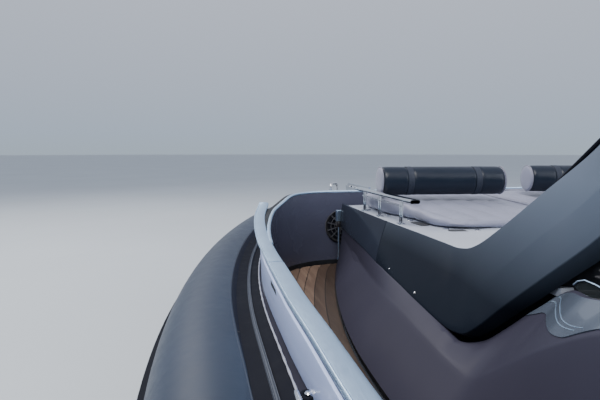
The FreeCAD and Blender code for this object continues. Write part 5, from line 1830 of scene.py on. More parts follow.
# bolsters: stuffed rolls with pale end caps, piped, and two straps each
BOLSTERS = [(np.array([1.056, -5.144, 1.981]), np.array([0.150, -5.040, 1.981])), (np.array([-0.185, -5.200, 1.981]), np.array([-1.042, -5.018, 1.981]))]
for s, side in ((1, "port"), (-1, "starboard")):
    a, b = BOLSTERS[0 if s > 0 else 1]
    ax = unit(b - a)
    L = float(np.linalg.norm(b - a))
    a2, b2 = a + ax * 0.006, b - ax * 0.006
    vf = lathe([(0, 0.085), (0.012, 0.099), (0.03, 0.1025), (L - 0.042, 0.1025), (L - 0.024, 0.099), (L - 0.012, 0.085)], a2, ax, 40)

    def roll_shape(c, n, a=a, ax=ax, L=L):
        h = (c - a) @ ax
        r = c - a - np.outer(h, ax)
        R = np.linalg.norm(r, axis=1, keepdims=True)
        u = r / np.maximum(R, 1e-9)
        side_ = np.clip((R[:, 0] - 0.090) / 0.008, 0, 1)
        k = np.zeros(len(c))
        for q in (0.212, L - 0.205):
            k += 0.0075 * np.exp(-((h - q) / 0.026) ** 4)
        ang = np.arctan2(r[:, 2], r @ unit(np.cross(ax, (0, 0, 1.0))))
        wr = 0.0016 * np.sin(ang * 5 + h * 17) * np.exp(-np.minimum(np.abs(h - 0.212), np.abs(h - L + 0.205)) / 0.06)
        c = c - u * ((k - wr) * side_)[:, None]
        return c

    rollob = stuffed("bolster_" + side, vf, M["dark_upholstery"], 0.0145, 0.008, 0.0, 1,
                     replaces=("bolsters",) if s > 0 else (), shape=roll_shape)
    caps, pipes, straps = [], [], []
    for o, d in ((a, -ax), (b, ax)):
        caps.append(lathe([(-0.020, 0.040), (-0.0125, 0.091), (-0.009, 0.0955), (-0.004, 0.0945), (-0.0005, 0.085), (0.0020, 0.058), (0.0030, 0.012), (0.0031, 0.0)], o, d, 48))
        ringp = []
        e1 = unit(np.cross(ax, (0, 0, 1.0)))
        e2 = np.cross(ax, e1)
        for t in np.linspace(0, 2 * math.pi, 56, endpoint=False):
            ringp.append(o - d * 0.0085 + (e1 * math.cos(t) + e2 * math.sin(t)) * 0.0995)
        pipes.append(tubevf(ringp, 0.0036, 8, closed=True))
    for q in (0.212, L - 0.205):
        e1 = unit(np.cross(ax, (0, 0, 1.0)))
        e2 = np.cross(ax, e1)
        rows = []
        for dh, rr in ((-0.022, 0.0985), (-0.0205, 0.1022), (-0.006, 0.1030), (0.0, 0.1012), (0.006, 0.1030), (0.0205, 0.1022), (0.022, 0.0985), (0.0, 0.0965)):
            rows.append([a + ax * (q + dh) + (e1 * math.cos(t) + e2 * math.sin(t)) * rr for t in np.linspace(0, 2 * math.pi, 64, endpoint=False)])
        straps.append(grid(rows, close_u=True, close_v=True))
    cap_ob = make("bolster_caps_" + side, *merge(*caps), M["pale_upholstery"], "pale_upholstery", sharp=60)
    make("bolster_piping_" + side, *merge(*pipes), M["piping"], "pale_upholstery", sharp=60)
    make("bolster_straps_" + side, *merge(*straps), M["strap"], "dark_upholstery", sharp=40)

# side rails of the sunpad: flat oval tube on paired posts, open at its after end
def oval(cx, cz, w, h, n=20):
    pts = []
    r = h / 2
    for t in np.linspace(0, 2 * math.pi, n, endpoint=False):
        c, s_ = math.cos(t), math.sin(t)
        pts.append((cx + (w / 2 - r) * (1 if c > 0 else -1) * min(1, abs(c) * 8) + r * c, cz + r * s_))
    return pts


rows = []
XR, ZR = 1.105, 1.905
for y, k in ((-5.455, 0.20), (-5.452, 0.55), (-5.444, 0.80), (-5.430, 0.95), (-5.412, 1.0), (-5.0, 1.0), (-4.6, 1.0), (-4.456, 1.0)):
    rows.append([(x, y, z) for x, z in oval(XR, ZR, 0.062 * k if k < 1 else 0.062, 0.024 * k if k < 1 else 0.024)])
inner = [[(x, y, z) for x, z in oval(XR, ZR, 0.056, 0.018)] for y in (-4.456, -4.54)]
outer = grid(rows, close_u=True)
front_cap = [tuple(range(19, -1, -1))]
lip_ = grid([rows[-1], inner[0], inner[1]], close_u=True)
# near-black disc inside the open end: painted shade in the bore
end_ = ([tuple(p) for p in inner[1]], [tuple(range(20))])
make("sunpad_rail_tubes", *twin(merge((outer[0], outer[1] + front_cap), lip_)), M["polished_steel"], "polished_steel", sharp=50,
     replaces=("sunpad_rails",))
make("sunpad_rail_bores", *twin(end_), M["black_and_painted_shade"], "black_plastic", sharp=50)
parts = []
for y in (-5.29, -4.99, -4.64):
    for dy in (-0.014, 0.014):
        parts.append(tubevf([(XR, y + dy, 1.752), (XR, y + dy, 1.80), (XR, y + dy, 1.892)], 0.0062, 12))
    parts.append(planvf([(XR + u, y + w) for u, w in closed_round([(-0.022, -0.032), (0.022, -0.032), (0.022, 0.032), (-0.022, 0.032)], 0.012, 4)], 1.7475, 1.7535))
bar = [(XR - 0.001, y, 1.860) for y in np.linspace(-5.34, -4.62, 9)]
parts.append(tubevf(bar, 0.0055, 12))
make("sunpad_rail_posts", *twin(merge(*parts)), M["polished_steel"], "polished_steel", sharp=45)

# speakers in the bow wall
parts, rings, cones, dots = [], [], [], []
c = np.array([1.100, -5.886, 1.537])
ax = np.array([0, 1.0, 0])
disc = lathe([(-0.012, 0.146), (0.0015, 0.146), (0.0048, 0.1435), (0.0058, 0.138), (0.0040, 0.1335), (-0.002, 0.1325), (-0.008, 0.120), (-0.012, 0.06)], c, ax, 64)
rings.append(disc)
cone = lathe([(-0.014, 0.124), (-0.006, 0.121), (-0.0025, 0.114), (-0.004, 0.106), (-0.0085, 0.098), (-0.0115, 0.060), (-0.0118, 0.040), (-0.0070, 0.034), (-0.0035, 0.022), (-0.0020, 0.0)], c, ax, 48)
cones.append(cone)
e1, e2 = np.array([1.0, 0, 0]), np.array([0, 0, 1.0])
spokes = []
for k in range(12):
    t = math.radians(15 + 30 * k)
    u = e1 * math.cos(t) + e2 * math.sin(t)
    w = -e1 * math.sin(t) + e2 * math.cos(t)
    q = [c + ax * 0.0005 + u * r_ + w * h_ for r_, h_ in ((0.030, -0.0035), (0.133, -0.0055), (0.133, 0.0055), (0.030, 0.0035))]
    spokes.append(prismvf(q, ax * 0.0030))
for r_ in (0.032, 0.064, 0.098):
    loop = [c + ax * 0.0018 + (e1 * math.cos(t) + e2 * math.sin(t)) * r_ for t in np.linspace(0, 2 * math.pi, 48, endpoint=False)]
    spokes.append(tubevf(loop, 0.0030, 8, closed=True))
spokes.append(lathe([(-0.001, 0.030), (0.0035, 0.029), (0.0048, 0.022), (0.005, 0.0)], c, ax, 32))
for k in range(4):
    t = math.radians(45 + 90 * k)
    q = c + (e1 * math.cos(t) + e2 * math.sin(t)) * 0.1405
    dots.append(lathe([(0.004, 0.0042), (0.0062, 0.0040), (0.0066, 0.002), (0.0066, 0.0)], q, ax, 10))
make("speaker_rims", *twin(merge(*rings)), M["black_plastic"], "black_plastic", sharp=35, replaces=("speakers",))
make("speaker_grilles", *twin(merge(*spokes)), M["speaker_grey"], "black_plastic", bevel=0.0012)
make("speaker_cones", *twin(merge(*cones)), M["black_rubber"], "black_plastic", sharp=35)
make("speaker_screws", *twin(merge(*dots)), M["polished_steel"], "polished_steel", sharp=40)

# stowage latch and stay on each front corner of the deckhouse
parts, knobs = [], []
parts.append(boxvf(1.130, 1.188, -5.776, -5.738, 1.602, 1.696))
parts.append(boxvf(1.098, 1.136, -5.768, -5.715, 1.624, 1.676))
parts.append(tubevf([(1.166, -5.757, 1.556), (1.166, -5.757, 1.42), (1.166, -5.757, 1.284)], 0.0068, 12))
parts.append(boxvf(1.098, 1.178, -5.766, -5.715, 1.272, 1.286))
knobs.append(lathe([(0, 0.0), (0, 0.017), (0.006, 0.020), (0.040, 0.020), (0.046, 0.016), (0.046, 0.0)], (1.166, -5.757, 1.555), (0, 0, 1), 20))
make("corner_latches", *twin(merge(*parts)), M["satin_alloy"], "polished_steel", bevel=0.004)
make("corner_latch_knobs", *twin(merge(*knobs)), M["black_plastic"], "black_plastic", sharp=35)
make("latch_rollers", *twin(lathe([(0, 0.020), (0.004, 0.026), (0.026, 0.026), (0.030, 0.020)], (1.110, -5.742, 1.612), (1, 0, 0), 24)), M["black_rubber"],
     "black_rubber", sharp=35)
# screws along the gloss panels' lower edge
dots = []
for y in (-5.25, -4.95, -4.35, -3.98):
    p = np.array([float(lip_x(y)), float(lip_z(y))])
    q = np.array([1.136, 1.738])
    dd = unit(q - p)
    nn = np.array([dd[1], -dd[0]])
    nn = nn if nn[0] > 0 else -nn
    at = p + dd * 0.022 + nn * 0.0035
    dots.append(lathe([(0, 0.0055), (0.0022, 0.0050), (0.0028, 0.0)], (at[0], y, at[1]), (nn[0], 0, nn[1]), 12))
make("panel_screws", *twin(merge(*dots)), M["polished_steel"], "polished_steel", sharp=40)

# edge of tinted glass that comes down behind each pillar, with its light rim
gl = [(-3.165, 1.797), (-3.150, 1.812), (-3.124, 1.822), (-3.090, 1.820), (-2.96, 1.800), (-2.96, 1.775), (-3.145, 1.780)]
make("quarter_glass", *twin(prismvf([(1.212, y, z) for y, z in gl], (-0.006, 0, 0))), M["tinted_glass"], "tinted_glass", bevel=0.0012)
rim = [(1.2135, y, z + 0.0015) for y, z in gl[:5]]
make("quarter_glass_rim", *twin(tubevf(rim, 0.0024, 8)), M["satin_alloy"], "satin_alloy", sharp=40)
# deck fitting beside the cleat: a round black socket with a steel pin
parts = lathe([(-0.004, 0.030), (0.004, 0.030), (0.008, 0.026), (0.007, 0.018), (0.002, 0.016), (0.002, 0.0)], (1.984, -3.362, 1.4295), (0, 0, 1), 28)
make("fender_sockets", *twin(parts), M["black_rubber"], "black_rubber", sharp=30)
parts = lathe([(-0.004, 0.0125), (0.006, 0.0125), (0.0095, 0.009), (0.010, 0.0)], (1.984, -3.362, 1.4330), (0, 0, 1), 20)
make("fender_pins", *twin(parts), M["polished_steel"], "polished_steel", sharp=30)


# ---------------------------------------------------------------- windscreen and side glass
finish_node("windscreen", "tinted_glass")
finish_node("side_glass", "tinted_glass")
sy = lambda z: -3.800 + (z - 1.790) * 1.400 / 1.360
sw = lambda z: 1.030 + (z - 1.790) * (0.860 - 1.030) / 1.350
nsc = unit((0, -1.360, 1.400))


def on_screen(u, z, lift=0.0):
    return np.array([u * sw(z), sy(z), z]) + nsc * lift


def screen_strip(path, w, lift=0.0015, thick=0.0022):
    """Flat band on the outside of the windscreen along (u, z) points, offset towards the middle by w."""
    rows = []
    for u, z in path:
        a = on_screen(u, z, lift)
        c = on_screen(0.0, 2.46, lift)
        d = c - a
        d[0] = d[0] if abs(u) > 0.98 else 0.0
        if abs(u) > 0.98 and 1.80 < z < 3.12:
            d[1] = d[2] = 0.0
        d = unit(d)
        rows.append([a, a + d * w, a + d * w + nsc * thick, a + nsc * thick])
    return grid(rows, close_u=True)


parts = []
for zz, w in ((1.800, 0.075), (3.128, 0.060)):
    rows = []
    for u in np.linspace(-0.99, 0.99, 24):
        s_ = 1 if zz < 2.4 else -1
        a, b = on_screen(u, zz, 0.0065), on_screen(u, zz + s_ * w, 0.0065)
        rows.append([a, b, b + nsc * 0.0016, a + nsc * 0.0016])
    parts.append(capped(rows))
for s in (1, -1):
    rows = []
    for z in np.linspace(1.80, 3.128, 20):
        a = on_screen(s * 0.99, z, 0.0065)
        b = a + np.array([-s * 0.055, 0, 0])
        rows.append([a, b, b + nsc * 0.0016, a + nsc * 0.0016])
    parts.append(capped(rows))
make("windscreen_border", *merge(*parts), M["screen_frit"], "black_plastic", sharp=40)
rim = []
for u, z in [(-1, 1.79), (-0.5, 1.79), (0, 1.79), (0.5, 1.79), (1, 1.79), (1, 2.2), (1, 2.7), (1, 3.135), (0.5, 3.138), (0, 3.138), (-0.5, 3.138), (-1, 3.135), (-1, 2.7), (-1, 2.2)]:
    rim.append(on_screen(u, z, 0.0))
make("windscreen_gasket", *tubevf(rim, 0.0085, 8, closed=True), M["black_rubber"], "black_rubber", sharp=50)
parts, blades_ = [], []
for x0, dx in ((0.62, -0.52), (-0.14, -0.52)):
    z0 = 1.835
    a = np.array([x0, sy(z0), z0]) + nsc * 0.012
    b = np.array([x0 + dx, sy(1.99), 1.99]) + nsc * 0.026
    parts.append(lathe([(0, 0.030), (0.016, 0.028), (0.024, 0.018), (0.026, 0.0)], a - nsc * 0.004, nsc, 24))
    parts.append(tubevf([a + nsc * 0.018, (a * 2 + b) / 3 + nsc * 0.012, b], [0.0075, 0.006, 0.0045], 8))
    c0 = np.array([x0 + dx * 0.30, sy(1.895), 1.895]) + nsc * 0.013
    c1 = np.array([x0 + dx * 1.32, sy(2.055), 2.055]) + nsc * 0.013
    rows = []
    side = unit(np.cross(c1 - c0, nsc))
    for t in np.linspace(0, 1, 8):
        q = c0 + (c1 - c0) * t
        h = 0.010 + 0.004 * math.sin(math.pi * t)
        rows.append([q - side * 0.004 - nsc * 0.006, q + side * 0.004 - nsc * 0.006, q + side * 0.008 + nsc * h * 0.4, q + nsc * h, q - side * 0.008 + nsc * h * 0.4])
    blades_.append(capped(rows))
make("wiper_arms", *merge(*parts), M["black_plastic"], "black_plastic", sharp=35)
make("wiper_blades", *merge(*blades_), M["black_rubber"], "black_rubber", sharp=35)
SG = [(-2.96, 1.945), (-2.46, 1.990), (-0.70, 1.955), (-0.64, 3.140), (-2.02, 3.140)]
gx = lambda z: 1.215 - (z - 1.920) * 0.19 + 0.001
loop = []
for i, (a, b) in enumerate(zip(SG, SG[1:] + SG[:1])):
    a, b = np.array(a), np.array(b)
    n = max(2, int(np.linalg.norm(b - a) / 0.12))
    for k in range(n):
        q = a + (b - a) * k / n
        loop.append((gx(q[1]) - 0.003, q[0], q[1]))
make("side_glass_gaskets", *twin(tubevf(loop, 0.0095, 8, closed=True)), M["black_rubber"], "black_rubber", sharp=50)
rows = []
for z in np.linspace(1.965, 3.135, 14):
    yc = -1.55
    rows.append([(gx(z) + 0.004, yc - 0.012, z), (gx(z) + 0.004, yc + 0.012, z), (gx(z) - 0.014, yc + 0.012, z), (gx(z) - 0.014, yc - 0.012, z)])
make("side_glass_posts", *twin(capped(rows)), M["satin_alloy"], "satin_alloy", bevel=0.003)

# ---------------------------------------------------------------- hardtop
HT = both([(0.0, -2.778), (0.82, -2.718), (1.118, -2.42), (1.238, 1.05), (1.058, 1.418), (0.0, 1.458)])
base = closed_round(HT, 0.16, 6)


def roof_ring(d):
    """Outline of the roof moved in by d; well inside the corners it simply shrinks."""
    if d <= 0.10:
        return [tuple(q) for q in inset(base, d)]
    kx, ky = 1 - (d - 0.10) / 1.15, 1 - (d - 0.10) / 2.05
    return [(x * kx, -0.66 + (y + 0.66) * ky) for x, y in inset(base, 0.10)]


rows = []
for d, z in ((0.30, 3.168), (0.285, 3.157), (0.255, 3.1525), (0.035, 3.1515), (0.012, 3.155), (0.002, 3.168), (0.0, 3.190), (0.006, 3.212), (0.022, 3.232), (0.055, 3.248),
             (0.12, 3.262), (0.20, 3.277), (0.32, 3.288), (0.50, 3.2925)):
    rows.append([(x, y, z) for x, y in roof_ring(d)])
make("hardtop_shell", *capped(rows), M["hardtop_paint"], "pale_deck", sharp=35, replaces=("hardtop",))
# sliding glass panel with its frame, mount pad for the radar, and a liner with lamps below
op = closed_round([(-0.52, -2.05), (0.52, -2.05), (0.52, -0.62), (-0.52, -0.62)], 0.08, 6)
ring_rows = [[(x, y, 3.286) for x, y in inset(op, -0.035)], [(x, y, 3.2985) for x, y in inset(op, -0.030)], [(x, y, 3.2995) for x, y in inset(op, -0.004)],
             [(x, y, 3.2930) for x, y in op]]
make("roof_hatch_frame", *grid(ring_rows, close_u=True), M["black_rubber"], "black_rubber", sharp=30)
rows = [[(x, y, 3.2900) for x, y in op], [(x, y, 3.2965) for x, y in inset(op, 0.004)], [(x, y, 3.2975) for x, y in inset(op, 0.03)]]
make("roof_hatch_glass", *capped(rows), M["dark_screen"], "tinted_glass", sharp=30)
parts = [lathe([(0, 0.212), (0.008, 0.210), (0.017, 0.204), (0.0215, 0.196), (0.022, 0.0)], (0, 0.2, 3.2930), (0, 0, 1), 56)]
make("radar_plinth", *merge(*parts), M["hardtop_paint"], "pale_deck", sharp=35)
bolts = []
for k in range(6):
    t = math.radians(60 * k)
    bolts.append(lathe([(0, 0.0095), (0.0016, 0.0095), (0.0016, 0.0065), (0.0000, 0.0055), (-0.001, 0.0)], (0.165 * math.cos(t), 0.2 + 0.165 * math.sin(t), 3.3142), (0, 0, 1), 18))
make("radar_plinth_bolts", *merge(*bolts), M["polished_steel"], "polished_steel", sharp=35)
lin = closed_round(both([(0.0, -2.30), (0.72, -2.28), (0.83, -2.10), (0.90, 0.80), (0.78, 1.03), (0.0, 1.06)]), 0.10, 5)
rows = [[(x, y, 3.1695) for x, y in lin], [(x, y, 3.1600) for x, y in inset(lin, 0.004)], [(x, y, 3.1585) for x, y in inset(lin, 0.02)]]
make("headliner", *capped(rows), M["headliner"], "pale_upholstery", sharp=30)
rims_, glows = [], []
for x in (-0.5, 0.5):
    for y in (-1.7, -0.6, 0.5):
        rims_.append(lathe([(0, 0.040), (0.004, 0.0395), (0.0055, 0.036), (0.004, 0.032), (-0.001, 0.031)], (x, y, 3.159), (0, 0, -1), 28))
        glows.append(lathe([(0, 0.0315), (0.0028, 0.030), (0.0034, 0.0)], (x, y, 3.159), (0, 0, -1), 24))
make("cabin_lamp_rims", *merge(*rims_), M["polished_steel"], "polished_steel", sharp=35)
make("cabin_lamp_lenses", *merge(*glows), M["lens"], "tinted_glass", sharp=35)
parts = []
for s in (1, -1):
    pts = [(s * 1.02, -0.9, 3.152), (s * 1.02, -0.90, 3.118), (s * 1.02, -0.86, 3.100), (s * 1.02, -0.4, 3.098), (s * 1.02, 0.06, 3.100), (s * 1.02, 0.10, 3.118), (s * 1.02, 0.10, 3.152)]
    parts.append(tubevf([tuple(p) for p in rounded(pts, 0.02, 3)], 0.0125, 12))
make("overhead_grabs", *merge(*parts), M["polished_steel"], "polished_steel", sharp=45)
# curved struts that carry the hardtop's after end
rows = []
for t in np.linspace(0, 1, 22):
    a = np.array([1.440, 0.640, 1.780]) * (1 - t) + np.array([1.130, 0.160, 3.152]) * t
    b = np.array([1.440, 1.060, 1.730]) * (1 - t) + np.array([1.130, 0.760, 3.152]) * t
    bow = 0.035 * math.sin(math.pi * t)
    a = a + np.array([0, bow * 1.2, 0])
    b = b + np.array([0, -bow * 1.6, 0])
    x0, x1 = a[0] - 0.002, a[0] - 0.058
    e = 0.022
    sec = closed_round([(x0, a[1]), (x0, b[1]), (x1, b[1]), (x1, a[1])], e, 4)
    rows.append([(p[0], p[1], a[2] + (b[2] - a[2]) * (p[1] - a[1]) / (b[1] - a[1])) for p in sec])
make("hardtop_struts", *twin(capped(rows)), M["gloss_panel"], "gloss_panel", sharp=35, replaces=("hardtop_legs",))
# mast with its lamp
m_ = [(0, 0.149), (0.006, 0.149), (0.014, 0.140), (0.019, 0.120), (0.020, 0.045), (0.034, 0.034), (0.060, 0.0285), (0.500, 0.026), (0.588, 0.026)]
make("mast_pole", *lathe(m_, (0, 1.0, 3.2955), (0, 0, 1), 36), M["hardtop_paint"], "satin_alloy", sharp=35, replaces=("light_mast",))
make("mast_lamp", *lathe([(0, 0.030), (0.004, 0.0475), (0.012, 0.0478), (0.016, 0.042), (0.066, 0.042), (0.070, 0.0478), (0.080, 0.0475), (0.092, 0.030), (0.0995, 0.0)], (0, 1.0, 3.880), (0, 0, 1), 32),
     M["lens"], "tinted_glass", sharp=35)
rings = [lathe([(0, 0.0425), (0.002, 0.0455), (0.004, 0.0425)], (0, 1.0, 3.900 + 0.009 * k), (0, 0, 1), 32) for k in range(5)]
make("mast_lamp_ribs", *merge(*rings), M["black_plastic"], "black_plastic", sharp=35)

# ---------------------------------------------------------------- helm
dash = [(-3.236, 0.962), (-2.700, 0.962), (-2.640, 1.620), (-2.900, 1.850), (-3.236, 1.880)]
prof = closed_round(dash, [0.004, 0.02, 0.05, 0.05, 0.004], 6)
rows = []
for x, k in ((-1.059, 0.984), (-1.052, 0.995), (-1.040, 1.0), (0.162, 1.0), (0.174, 0.995), (0.1795, 0.984)):
    cy, cz = -2.95, 1.42
    rows.append([(x, -3.236 if y < -3.23 else cy + (y - cy) * k, max(0.962, cz + (z - cz) * k)) for y, z in prof])
make("helm_dash", *capped(rows), M["deckhouse_cockpit"], "deckhouse_satin", sharp=32, replaces=("helm_console",))
dn = unit((0, 0.230, 0.260))
du = unit((0, -0.260, 0.230))
d0 = np.array([0.0, -2.770, 1.735])


def on_dash(x, u, lift=0.0):
    return d0 + np.array([x, 0, 0]) + du * u + dn * lift


def dash_panel(x0, x1, u0, u1, r, lo_, hi_, n=4):
    o = closed_round([(x0, u0), (x1, u0), (x1, u1), (x0, u1)], r, n)
    i = inset(o, min(0.003, r * 0.5))
    return capped([[on_dash(x, u, lo_) for x, u in o], [on_dash(x, u, hi_ - 0.001) for x, u in o], [on_dash(x, u, hi_) for x, u in i]])


parts = [dash_panel(-0.985, -0.055, -0.150, 0.140, 0.030, -0.004, 0.005), dash_panel(-0.03, 0.15, -0.150, 0.140, 0.025, -0.004, 0.005)]
make("helm_fascia", *merge(*parts), M["fascia"], "black_plastic", sharp=32)
parts = [dash_panel(-0.965, -0.600, -0.105, 0.125, 0.012, 0.002, 0.0120), dash_panel(-0.520 + 0.05, -0.075, -0.105, 0.125, 0.012, 0.002, 0.0120)]
make("helm_screen_frames", *merge(*parts), M["black_plastic"], "black_plastic", sharp=32)
parts = [dash_panel(-0.950, -0.615, -0.092, 0.112, 0.004, 0.008, 0.0133), dash_panel(-0.455, -0.090, -0.092, 0.112, 0.004, 0.008, 0.0133)]
make("helm_screens", *merge(*parts), M["dark_screen"], "tinted_glass", sharp=32)
sw_, leds = [], []
for k in range(5):
    x = -0.945 + k * 0.066
    sw_.append(dash_panel(x, x + 0.048, -0.142, -0.118, 0.004, 0.003, 0.0095))
for k in range(5):
    x = -0.430 + k * 0.066
    sw_.append(dash_panel(x, x + 0.048, -0.142, -0.118, 0.004, 0.003, 0.0095))
for r_ in range(3):
    for k in range(2):
        sw_.append(dash_panel(-0.005 + k * 0.075, 0.050 + k * 0.075, 0.065 - r_ * 0.05, 0.100 - r_ * 0.05, 0.006, 0.003, 0.0100))
make("helm_switches", *merge(*sw_), M["black_rubber"], "black_rubber", sharp=32)
sh = [on_dash(x, -0.130, 0.0098) for x in np.linspace(-0.921, -0.657, 5)]
make("helm_switch_marks", *merge(*[lathe([(0, 0.0028), (0.0008, 0.0024), (0.001, 0.0)], p, dn, 10) for p in sh]), M["lens"], "tinted_glass", sharp=35)
# engine levers beside the wheel and a domed compass above
parts = [prismvf([on_dash(x, u, 0.004) for x, u in closed_round([(0.0, -0.135), (0.12, -0.135), (0.12, -0.055), (0.0, -0.055)], 0.02, 4)], dn * 0.022)]
make("lever_plinth", *merge(*parts), M["black_plastic"], "black_plastic", bevel=0.004)
parts = []
for x in (0.035, 0.085):
    a = on_dash(x, -0.100, 0.020)
    b = on_dash(x, -0.085, 0.105)
    parts.append(tubevf([a, (a + b) / 2, b], [0.0075, 0.0065, 0.0065], 12))
    parts.append(cylvf(b + np.array([-0.020, 0, 0]), b + np.array([0.020, 0, 0]), 0.0125, 20, edge=0.004))
make("engine_levers", *merge(*parts), M["polished_steel"], "polished_steel", sharp=40)
c_ = np.array([-0.53, -2.985, 1.858])
make("compass_base", *lathe([(0, 0.068), (0.010, 0.068), (0.022, 0.058), (0.024, 0.050)], c_, (0, 0, 1), 36), M["black_plastic"], "black_plastic", sharp=32)
make("compass_dome", *lathe([(0.020, 0.051), (0.036, 0.048), (0.050, 0.038), (0.060, 0.022), (0.064, 0.0)], c_, (0, 0, 1), 36), M["tinted_glass"], "tinted_glass", sharp=40)
rows = []
for x in np.linspace(-1.03, 0.15, 20):
    rows.append([(x, -2.905, 1.846), (x, -2.880, 1.862), (x, -2.915, 1.874), (x, -3.10, 1.884), (x, -3.10, 1.872)])
make("dash_eyebrow", *capped(rows), M["dark_upholstery"], "dark_upholstery", sharp=40)
# footrest and a locker door in the console's face
parts = [cylvf((-0.95, -2.655, 1.18), (-0.17, -2.655, 1.18), 0.014, 20, edge=0.004)]
for x in (-0.92, -0.56, -0.20):
    parts.append(cylvf((x, -2.695, 1.165), (x, -2.655, 1.18), 0.009, 14))
make("helm_footrest", *merge(*parts), M["polished_steel"], "polished_steel", sharp=40)
fy = lambda z: -2.700 + (z - 0.962) * 0.060 / 0.658 + 0.001
o = closed_round([(-0.06, 1.04), (0.145, 1.04), (0.145, 1.42), (-0.06, 1.42)], 0.02, 4)
i = inset(o, 0.003)
make("console_locker", *capped([[(x, fy(z) - 0.006, z) for x, z in o], [(x, fy(z) + 0.004, z) for x, z in o], [(x, fy(z) + 0.006, z) for x, z in i]]),
     M["deckhouse_satin"], "deckhouse_satin", sharp=32)
make("console_latch", *lathe([(0, 0.019), (0.004, 0.019), (0.007, 0.015), (0.005, 0.010), (0.004, 0.0)], (0.115, fy(1.23) + 0.004, 1.23), (0, 1, -0.08), 24), M["polished_steel"],
     "polished_steel", sharp=35)

# wheel: wrapped rim with a seam, three dished spokes and a hub
WC = np.array([-0.560, -2.590, 1.700])
wa = np.array([0, -math.cos(math.radians(25)), -math.sin(math.radians(25))])
w1 = np.array([1.0, 0, 0])
w2 = np.cross(wa, w1)
w2 = w2 if w2[2] > 0 else -w2
rows = []
for t in np.linspace(0, 2 * math.pi, 96, endpoint=False):
    cdir = w1 * math.cos(t) + w2 * math.sin(t)
    grip = 1.0 + 0.05 * math.cos(3 * (t - math.pi / 2))
    row = []
    for a in np.linspace(0, 2 * math.pi, 20, endpoint=False):
        rr = 0.0150 * grip * (1 - 0.07 * math.exp(-((a - math.pi) / 0.22) ** 2))
        row.append(WC + cdir * (0.190 + rr * math.cos(a)) + wa * (rr * math.sin(a)))
    rows.append(row)
make("wheel_rim", *grid(rows, close_u=True, close_v=True), M["dark_upholstery"], "dark_upholstery", body="wheel", sharp=60, replaces=("steering_wheel",))
st = []
for k in range(120):
    t = 2 * math.pi * k / 120
    cdir = w1 * math.cos(t) + w2 * math.sin(t)
    tdir = -w1 * math.sin(t) + w2 * math.cos(t)
    p = WC + cdir * (0.190 - 0.0146)
    st.append(tubevf([p - wa * 0.0026 - tdir * 0.0012, p - cdir * 0.0007, p + wa * 0.0026 + tdir * 0.0012], 0.0006, 5))
make("wheel_stitching", *merge(*st), M["piping"], "pale_upholstery", body="wheel", sharp=60)
sp = []
for a in (90, 210, 330):
    t = math.radians(a)
    cdir = w1 * math.cos(t) + w2 * math.sin(t)
    tdir = -w1 * math.sin(t) + w2 * math.cos(t)
    for off in (-0.014, 0.014):
        rows = []
        for r_, h_, w_ in ((0.030, 0.030, 0.0075), (0.070, 0.026, 0.0062), (0.120, 0.012, 0.0052), (0.160, 0.002, 0.0050), (0.184, 0.0, 0.0052)):
            c0 = WC + cdir * r_ + wa * h_ * 0.6 + tdir * (off * (1 - r_ / 0.26))
            rows.append([c0 + tdir * w_ + wa * 0.003, c0 + tdir * w_ - wa * 0.003, c0 - tdir * w_ - wa * 0.003, c0 - tdir * w_ + wa * 0.003])
        sp.append(capped(rows))
make("wheel_spokes", *merge(*sp), M["polished_steel"], "polished_steel", body="wheel", bevel=0.0012)
make("wheel_hub", *lathe([(-0.012, 0.0), (-0.010, 0.018), (-0.004, 0.034), (0.008, 0.042), (0.030, 0.044), (0.046, 0.040), (0.058, 0.032), (0.075, 0.026)], WC + wa * 0.004, wa, 40),
     M["black_plastic"], "black_plastic", body="wheel", sharp=32)
make("steering_boss", *lathe([(0, 0.050), (0.012, 0.046), (0.020, 0.040)], WC + wa * 0.107, -wa, 32), M["black_plastic"], "black_plastic", sharp=32)

# companionway door: framed panel with a dark inlay, lever handle and hinges
do = closed_round([(0.226, 0.976), (0.880, 0.976), (0.880, 1.694), (0.226, 1.694)], 0.03, 5)
di = inset(do, 0.004)
make("door_panel", *capped([[(x, -3.2310, z) for x, z in di], [(x, -3.2290, z) for x, z in do], [(x, -3.2035, z) for x, z in do], [(x, -3.2010, z) for x, z in di]]),
     M["deckhouse_satin"], "deckhouse_satin", body="door", sharp=32, replaces=("companionway_door",))
do2 = closed_round([(0.300, 1.300), (0.810, 1.300), (0.810, 1.620), (0.300, 1.620)], 0.04, 5)
make("door_window", *capped([[(x, -3.2020, z) for x, z in do2], [(x, -3.1992, z) for x, z in do2], [(x, -3.1984, z) for x, z in inset(do2, 0.003)]]),
     M["dark_screen"], "tinted_glass", body="door", sharp=32)
lou = [boxvf(0.34, 0.77, -3.2015, -3.1985, 1.06 + 0.030 * k, 1.075 + 0.030 * k) for k in range(5)]
make("door_louvres", *merge(*lou), M["black_plastic"], "black_plastic", body="door", bevel=0.0012)
parts = [lathe([(0, 0.022), (0.006, 0.022), (0.009, 0.018), (0.010, 0.009)], (0.290, -3.2012, 1.225), (0, 1, 0), 24),
         tubevf([(0.290, -3.195, 1.225), (0.290, -3.176, 1.225), (0.297, -3.170, 1.225), (0.380, -3.170, 1.225)], 0.0068, 10)]
make("door_handle", *merge(*parts), M["polished_steel"], "polished_steel", body="door", sharp=40)
parts = []
for z in (1.12, 1.55):
    parts.append(boxvf(0.835, 0.878, -3.2012, -3.1985, z - 0.03, z + 0.03))
    parts.append(cylvf((0.884, -3.2085, z - 0.035), (0.884, -3.2085, z + 0.035), 0.0065, 14, edge=0.002))
make("door_hinges", *merge(*parts), M["polished_steel"], "polished_steel", body="door", bevel=0.0012)

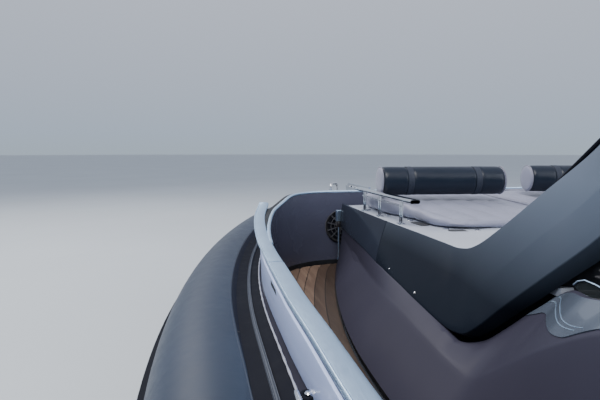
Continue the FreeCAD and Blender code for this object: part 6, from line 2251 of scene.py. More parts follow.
# ---------------------------------------------------------------- helm seats
ped, base_ = [], []
for x in (-0.85, -0.27):
    x = x + 0.0
    ped.append(lathe([(0, 0.149), (0.006, 0.149), (0.012, 0.142), (0.017, 0.120), (0.030, 0.075), (0.060, 0.0605), (0.250, 0.0595), (0.252, 0.050), (0.440, 0.050), (0.455, 0.095), (0.476, 0.100)],
                     (x + 0.0, -1.70, 0.9625), (0, 0, 1), 40))
    base_.append(planvf([tuple(p) for p in closed_round([(x - 0.228, -1.938), (x + 0.228, -1.938), (x + 0.228, -1.482), (x - 0.228, -1.482)], 0.05, 5)], 1.441, 1.4895))
make("seat_pedestals", *merge(*ped), M["polished_steel"], "polished_steel", sharp=32, replaces=("helm_seat_pedestals",))
make("seat_pans", *merge(*base_), M["black_plastic"], "black_plastic", bevel=0.008)
parts = []
for x in (-0.85, -0.27):
    o = [(x - 0.20, -1.96, 1.30), (x - 0.20, -2.02, 1.16), (x + 0.20, -2.02, 1.16), (x + 0.20, -1.96, 1.30)]
    parts.append(tubevf([(x - 0.05, -1.755, 1.235), (x - 0.12, -1.90, 1.185), (x - 0.15, -1.95, 1.180), (x, -1.965, 1.178), (x + 0.15, -1.95, 1.180), (x + 0.12, -1.90, 1.185), (x + 0.05, -1.755, 1.235)], 0.011, 12))
make("seat_footrests", *merge(*parts), M["polished_steel"], "polished_steel", sharp=40)


def stuffed_set(name, blocks, mat, voxel, cap, body="boat", replaces=(), shape=None, flat=None, sub=1, soften=0.0):
    """Several separate covers in one object; far apart while they are blown up, so that none fuses with its neighbour."""
    gap = 3.0
    far = [([(p[0], p[1], p[2] + gap * k) for p in v], f) for k, (v, f) in enumerate(blocks)]
    zmin = min(min(p[2] for p in v) for v, f in blocks)

    def back(c, n):
        c = c.copy()
        which = np.floor((c[:, 2] - zmin + 0.5) / gap).astype(int)
        c[:, 2] -= which * gap
        for k in range(len(blocks)):
            m = which == k
            if shape is not None:
                c[m] = shape(c[m], n[m], k)
            if flat is not None:
                c[m, 2] = np.maximum(c[m, 2], flat)
        return c

    return stuffed(name, merge(*far), mat, voxel, cap, soften, sub, body, replaces, back)


seat_out = []


def bucket_shape(c, n, k):
    c = c.copy()
    top = np.clip(n[:, 2] * 1.5, 0, 1)
    x = c[:, 0] - (-0.85, -0.27)[k]
    rim_ = np.clip((np.abs(x) - 0.145) / 0.05, 0, 1)
    c[:, 2] -= top * 0.014 * (1 - rim_)
    c[:, 2] -= top * 0.006 * np.exp(-((np.abs(x) - 0.150) / 0.010) ** 2)
    c[:, 2] -= top * (1 - rim_) * puffs(c[:, 1], 0.088, 0.006, -1.93)
    return c


blocks = [pad_block([(x - 0.228, -1.952), (x + 0.228, -1.952), (x + 0.222, -1.505), (x - 0.222, -1.505)], 1.4925, 1.588, 0.008, 0.032, 0.06) for x in (-0.85, -0.27)]
stuffed_set("seat_squabs", blocks, M["pale_upholstery"], 0.016, 0.012, replaces=("helm_seat_cushions",), shape=bucket_shape, flat=1.4915)


def back_block(x):
    rows = []
    for t, w in ((0.0, 0.190), (0.03, 0.205), (0.25, 0.222), (0.6, 0.226), (0.88, 0.205), (0.97, 0.180), (1.0, 0.150)):
        z = 1.575 + (2.178 - 1.575) * t
        yf = -1.578 + 0.110 * t
        yb = yf + 0.088 - 0.010 * t
        rows.append([(x + a, y, z) for a, y in closed_round([(-w, yf), (w, yf), (w * 0.94, yb), (-w * 0.94, yb)], 0.03, 4)])
    return capped(rows)


def back_shape(c, n, k):
    c = c.copy()
    x = c[:, 0] - (-0.85, -0.27)[k]
    front = np.clip(-n[:, 1] * 1.5, 0, 1)
    rim_ = np.clip((np.abs(x) - 0.140) / 0.05, 0, 1)
    c[:, 1] += front * 0.012 * (1 - rim_)
    c[:, 1] += front * 0.006 * np.exp(-((np.abs(x) - 0.145) / 0.010) ** 2)
    c[:, 1] += front * (1 - rim_) * puffs(c[:, 2], 0.090, 0.006, 1.60)
    return c


stuffed_set("seat_backs", [back_block(x) for x in (-0.85, -0.27)], M["pale_upholstery"], 0.016, 0.011, shape=back_shape)
parts = []
for x in (-0.85, -0.27):
    rows = []
    for t in np.linspace(0, 1, 9):
        z = 1.47 + (2.05 - 1.47) * t
        yb = -1.455 + (z - 1.575) / 0.603 * 0.100 if z > 1.575 else -1.470 + 0.0 * t
        yb = min(yb, -1.394)
        w = 0.150 - 0.03 * t
        rows.append([(x + a, y, z) for a, y in closed_round([(-w, yb - 0.012), (w, yb - 0.012), (w, yb), (-w, yb)], 0.005, 2)])
    parts.append(capped(rows))
make("seat_shells", *merge(*parts), M["black_plastic"], "black_plastic", sharp=32)
parts = []
for x in (-0.85, -0.27):
    for s in (1, -1):
        a = x + s * 0.236
        parts.append(tubevf([(x + s * 0.20, -1.47, 1.720), (a, -1.50, 1.735), (a, -1.60, 1.745), (a, -1.80, 1.740)], [0.010, 0.012, 0.018, 0.018], 14))
ob = make("seat_armrests", *merge(*parts), M["dark_upholstery"], "dark_upholstery", sharp=60)

# ---------------------------------------------------------------- lounge
LB = [(1.304, -0.90), (1.350, 1.20), (1.350, 4.14), (-0.10, 4.14), (-0.10, 3.50), (0.72, 3.50), (0.72, -0.90)]
low = [(x + (0.05 if abs(x - 0.72) < 1e-6 else 0.0), y + (0.05 if abs(y - 3.50) < 1e-6 else 0.0)) for x, y in LB]
make("lounge_plinth", *planvf(low, 0.9625, 1.050), M["black_plastic"], "black_plastic", bevel=0.003)
make("lounge_carcase", *planvf(LB, 1.045, 1.2995), M["silver_gelcoat"], "bulwark_gelcoat", bevel=0.014, segs=3, replaces=("lounge_base",))
seam_ = []
for y in (-0.85, 0.24, 1.33, 2.42):
    o = closed_round([(y + 0.03, 1.075), (y + 1.05, 1.075), (y + 1.05, 1.270), (y + 0.03, 1.270)], 0.02, 4)
    seam_.append(capped([[(0.7215, a, z) for a, z in o], [(0.7170, a, z) for a, z in o], [(0.7155, a, z) for a, z in inset(o, 0.003)]]))
o = closed_round([(-0.07, 1.075), (0.66, 1.075), (0.66, 1.270), (-0.07, 1.270)], 0.02, 4)
seam_.append(capped([[(x, 3.5015, z) for x, z in o], [(x, 3.4970, z) for x, z in o], [(x, 3.4955, z) for x, z in inset(o, 0.003)]]))
make("lounge_locker_doors", *merge(*seam_), M["silver_gelcoat"], "bulwark_gelcoat", sharp=32)
pulls = [lathe([(0, 0.017), (0.003, 0.017), (0.006, 0.013), (0.004, 0.009), (0.003, 0.0)], (0.7160, y, 1.245), (-1, 0, 0), 20) for y in (-0.31, 0.78, 1.87, 2.96)]
make("lounge_pulls", *merge(*pulls), M["polished_steel"], "polished_steel", sharp=35)

seat_plans = []
y0 = -0.872
for k in range(4):
    y1 = y0 + 1.095
    seat_plans.append([(0.738, y0 + 0.004), (1.232, y0 + 0.004), (1.232, y1 - 0.004), (0.738, y1 - 0.004)])
    y0 = y1
seat_plans.append([(0.738, 3.516), (1.232, 3.516), (1.232, 4.022), (0.738, 4.022)])
seat_plans.append([(-0.082, 3.518), (0.730, 3.518), (0.730, 4.022), (-0.082, 4.022)])


def seat_shape(c, n, k):
    c = c.copy()
    plan = seat_plans[k]
    d = outline_distance(c[:, :2], closed_round(plan, 0.04, 3))
    top = np.clip(n[:, 2] * 1.5, 0, 1)
    c[:, 2] -= top * (0.006 * np.exp(-((d - 0.060) / 0.009) ** 2))
    inner = np.clip((d - 0.062) / 0.012, 0, 1)
    t = c[:, 1] if k < 5 else c[:, 0]
    c[:, 2] -= top * inner * (0.004 + puffs(t, 0.098, 0.006, (plan[0][1] if k < 5 else plan[0][0]) + 0.03))
    return c


blocks = [pad_block(p, 1.3035, 1.408, 0.006, 0.030, 0.04) for p in seat_plans]
stuffed_set("lounge_seats", blocks, M["pale_upholstery"], 0.0205, 0.012, replaces=("lounge_seat_cushion",), shape=seat_shape, flat=1.3005)


def wall_cushion(x0, x1, y0, y1, z0, z1, axis):
    """Upright back cushion between two faces; axis is not used here (axis 0 faces -X, axis 1 faces -Y)."""
    rows = []
    for d, z in ((0.012, z0), (0.003, z0 + 0.02), (0.0, (z0 + z1) / 2), (0.004, z1 - 0.035), (0.012, z1 - 0.012), (0.030, z1)):
        q = inset(closed_round([(x0, y0), (x1, y0), (x1, y1), (x0, y1)], 0.028, 3), d)
        rows.append([(a, b, z) for a, b in q])
    return capped(rows)


back_boxes = []
y0 = -0.872
for k in range(4):
    y1 = y0 + 1.095
    back_boxes.append((1.252, 1.342, y0 + 0.005, y1 - 0.005, 0))
    y0 = y1
back_boxes.append((1.252, 1.342, 3.52, 4.020, 0))
back_boxes.append((-0.082, 0.570, 4.044, 4.132, 1))
back_boxes.append((0.580, 1.232, 4.044, 4.132, 1))


def cushion_shape(c, n, k):
    c = c.copy()
    x0, x1, y0, y1, ax_ = back_boxes[k]
    if ax_ == 0:
        f = np.clip(-n[:, 0] * 1.5, 0, 1)
        e = np.minimum(c[:, 1] - y0, y1 - c[:, 1])
        e = np.minimum(e, 1.70 - c[:, 2])
        c[:, 0] += f * (0.005 * np.exp(-((e - 0.050) / 0.009) ** 2) + np.clip((e - 0.05) / 0.012, 0, 1) * puffs(c[:, 1], 0.098, 0.005, y0 + 0.03))
    else:
        f = np.clip(-n[:, 1] * 1.5, 0, 1)
        e = np.minimum(c[:, 0] - x0, x1 - c[:, 0])
        e = np.minimum(e, 1.70 - c[:, 2])
        c[:, 1] += f * (0.005 * np.exp(-((e - 0.050) / 0.009) ** 2) + np.clip((e - 0.05) / 0.012, 0, 1) * puffs(c[:, 0], 0.098, 0.005, x0 + 0.03))
    return c


blocks = [wall_cushion(b[0], b[1], b[2], b[3], 1.430 if b[4] == 0 else 1.430, 1.690, b[4]) for b in back_boxes]
stuffed_set("lounge_backs", blocks, M["pale_upholstery"], 0.0205, 0.010, replaces=("lounge_back_cushion",), shape=cushion_shape)
# boards behind the back cushions down to the base
parts = [boxvf(1.262, 1.336, -0.87, 4.02, 1.3025, 1.435), boxvf(-0.08, 1.262, 4.050, 4.128, 1.3025, 1.435)]
make("lounge_back_boards", *merge(*parts), M["dark_upholstery"], "dark_upholstery", bevel=0.006)

# ---------------------------------------------------------------- table
to = closed_round([(-0.080, 0.90), (0.580, 0.90), (0.580, 2.50), (-0.080, 2.50)], 0.09, 6)
rows = [[(x, y, 1.6005) for x, y in inset(to, 0.020)], [(x, y, 1.606) for x, y in inset(to, 0.006)], [(x, y, 1.617) for x, y in to], [(x, y, 1.628) for x, y in inset(to, 0.003)],
        [(x, y, 1.6325) for x, y in inset(to, 0.012)], [(x, y, 1.6330) for x, y in inset(to, 0.045)], [(x, y, 1.6305) for x, y in inset(to, 0.047)]]
make("table_top", *capped(rows), M["roof_top"], "pale_deck", sharp=32, replaces=("cockpit_table",))
planks_ = straight_boards([tuple(p) for p in inset(to, 0.049)], 1.6308, 0.055, 0.0045)
planked("table_teak", planks_, M["teak"], thick=0.0020)
make("table_pedestal", *lathe([(0, 0.199), (0.006, 0.199), (0.014, 0.190), (0.022, 0.150), (0.035, 0.080), (0.070, 0.0455), (0.330, 0.0445), (0.332, 0.038), (0.590, 0.038), (0.606, 0.110), (0.630, 0.150), (0.638, 0.150)],
                              (0.25, 1.70, 0.9625), (0, 0, 1), 44), M["polished_steel"], "polished_steel", sharp=32)

# ---------------------------------------------------------------- wet bar
finish_node("wet_bar", "silver_gelcoat")
worktop = closed_round([(-1.306, -0.70), (-0.762, -0.70), (-0.762, 1.50), (-1.306, 1.50)], 0.02, 4)
hole = [(-1.255, -0.560), (-0.820, -0.560), (-0.820, 0.260), (-1.255, 0.260)]
parts = [boxvf(-1.304, -0.764, 0.320, 1.496, 1.8795, 1.8845), boxvf(-1.304, -0.764, -0.696, -0.600, 1.8795, 1.8845)]
make("wet_bar_worktop", *merge(*parts), M["worktop"], "pale_deck", bevel=0.002)
ri = [[(x, y, 1.8790) for x, y in closed_round(hole, 0.03, 4)], [(x, y, 1.8845) for x, y in inset(closed_round(hole, 0.03, 4), -0.006)],
      [(x, y, 1.8848) for x, y in inset(closed_round(hole, 0.03, 4), -0.012)], [(x, y, 1.8795) for x, y in inset(closed_round(hole, 0.03, 4), -0.018)]]
make("sink_rim", *grid(ri, close_u=True), M["polished_steel"], "polished_steel", sharp=32)
hr = closed_round(hole, 0.03, 4)
rows = [[(x, y, 1.879) for x, y in inset(hr, 0.0015)], [(x, y, 1.60) for x, y in inset(hr, 0.004)], [(x, y, 1.575) for x, y in inset(hr, 0.015)], [(x, y, 1.566) for x, y in inset(hr, 0.05)]]
make("sink_bowl", *grid(rows, close_u=True), M["stainless"], "stainless", sharp=40)
make("sink_floor", *merge((rows[-1], [tuple(range(len(rows[-1])))])), M["stainless"], "stainless", sharp=40)
make("sink_drain", *lathe([(0, 0.034), (0.002, 0.034), (0.003, 0.028), (0.001, 0.012), (0.001, 0.0)], (-1.04, -0.35, 1.5665), (0, 0, 1), 24), M["polished_steel"], "polished_steel", sharp=35)
make("sink_tap", *merge(lathe([(0, 0.020), (0.006, 0.019), (0.012, 0.012), (0.020, 0.0105)], (-1.215, -0.36, 1.5665), (0, 0, 1), 20),
                        tubevf([(-1.215, -0.36, 1.58), (-1.215, -0.36, 1.76), (-1.200, -0.36, 1.795), (-1.165, -0.36, 1.808), (-1.125, -0.36, 1.800), (-1.110, -0.36, 1.775)], 0.0085, 12)),
     M["polished_steel"], "polished_steel", sharp=40)
hob = closed_round([(-1.24, -0.10), (-0.86, -0.10), (-0.86, 0.23), (-1.24, 0.23)], 0.02, 4)
make("hob_plate", *capped([[(x, y, 1.5665) for x, y in hob], [(x, y, 1.715) for x, y in hob], [(x, y, 1.718) for x, y in inset(hob, 0.004)]]), M["dark_screen"], "tinted_glass", sharp=32)
doors, pulls = [], []
for a, b, z0, z1 in ((-0.66, -0.02, 1.02, 1.50), (0.02, 0.70, 1.02, 1.50), (0.74, 1.46, 1.02, 1.84), (-0.66, 0.70, 1.54, 1.84)):
    o = closed_round([(a, z0), (b, z0), (b, z1), (a, z1)], 0.015, 3)
    doors.append(capped([[(-0.7605, y, z) for y, z in o], [(-0.7545, y, z) for y, z in o], [(-0.7530, y, z) for y, z in inset(o, 0.003)]]))
    pulls.append(tubevf([(-0.7530, (a + b) / 2 - 0.07, z1 - 0.045), (-0.740, (a + b) / 2 - 0.065, z1 - 0.045), (-0.738, (a + b) / 2, z1 - 0.045), (-0.740, (a + b) / 2 + 0.065, z1 - 0.045), (-0.7530, (a + b) / 2 + 0.07, z1 - 0.045)], 0.0045, 10))
make("wet_bar_doors", *merge(*doors), M["satin_painted_sky"], "deckhouse_satin", sharp=32)
make("wet_bar_handles", *merge(*pulls), M["polished_steel"], "polished_steel", sharp=45)
lo_ = closed_round([(-1.259, -0.588), (-0.782, -0.588), (-0.782, 0.288), (-1.259, 0.288)], 0.03, 5)
make("bar_lid_slab", *capped([[(x, y, 1.8865) for x, y in inset(lo_, 0.003)], [(x, y, 1.889) for x, y in lo_], [(x, y, 1.903) for x, y in lo_], [(x, y, 1.9065) for x, y in inset(lo_, 0.004)]]),
     M["worktop"], "pale_deck", body="bar_lid", sharp=32, replaces=("wet_bar_lid",))
parts = []
for y in (-0.40, 0.10):
    parts.append(cylvf((-1.275, y - 0.045, 1.896), (-1.275, y + 0.045, 1.896), 0.0075, 16, edge=0.002))
    parts.append(boxvf(-1.272, -1.235, y - 0.035, y + 0.035, 1.9055, 1.9075))
make("bar_lid_hinges", *merge(*parts), M["polished_steel"], "polished_steel", body="bar_lid", bevel=0.001)
make("bar_lid_ring", *lathe([(0, 0.022), (0.0012, 0.022), (0.0016, 0.018), (0.0004, 0.012), (0.0004, 0.0)], (-0.83, -0.15, 1.9062), (0, 0, 1), 24), M["polished_steel"], "polished_steel",
     body="bar_lid", sharp=35)

# ---------------------------------------------------------------- after box, hatch and after sunpad
finish_node("aft_box", "silver_gelcoat")
finish_node("engine_hatch", "roof_top")
vents = []
for y in (5.0, 5.8):
    for k in range(7):
        z = 1.29 + 0.028 * k
        vents.append(prismvf([(1.4795, y - 0.19, z), (1.4795, y + 0.19, z), (1.4885, y + 0.19, z - 0.010), (1.4885, y - 0.19, z - 0.010)], (0, 0, 0.004)))
make("engine_vents", *twin(merge(*vents)), M["stainless"], "stainless", bevel=0.001)
fr = []
for y in (5.0, 5.8):
    o = closed_round([(y - 0.215, 1.262), (y + 0.215, 1.262), (y + 0.215, 1.485), (y - 0.215, 1.485)], 0.02, 4)
    i = inset(o, 0.016)
    fr.append(grid([[(1.4797, a, z) for a, z in o], [(1.4870, a, z) for a, z in inset(o, 0.002)], [(1.4870, a, z) for a, z in inset(o, 0.014)], [(1.4800, a, z) for a, z in i]], close_u=True))
make("engine_vent_frames", *twin(merge(*fr)), M["satin_alloy"], "satin_alloy", sharp=32)
bk = []
for y in (5.0, 5.8):
    o = closed_round([(y - 0.20, 1.276), (y + 0.20, 1.276), (y + 0.20, 1.472), (y - 0.20, 1.472)], 0.02, 4)
    bk.append(prismvf([(1.4795, a, z) for a, z in o], (0.0012, 0, 0)))
make("engine_vent_backs", *twin(merge(*bk)), M["black_and_painted_shade"], "black_plastic", sharp=32)
gr = [tubevf([tuple(p) for p in rounded([(1.39, 4.50, 1.558), (1.39, 4.50, 1.640), (1.39, 4.53, 1.664), (1.39, 6.32, 1.664), (1.39, 6.35, 1.640), (1.39, 6.35, 1.558)], 0.02, 3)], 0.0125, 12)]
for y in (5.10, 5.75):
    gr.append(cylvf((1.39, y, 1.558), (1.39, y, 1.660), 0.0100, 12))
make("aft_pad_rails", *twin(merge(*gr)), M["polished_steel"], "polished_steel", sharp=45)
aft_plans = [[(-1.282, 4.483), (-0.434, 4.483), (-0.434, 6.382), (-1.282, 6.382)], [(-0.426, 4.483), (0.426, 4.483), (0.426, 6.382), (-0.426, 6.382)],
             [(0.434, 4.483), (1.282, 4.483), (1.282, 6.382), (0.434, 6.382)]]


def aft_shape(c, n, k):
    c = c.copy()
    d = outline_distance(c[:, :2], closed_round(aft_plans[k], 0.06, 3))
    top = np.clip(n[:, 2] * 1.5, 0, 1)
    c[:, 2] -= top * (0.007 * np.exp(-((d - 0.075) / 0.011) ** 2))
    inner = np.clip((d - 0.078) / 0.014, 0, 1)
    c[:, 2] -= top * inner * (0.005 + puffs(c[:, 0], 0.116, 0.007, aft_plans[k][0][0] + 0.076))
    return c


blocks = [pad_block(p, 1.6040, 1.698, 0.006, 0.034, 0.06) for p in aft_plans]
stuffed_set("aft_sunpads", blocks, M["pale_upholstery"], 0.026, 0.012, body="engine_lid", replaces=("aft_sunpad",), shape=aft_shape, flat=1.6025)
parts = []
for x in (-1.1, 1.1):
    parts.append(cylvf((x - 0.07, 4.440, 1.584), (x + 0.07, 4.440, 1.584), 0.0155, 20, edge=0.003))
make("hatch_hinges", *merge(*parts), M["polished_steel"], "polished_steel", body="engine_lid", sharp=40)

# ---------------------------------------------------------------- engines
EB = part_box("engines")
parts, covers, pipes_, belts_ = [], [], [], []
for s in (1, -1):
    xc = s * 0.63
    prof = closed_round([(xc - 0.24, -0.046), (xc + 0.24, -0.046), (xc + 0.325, 0.30), (xc + 0.325, 0.60), (xc + 0.20, 0.80), (xc - 0.20, 0.80), (xc - 0.325, 0.60), (xc - 0.325, 0.30)], 0.05, 3)
    rows = [[(x, y, z) for x, z in prof] for y in (4.76, 5.0, 5.5, 5.95)]
    parts.append(capped(rows))
    parts.append(capped([[(xc + (x - xc) * 0.62, y, 0.02 + (z - 0.0) * 0.55) for x, z in prof] for y in (5.95, 6.118)]))
    for side in (1, -1):
        o = closed_round([(xc + side * 0.045, 0.79), (xc + side * 0.235, 0.70), (xc + side * 0.265, 0.78), (xc + side * 0.085, 0.885)], 0.02, 3)
        covers.append(capped([[(x, y, z) for x, z in o] for y in (4.84, 4.86, 5.86, 5.88)]))
        for k in range(6):
            y = 4.93 + 0.165 * k
            pipes_.append(tubevf([(xc + side * 0.10, y, 0.80), (xc + side * 0.055, y, 0.892), (xc + side * 0.0, y, 0.905)], 0.020, 10))
    covers.append(lathe([(0, 0.030), (0.01, 0.052), (0.98, 0.052), (0.99, 0.030)], (xc, 4.86, 0.925), (0, 1, 0), 24))
    for (px_, pz, r_) in ((xc, 0.20, 0.10), (xc - s * 0.17, 0.55, 0.055), (xc + s * 0.17, 0.55, 0.055), (xc, 0.72, 0.045)):
        belts_.append(lathe([(0, r_ * 0.9), (0.004, r_), (0.012, r_ * 0.86), (0.020, r_ * 0.86), (0.028, r_), (0.032, r_ * 0.9)], (px_, 4.758, pz), (0, -1, 0), 32))
make("engine_blocks", *merge(*parts), M["engine_iron"], "engine_iron", sharp=32, replaces=("engines",))
make("engine_covers", *merge(*covers), M["black_plastic"], "black_plastic", bevel=0.004)
make("engine_intakes", *merge(*pipes_), M["engine_iron"], "engine_iron", sharp=45)
make("engine_pulleys", *merge(*belts_), M["black_rubber"], "black_rubber", sharp=35)

# ---------------------------------------------------------------- swim platform, gates and ladder
finish_node("swim_platform", "upper_gelcoat")
pl = both([(0.0, 6.905), (1.70, 6.905), (1.90, 6.965), (1.90, 7.98), (1.62, 8.30), (0.0, 8.30)])
edge = closed_round(pl, 0.05, 4)
pts = [(x, y, 0.466) for x, y in inset(edge, -0.002) if y > 6.95]
k0 = max(range(len(pts)), key=lambda i: (np.linalg.norm(np.array(pts[i]) - np.array(pts[(i + 1) % len(pts)]))))
pts = pts[k0 + 1:] + pts[:k0 + 1]
make("platform_fender", *tubevf(pts, 0.020, 12), M["black_rubber"], "black_rubber", sharp=60)
treads = []
for s in (1, -1):
    for y0, y1, z in ((7.02, 7.115, 0.7605), (6.915, 6.99, 0.9905)):
        o = closed_round([(s * 1.52, y0), (s * 1.87, y0), (s * 1.87, y1), (s * 1.52, y1)][::s], 0.012, 3)
        treads.append(capped([[(x, y, z - 0.001) for x, y in o], [(x, y, z + 0.006) for x, y in o], [(x, y, z + 0.0072) for x, y in inset(o, 0.002)]]))
make("step_treads", *merge(*treads), M["teak_across"], "teak", sharp=32)
for side in ("port", "starboard"):
    finish_node("transom_gate_" + side, "silver_gelcoat")
parts = {"gate_port": [], "gate_starboard": []}
for s, b in ((1, "gate_port"), (-1, "gate_starboard")):
    pts = [(s * 1.55, 6.42, 1.528), (s * 1.55, 6.42, 1.545), (s * 1.58, 6.42, 1.556), (s * 1.82, 6.42, 1.556), (s * 1.85, 6.42, 1.545), (s * 1.85, 6.42, 1.528)]
    make("gate_rail_" + b[5:], *tubevf(pts, 0.0095, 12), M["polished_steel"], "polished_steel", body=b, sharp=45)
    q = [cylvf((s * 1.505, 6.42, z - 0.03), (s * 1.505, 6.42, z + 0.03), 0.0145, 16, edge=0.003) for z in (1.28, 1.46)]
    q.append(lathe([(0, 0.020), (0.004, 0.020), (0.007, 0.015), (0.007, 0.0)], (s * 1.84, 6.4375, 1.44), (0, 1, 0), 20))
    make("gate_hinges_" + b[5:], *merge(*q), M["polished_steel"], "polished_steel", body=b, sharp=40)
finish_node("boarding_ladder", "polished_steel")
finish_node("ladder_brackets", "stainless")
tr = []
for y in (7.43, 7.69, 7.95):
    rows = []
    for x in np.linspace(0.592, 0.928, 22):
        k = 0.0022 if int(round((x - 0.592) / 0.016)) % 2 else 0.0034
        rows.append([(x, y + (0.0125 + k) * math.cos(t), 0.536 + (0.0125 + k) * math.sin(t)) for t in np.linspace(0, 2 * math.pi, 16, endpoint=False)])
    tr.append(capped(rows))
make("ladder_treads", *merge(*tr), M["black_rubber"], "black_rubber", body="ladder", sharp=30)

# ---------------------------------------------------------------- running gear
sa, ca = math.sin(math.radians(9.1)), math.cos(math.radians(9.1))
for s, side in ((1, "port"), (-1, "starboard")):
    end = np.array([s * 0.750, 6.520, -0.761])
    fwd = np.array([0, -ca, sa])
    pc = end + fwd * 0.150
    u1 = np.array([1.0, 0, 0])
    u2 = np.cross(fwd, u1)
    body = "shaft_" + side
    blades = []
    hand = s
    for k in range(4):
        rows = []
        for r_ in np.linspace(0.055, 0.303, 14):
            q = (r_ - 0.055) / 0.248
            chord = 0.105 + 0.150 * math.sin(math.pi * min(1.0, q * 0.86 + 0.10)) ** 0.9
            chord *= math.sqrt(max(0.02, 1 - q ** 7))
            pitch = math.atan2(0.62, 2 * math.pi * max(r_, 0.09))
            thick = 0.017 * (1 - q) + 0.0035
            skew = hand * 0.30 * q * q
            row = []
            for t in np.linspace(0, 2 * math.pi, 20, endpoint=False):
                cpos = 0.5 * chord * math.cos(t)
                tpos = 0.5 * thick * math.sin(t)
                tang = cpos * math.cos(pitch) - tpos * math.sin(pitch) * 1.0
                axial = (cpos * math.sin(pitch) + tpos * math.cos(pitch)) * hand
                ang = 2 * math.pi * k / 4 + tang / r_ * 1.0 * 0.86 + skew
                p = pc + (u1 * math.cos(ang) + u2 * math.sin(ang)) * r_ + fwd * (axial + 0.02 * q)
                row.append(p)
            rows.append(row)
        blades.append(capped(rows))
    make("propeller_blades_" + side, *merge(*blades), M["bronze"], "bronze", body=body, sharp=50, replaces=("propeller_" + side,))
    hub = lathe([(-0.150, 0.004), (-0.146, 0.020), (-0.128, 0.036), (-0.100, 0.050), (-0.070, 0.0625), (-0.02, 0.066), (0.060, 0.064), (0.078, 0.058), (0.082, 0.031)], pc, fwd, 40)
    make("propeller_hub_" + side, *hub, M["bronze"], "bronze", body=body, sharp=35)
    make("propeller_shaft_" + side, *lathe([(0.07, 0.0295), (1.4, 0.0300), (2.6, 0.0300), (2.945, 0.0300)], pc, fwd, 28), M["stainless"], "stainless", body=body, sharp=35)
    z0 = pc + fwd * 0.12
    make("shaft_anode_" + side, *lathe([(0, 0.030), (0.006, 0.046), (0.03, 0.050), (0.05, 0.046), (0.056, 0.030)], z0 + fwd * 0.0, fwd, 28), M["anode"], "engine_iron", body=body, sharp=40)
    finish_node("rudder_" + side, "bronze")
    finish_node("trim_tab_" + side, "stainless")
finish_node("shaft_brackets", "bronze")

# ---------------------------------------------------------------- deck fittings
def cleat_vf(p, along):
    d = unit((along[0], along[1], 0))
    c = np.array(p, float)
    prof = [(-0.109, 0.003), (-0.106, 0.0075), (-0.095, 0.0090), (-0.05, 0.0102), (0.0, 0.0108), (0.05, 0.0102), (0.095, 0.0090), (0.106, 0.0075), (0.109, 0.003)]
    horn = []
    e = np.cross(d, (0, 0, 1.0))
    for h, r_ in prof:
        lift = 0.006 * (abs(h) / 0.109) ** 2
        ctr = c + d * h + np.array([0, 0, 0.040 + lift])
        horn.append([ctr + e * r_ * math.cos(t) + np.array([0, 0, 1.0]) * r_ * math.sin(t) for t in np.linspace(0, 2 * math.pi, 16, endpoint=False)])
    out = [capped(horn)]
    for k in (-0.038, 0.038):
        out.append(lathe([(0.0, 0.0195), (0.004, 0.0190), (0.008, 0.0135), (0.018, 0.0105), (0.030, 0.0105), (0.040, 0.0110)], c + d * k, (0, 0, 1), 20))
    o = closed_round([(-0.070, -0.021), (0.070, -0.021), (0.070, 0.021), (-0.070, 0.021)], 0.018, 4)
    out.append(capped([[c + d * a + e * b + np.array([0, 0, z]) for a, b in (o if z < 0.002 else inset(o, 0.002))] for z in (-0.001, 0.0015, 0.004)]))
    return out


parts = []
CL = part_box("cleats")
for s in (1, -1):
    for y in (5.90, 0.60, -3.22):
        parts += cleat_vf((s * 2.030, y, float(shelf_z(y)) + 0.001), (0, 1, 0))
    parts += cleat_vf((s * 0.760, -7.350, 1.4415), (math.cos(math.radians(45)), s * math.sin(math.radians(45)), 0))
make("deck_cleats", *merge(*parts), M["polished_steel"], "polished_steel", sharp=40, replaces=("cleats",))
finish_node("bow_roller", "stainless")
finish_node("anchor", "polished_steel")
finish_node("bow_eye", "polished_steel")
finish_node("flagstaff_socket", "polished_steel")
finish_node("anchor_locker_lid", "roof_top")
make("roller_wheel", *lathe([(-0.052, 0.020), (-0.050, 0.030), (-0.030, 0.026), (-0.010, 0.017), (0.010, 0.017), (0.030, 0.026), (0.050, 0.030), (0.052, 0.020)], (0, -8.960, 1.612), (1, 0, 0), 32),
     M["black_rubber"], "black_rubber", sharp=35)
o = closed_round([(-0.27, -7.545), (0.27, -7.545), (0.27, -7.06), (-0.27, -7.06)], 0.03, 5)
make("locker_lid_grip", *capped([[(x, y, 1.4315) for x, y in o], [(x, y, 1.4335) for x, y in o], [(x, y, 1.4340) for x, y in inset(o, 0.003)]]), M["nonskid"], "pale_deck",
     body="locker_lid", sharp=32)
make("locker_lid_latch", *lathe([(0, 0.026), (0.0015, 0.026), (0.003, 0.021), (0.001, 0.015), (0.001, 0.0)], (0, -7.565, 1.4320), (0, 0, 1), 24), M["polished_steel"], "polished_steel",
     body="locker_lid", sharp=35)
# hoops on the foredeck for the mooring lines
parts = []
fa, fb = np.array([0.475, -8.150]), np.array([0.600, -8.020])
sa, sb = float(shelf_z(fa[1])), float(shelf_z(fb[1]))
line = [(fa[0], fa[1], sa - 0.004), (fa[0], fa[1], 1.752), (fb[0], fb[1], 1.752), (fb[0], fb[1], sb - 0.004)]
parts.append(tubevf([tuple(q) for q in rounded(line, 0.06, 6)], 0.0150, 14))
parts.append(tubevf([(fa[0], fa[1], 1.590), (fb[0], fb[1], 1.590)], 0.0085, 10))
for f, z in ((fa, sa), (fb, sb)):
    parts.append(lathe([(0, 0.036), (0.005, 0.0355), (0.008, 0.030), (0.012, 0.019), (0.012, 0.0)], (f[0], f[1], z + 0.001), (0, 0, 1), 28))
make("mooring_hoops", *twin(merge(*parts)), M["polished_steel"], "polished_steel", sharp=40)
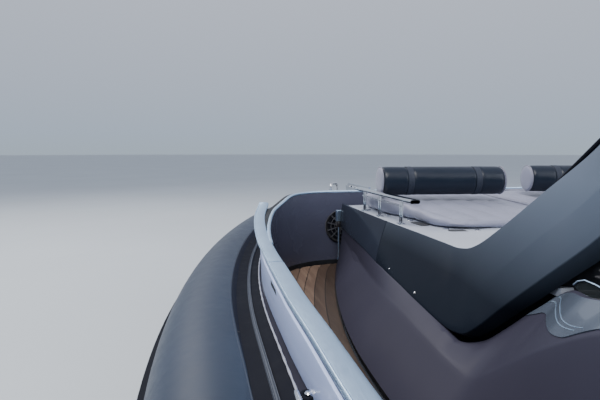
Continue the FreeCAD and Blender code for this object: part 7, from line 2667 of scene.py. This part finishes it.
# non-skid panels on the foredeck each side of the locker
ns = []
half_ = [(0.40, -7.62), (0.62, -7.52), (0.95, -7.05), (1.22, -6.62), (1.36, -6.28), (1.36, -6.12), (0.40, -6.12)]
o = closed_round(half_, 0.05, 4)
ns.append(capped([[(x, y, float(shelf_z(y)) - 0.004) for x, y in o], [(x, y, float(shelf_z(y)) + 0.0050) for x, y in o], [(x, y, float(shelf_z(y)) + 0.0058) for x, y in inset(o, 0.003)]]))
make("foredeck_nonskid", *twin(merge(*ns)), M["nonskid"], "pale_deck", sharp=32)


# ---------------------------------------------------------------- floor and light
def studio():
    w = bpy.data.worlds.new("studio")
    scene.world = w
    w.use_nodes = True
    t = w.node_tree
    t.nodes.clear()
    out = t.nodes.new("ShaderNodeOutputWorld")
    bg = t.nodes.new("ShaderNodeBackground")
    co = t.nodes.new("ShaderNodeTexCoord")
    sep = t.nodes.new("ShaderNodeSeparateXYZ")
    ramp = t.nodes.new("ShaderNodeValToRGB")
    t.links.new(co.outputs["Generated"], sep.inputs[0])
    mp = t.nodes.new("ShaderNodeMapRange")
    for k, v in (("From Min", -0.15), ("From Max", 1.0)):
        mp.inputs[k].default_value = v
    t.links.new(sep.outputs["Z"], mp.inputs["Value"])
    t.links.new(mp.outputs["Result"], ramp.inputs["Fac"])
    e = ramp.color_ramp.elements
    e[0].position, e[0].color = 0.10, (0.50, 0.60, 0.68, 1)
    e[1].position, e[1].color = 1.0, (0.66, 0.72, 0.86, 1)
    mid = e.new(0.16)
    mid.color = (0.53, 0.63, 0.78, 1)
    hi = e.new(0.40)
    hi.color = (0.71, 0.77, 0.90, 1)
    t.links.new(ramp.outputs["Color"], bg.inputs["Color"])
    bg.inputs["Strength"].default_value = 0.85
    t.links.new(bg.outputs[0], out.inputs["Surface"])


studio()


def soft_light(name, loc, target, size, power, color=(1, 1, 1)):
    d = bpy.data.lights.new(name, "AREA")
    d.shape = "DISK"
    d.size = size
    d.energy = power
    d.color = color
    o = bpy.data.objects.new(name, d)
    o.location = loc
    o.rotation_euler = (Vector(target) - Vector(loc)).to_track_quat("-Z", "Y").to_euler()
    scene.collection.objects.link(o)
    return o


soft_light("key", (10.0, -16.0, 15.0), (0.5, -3.0, 1.0), 12.0, 2600.0, (1.0, 0.96, 0.93))
soft_light("fill", (-14.0, 12.0, 14.0), (0.0, 0.0, 1.0), 14.0, 1500.0, (0.90, 0.94, 1.0))
soft_light("top", (5.0, 3.0, 15.0), (1.0, -3.5, 1.2), 9.0, 2400.0, (1.0, 0.97, 0.94))

fv = [(240 * math.cos(a), 240 * math.sin(a), 0.0) for a in np.linspace(0, 2 * math.pi, 96, endpoint=False)]
fm = bpy.data.meshes.new("floor")
fm.from_pydata(fv, [], [tuple(range(96))])
floor_ob = bpy.data.objects.new("floor", fm)
scene.collection.objects.link(floor_ob)
fmat = Mat("floor_paint", Specular_IOR_Level=0.3)
fmat.set(Base_Color=fmat.ramp(fmat.noise(0.2), [(0.3, (0.50, 0.54, 0.57)), (0.7, (0.53, 0.57, 0.60))]))
fmat.set(Roughness=fmat.remap(fmat.noise(1.0), 0.3, 0.7, 0.6, 0.7))
fm.materials.append(fmat.m)

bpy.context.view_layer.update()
# the largest cushions carry more faces than their soft shapes need
for name in ("lounge_seats", "aft_sunpads", "lounge_backs", "seat_backs"):
    ob = bpy.data.objects.get(name)
    if ob is not None:
        thin_ = ob.modifiers.new("thin", "DECIMATE")
        thin_.ratio = 0.55
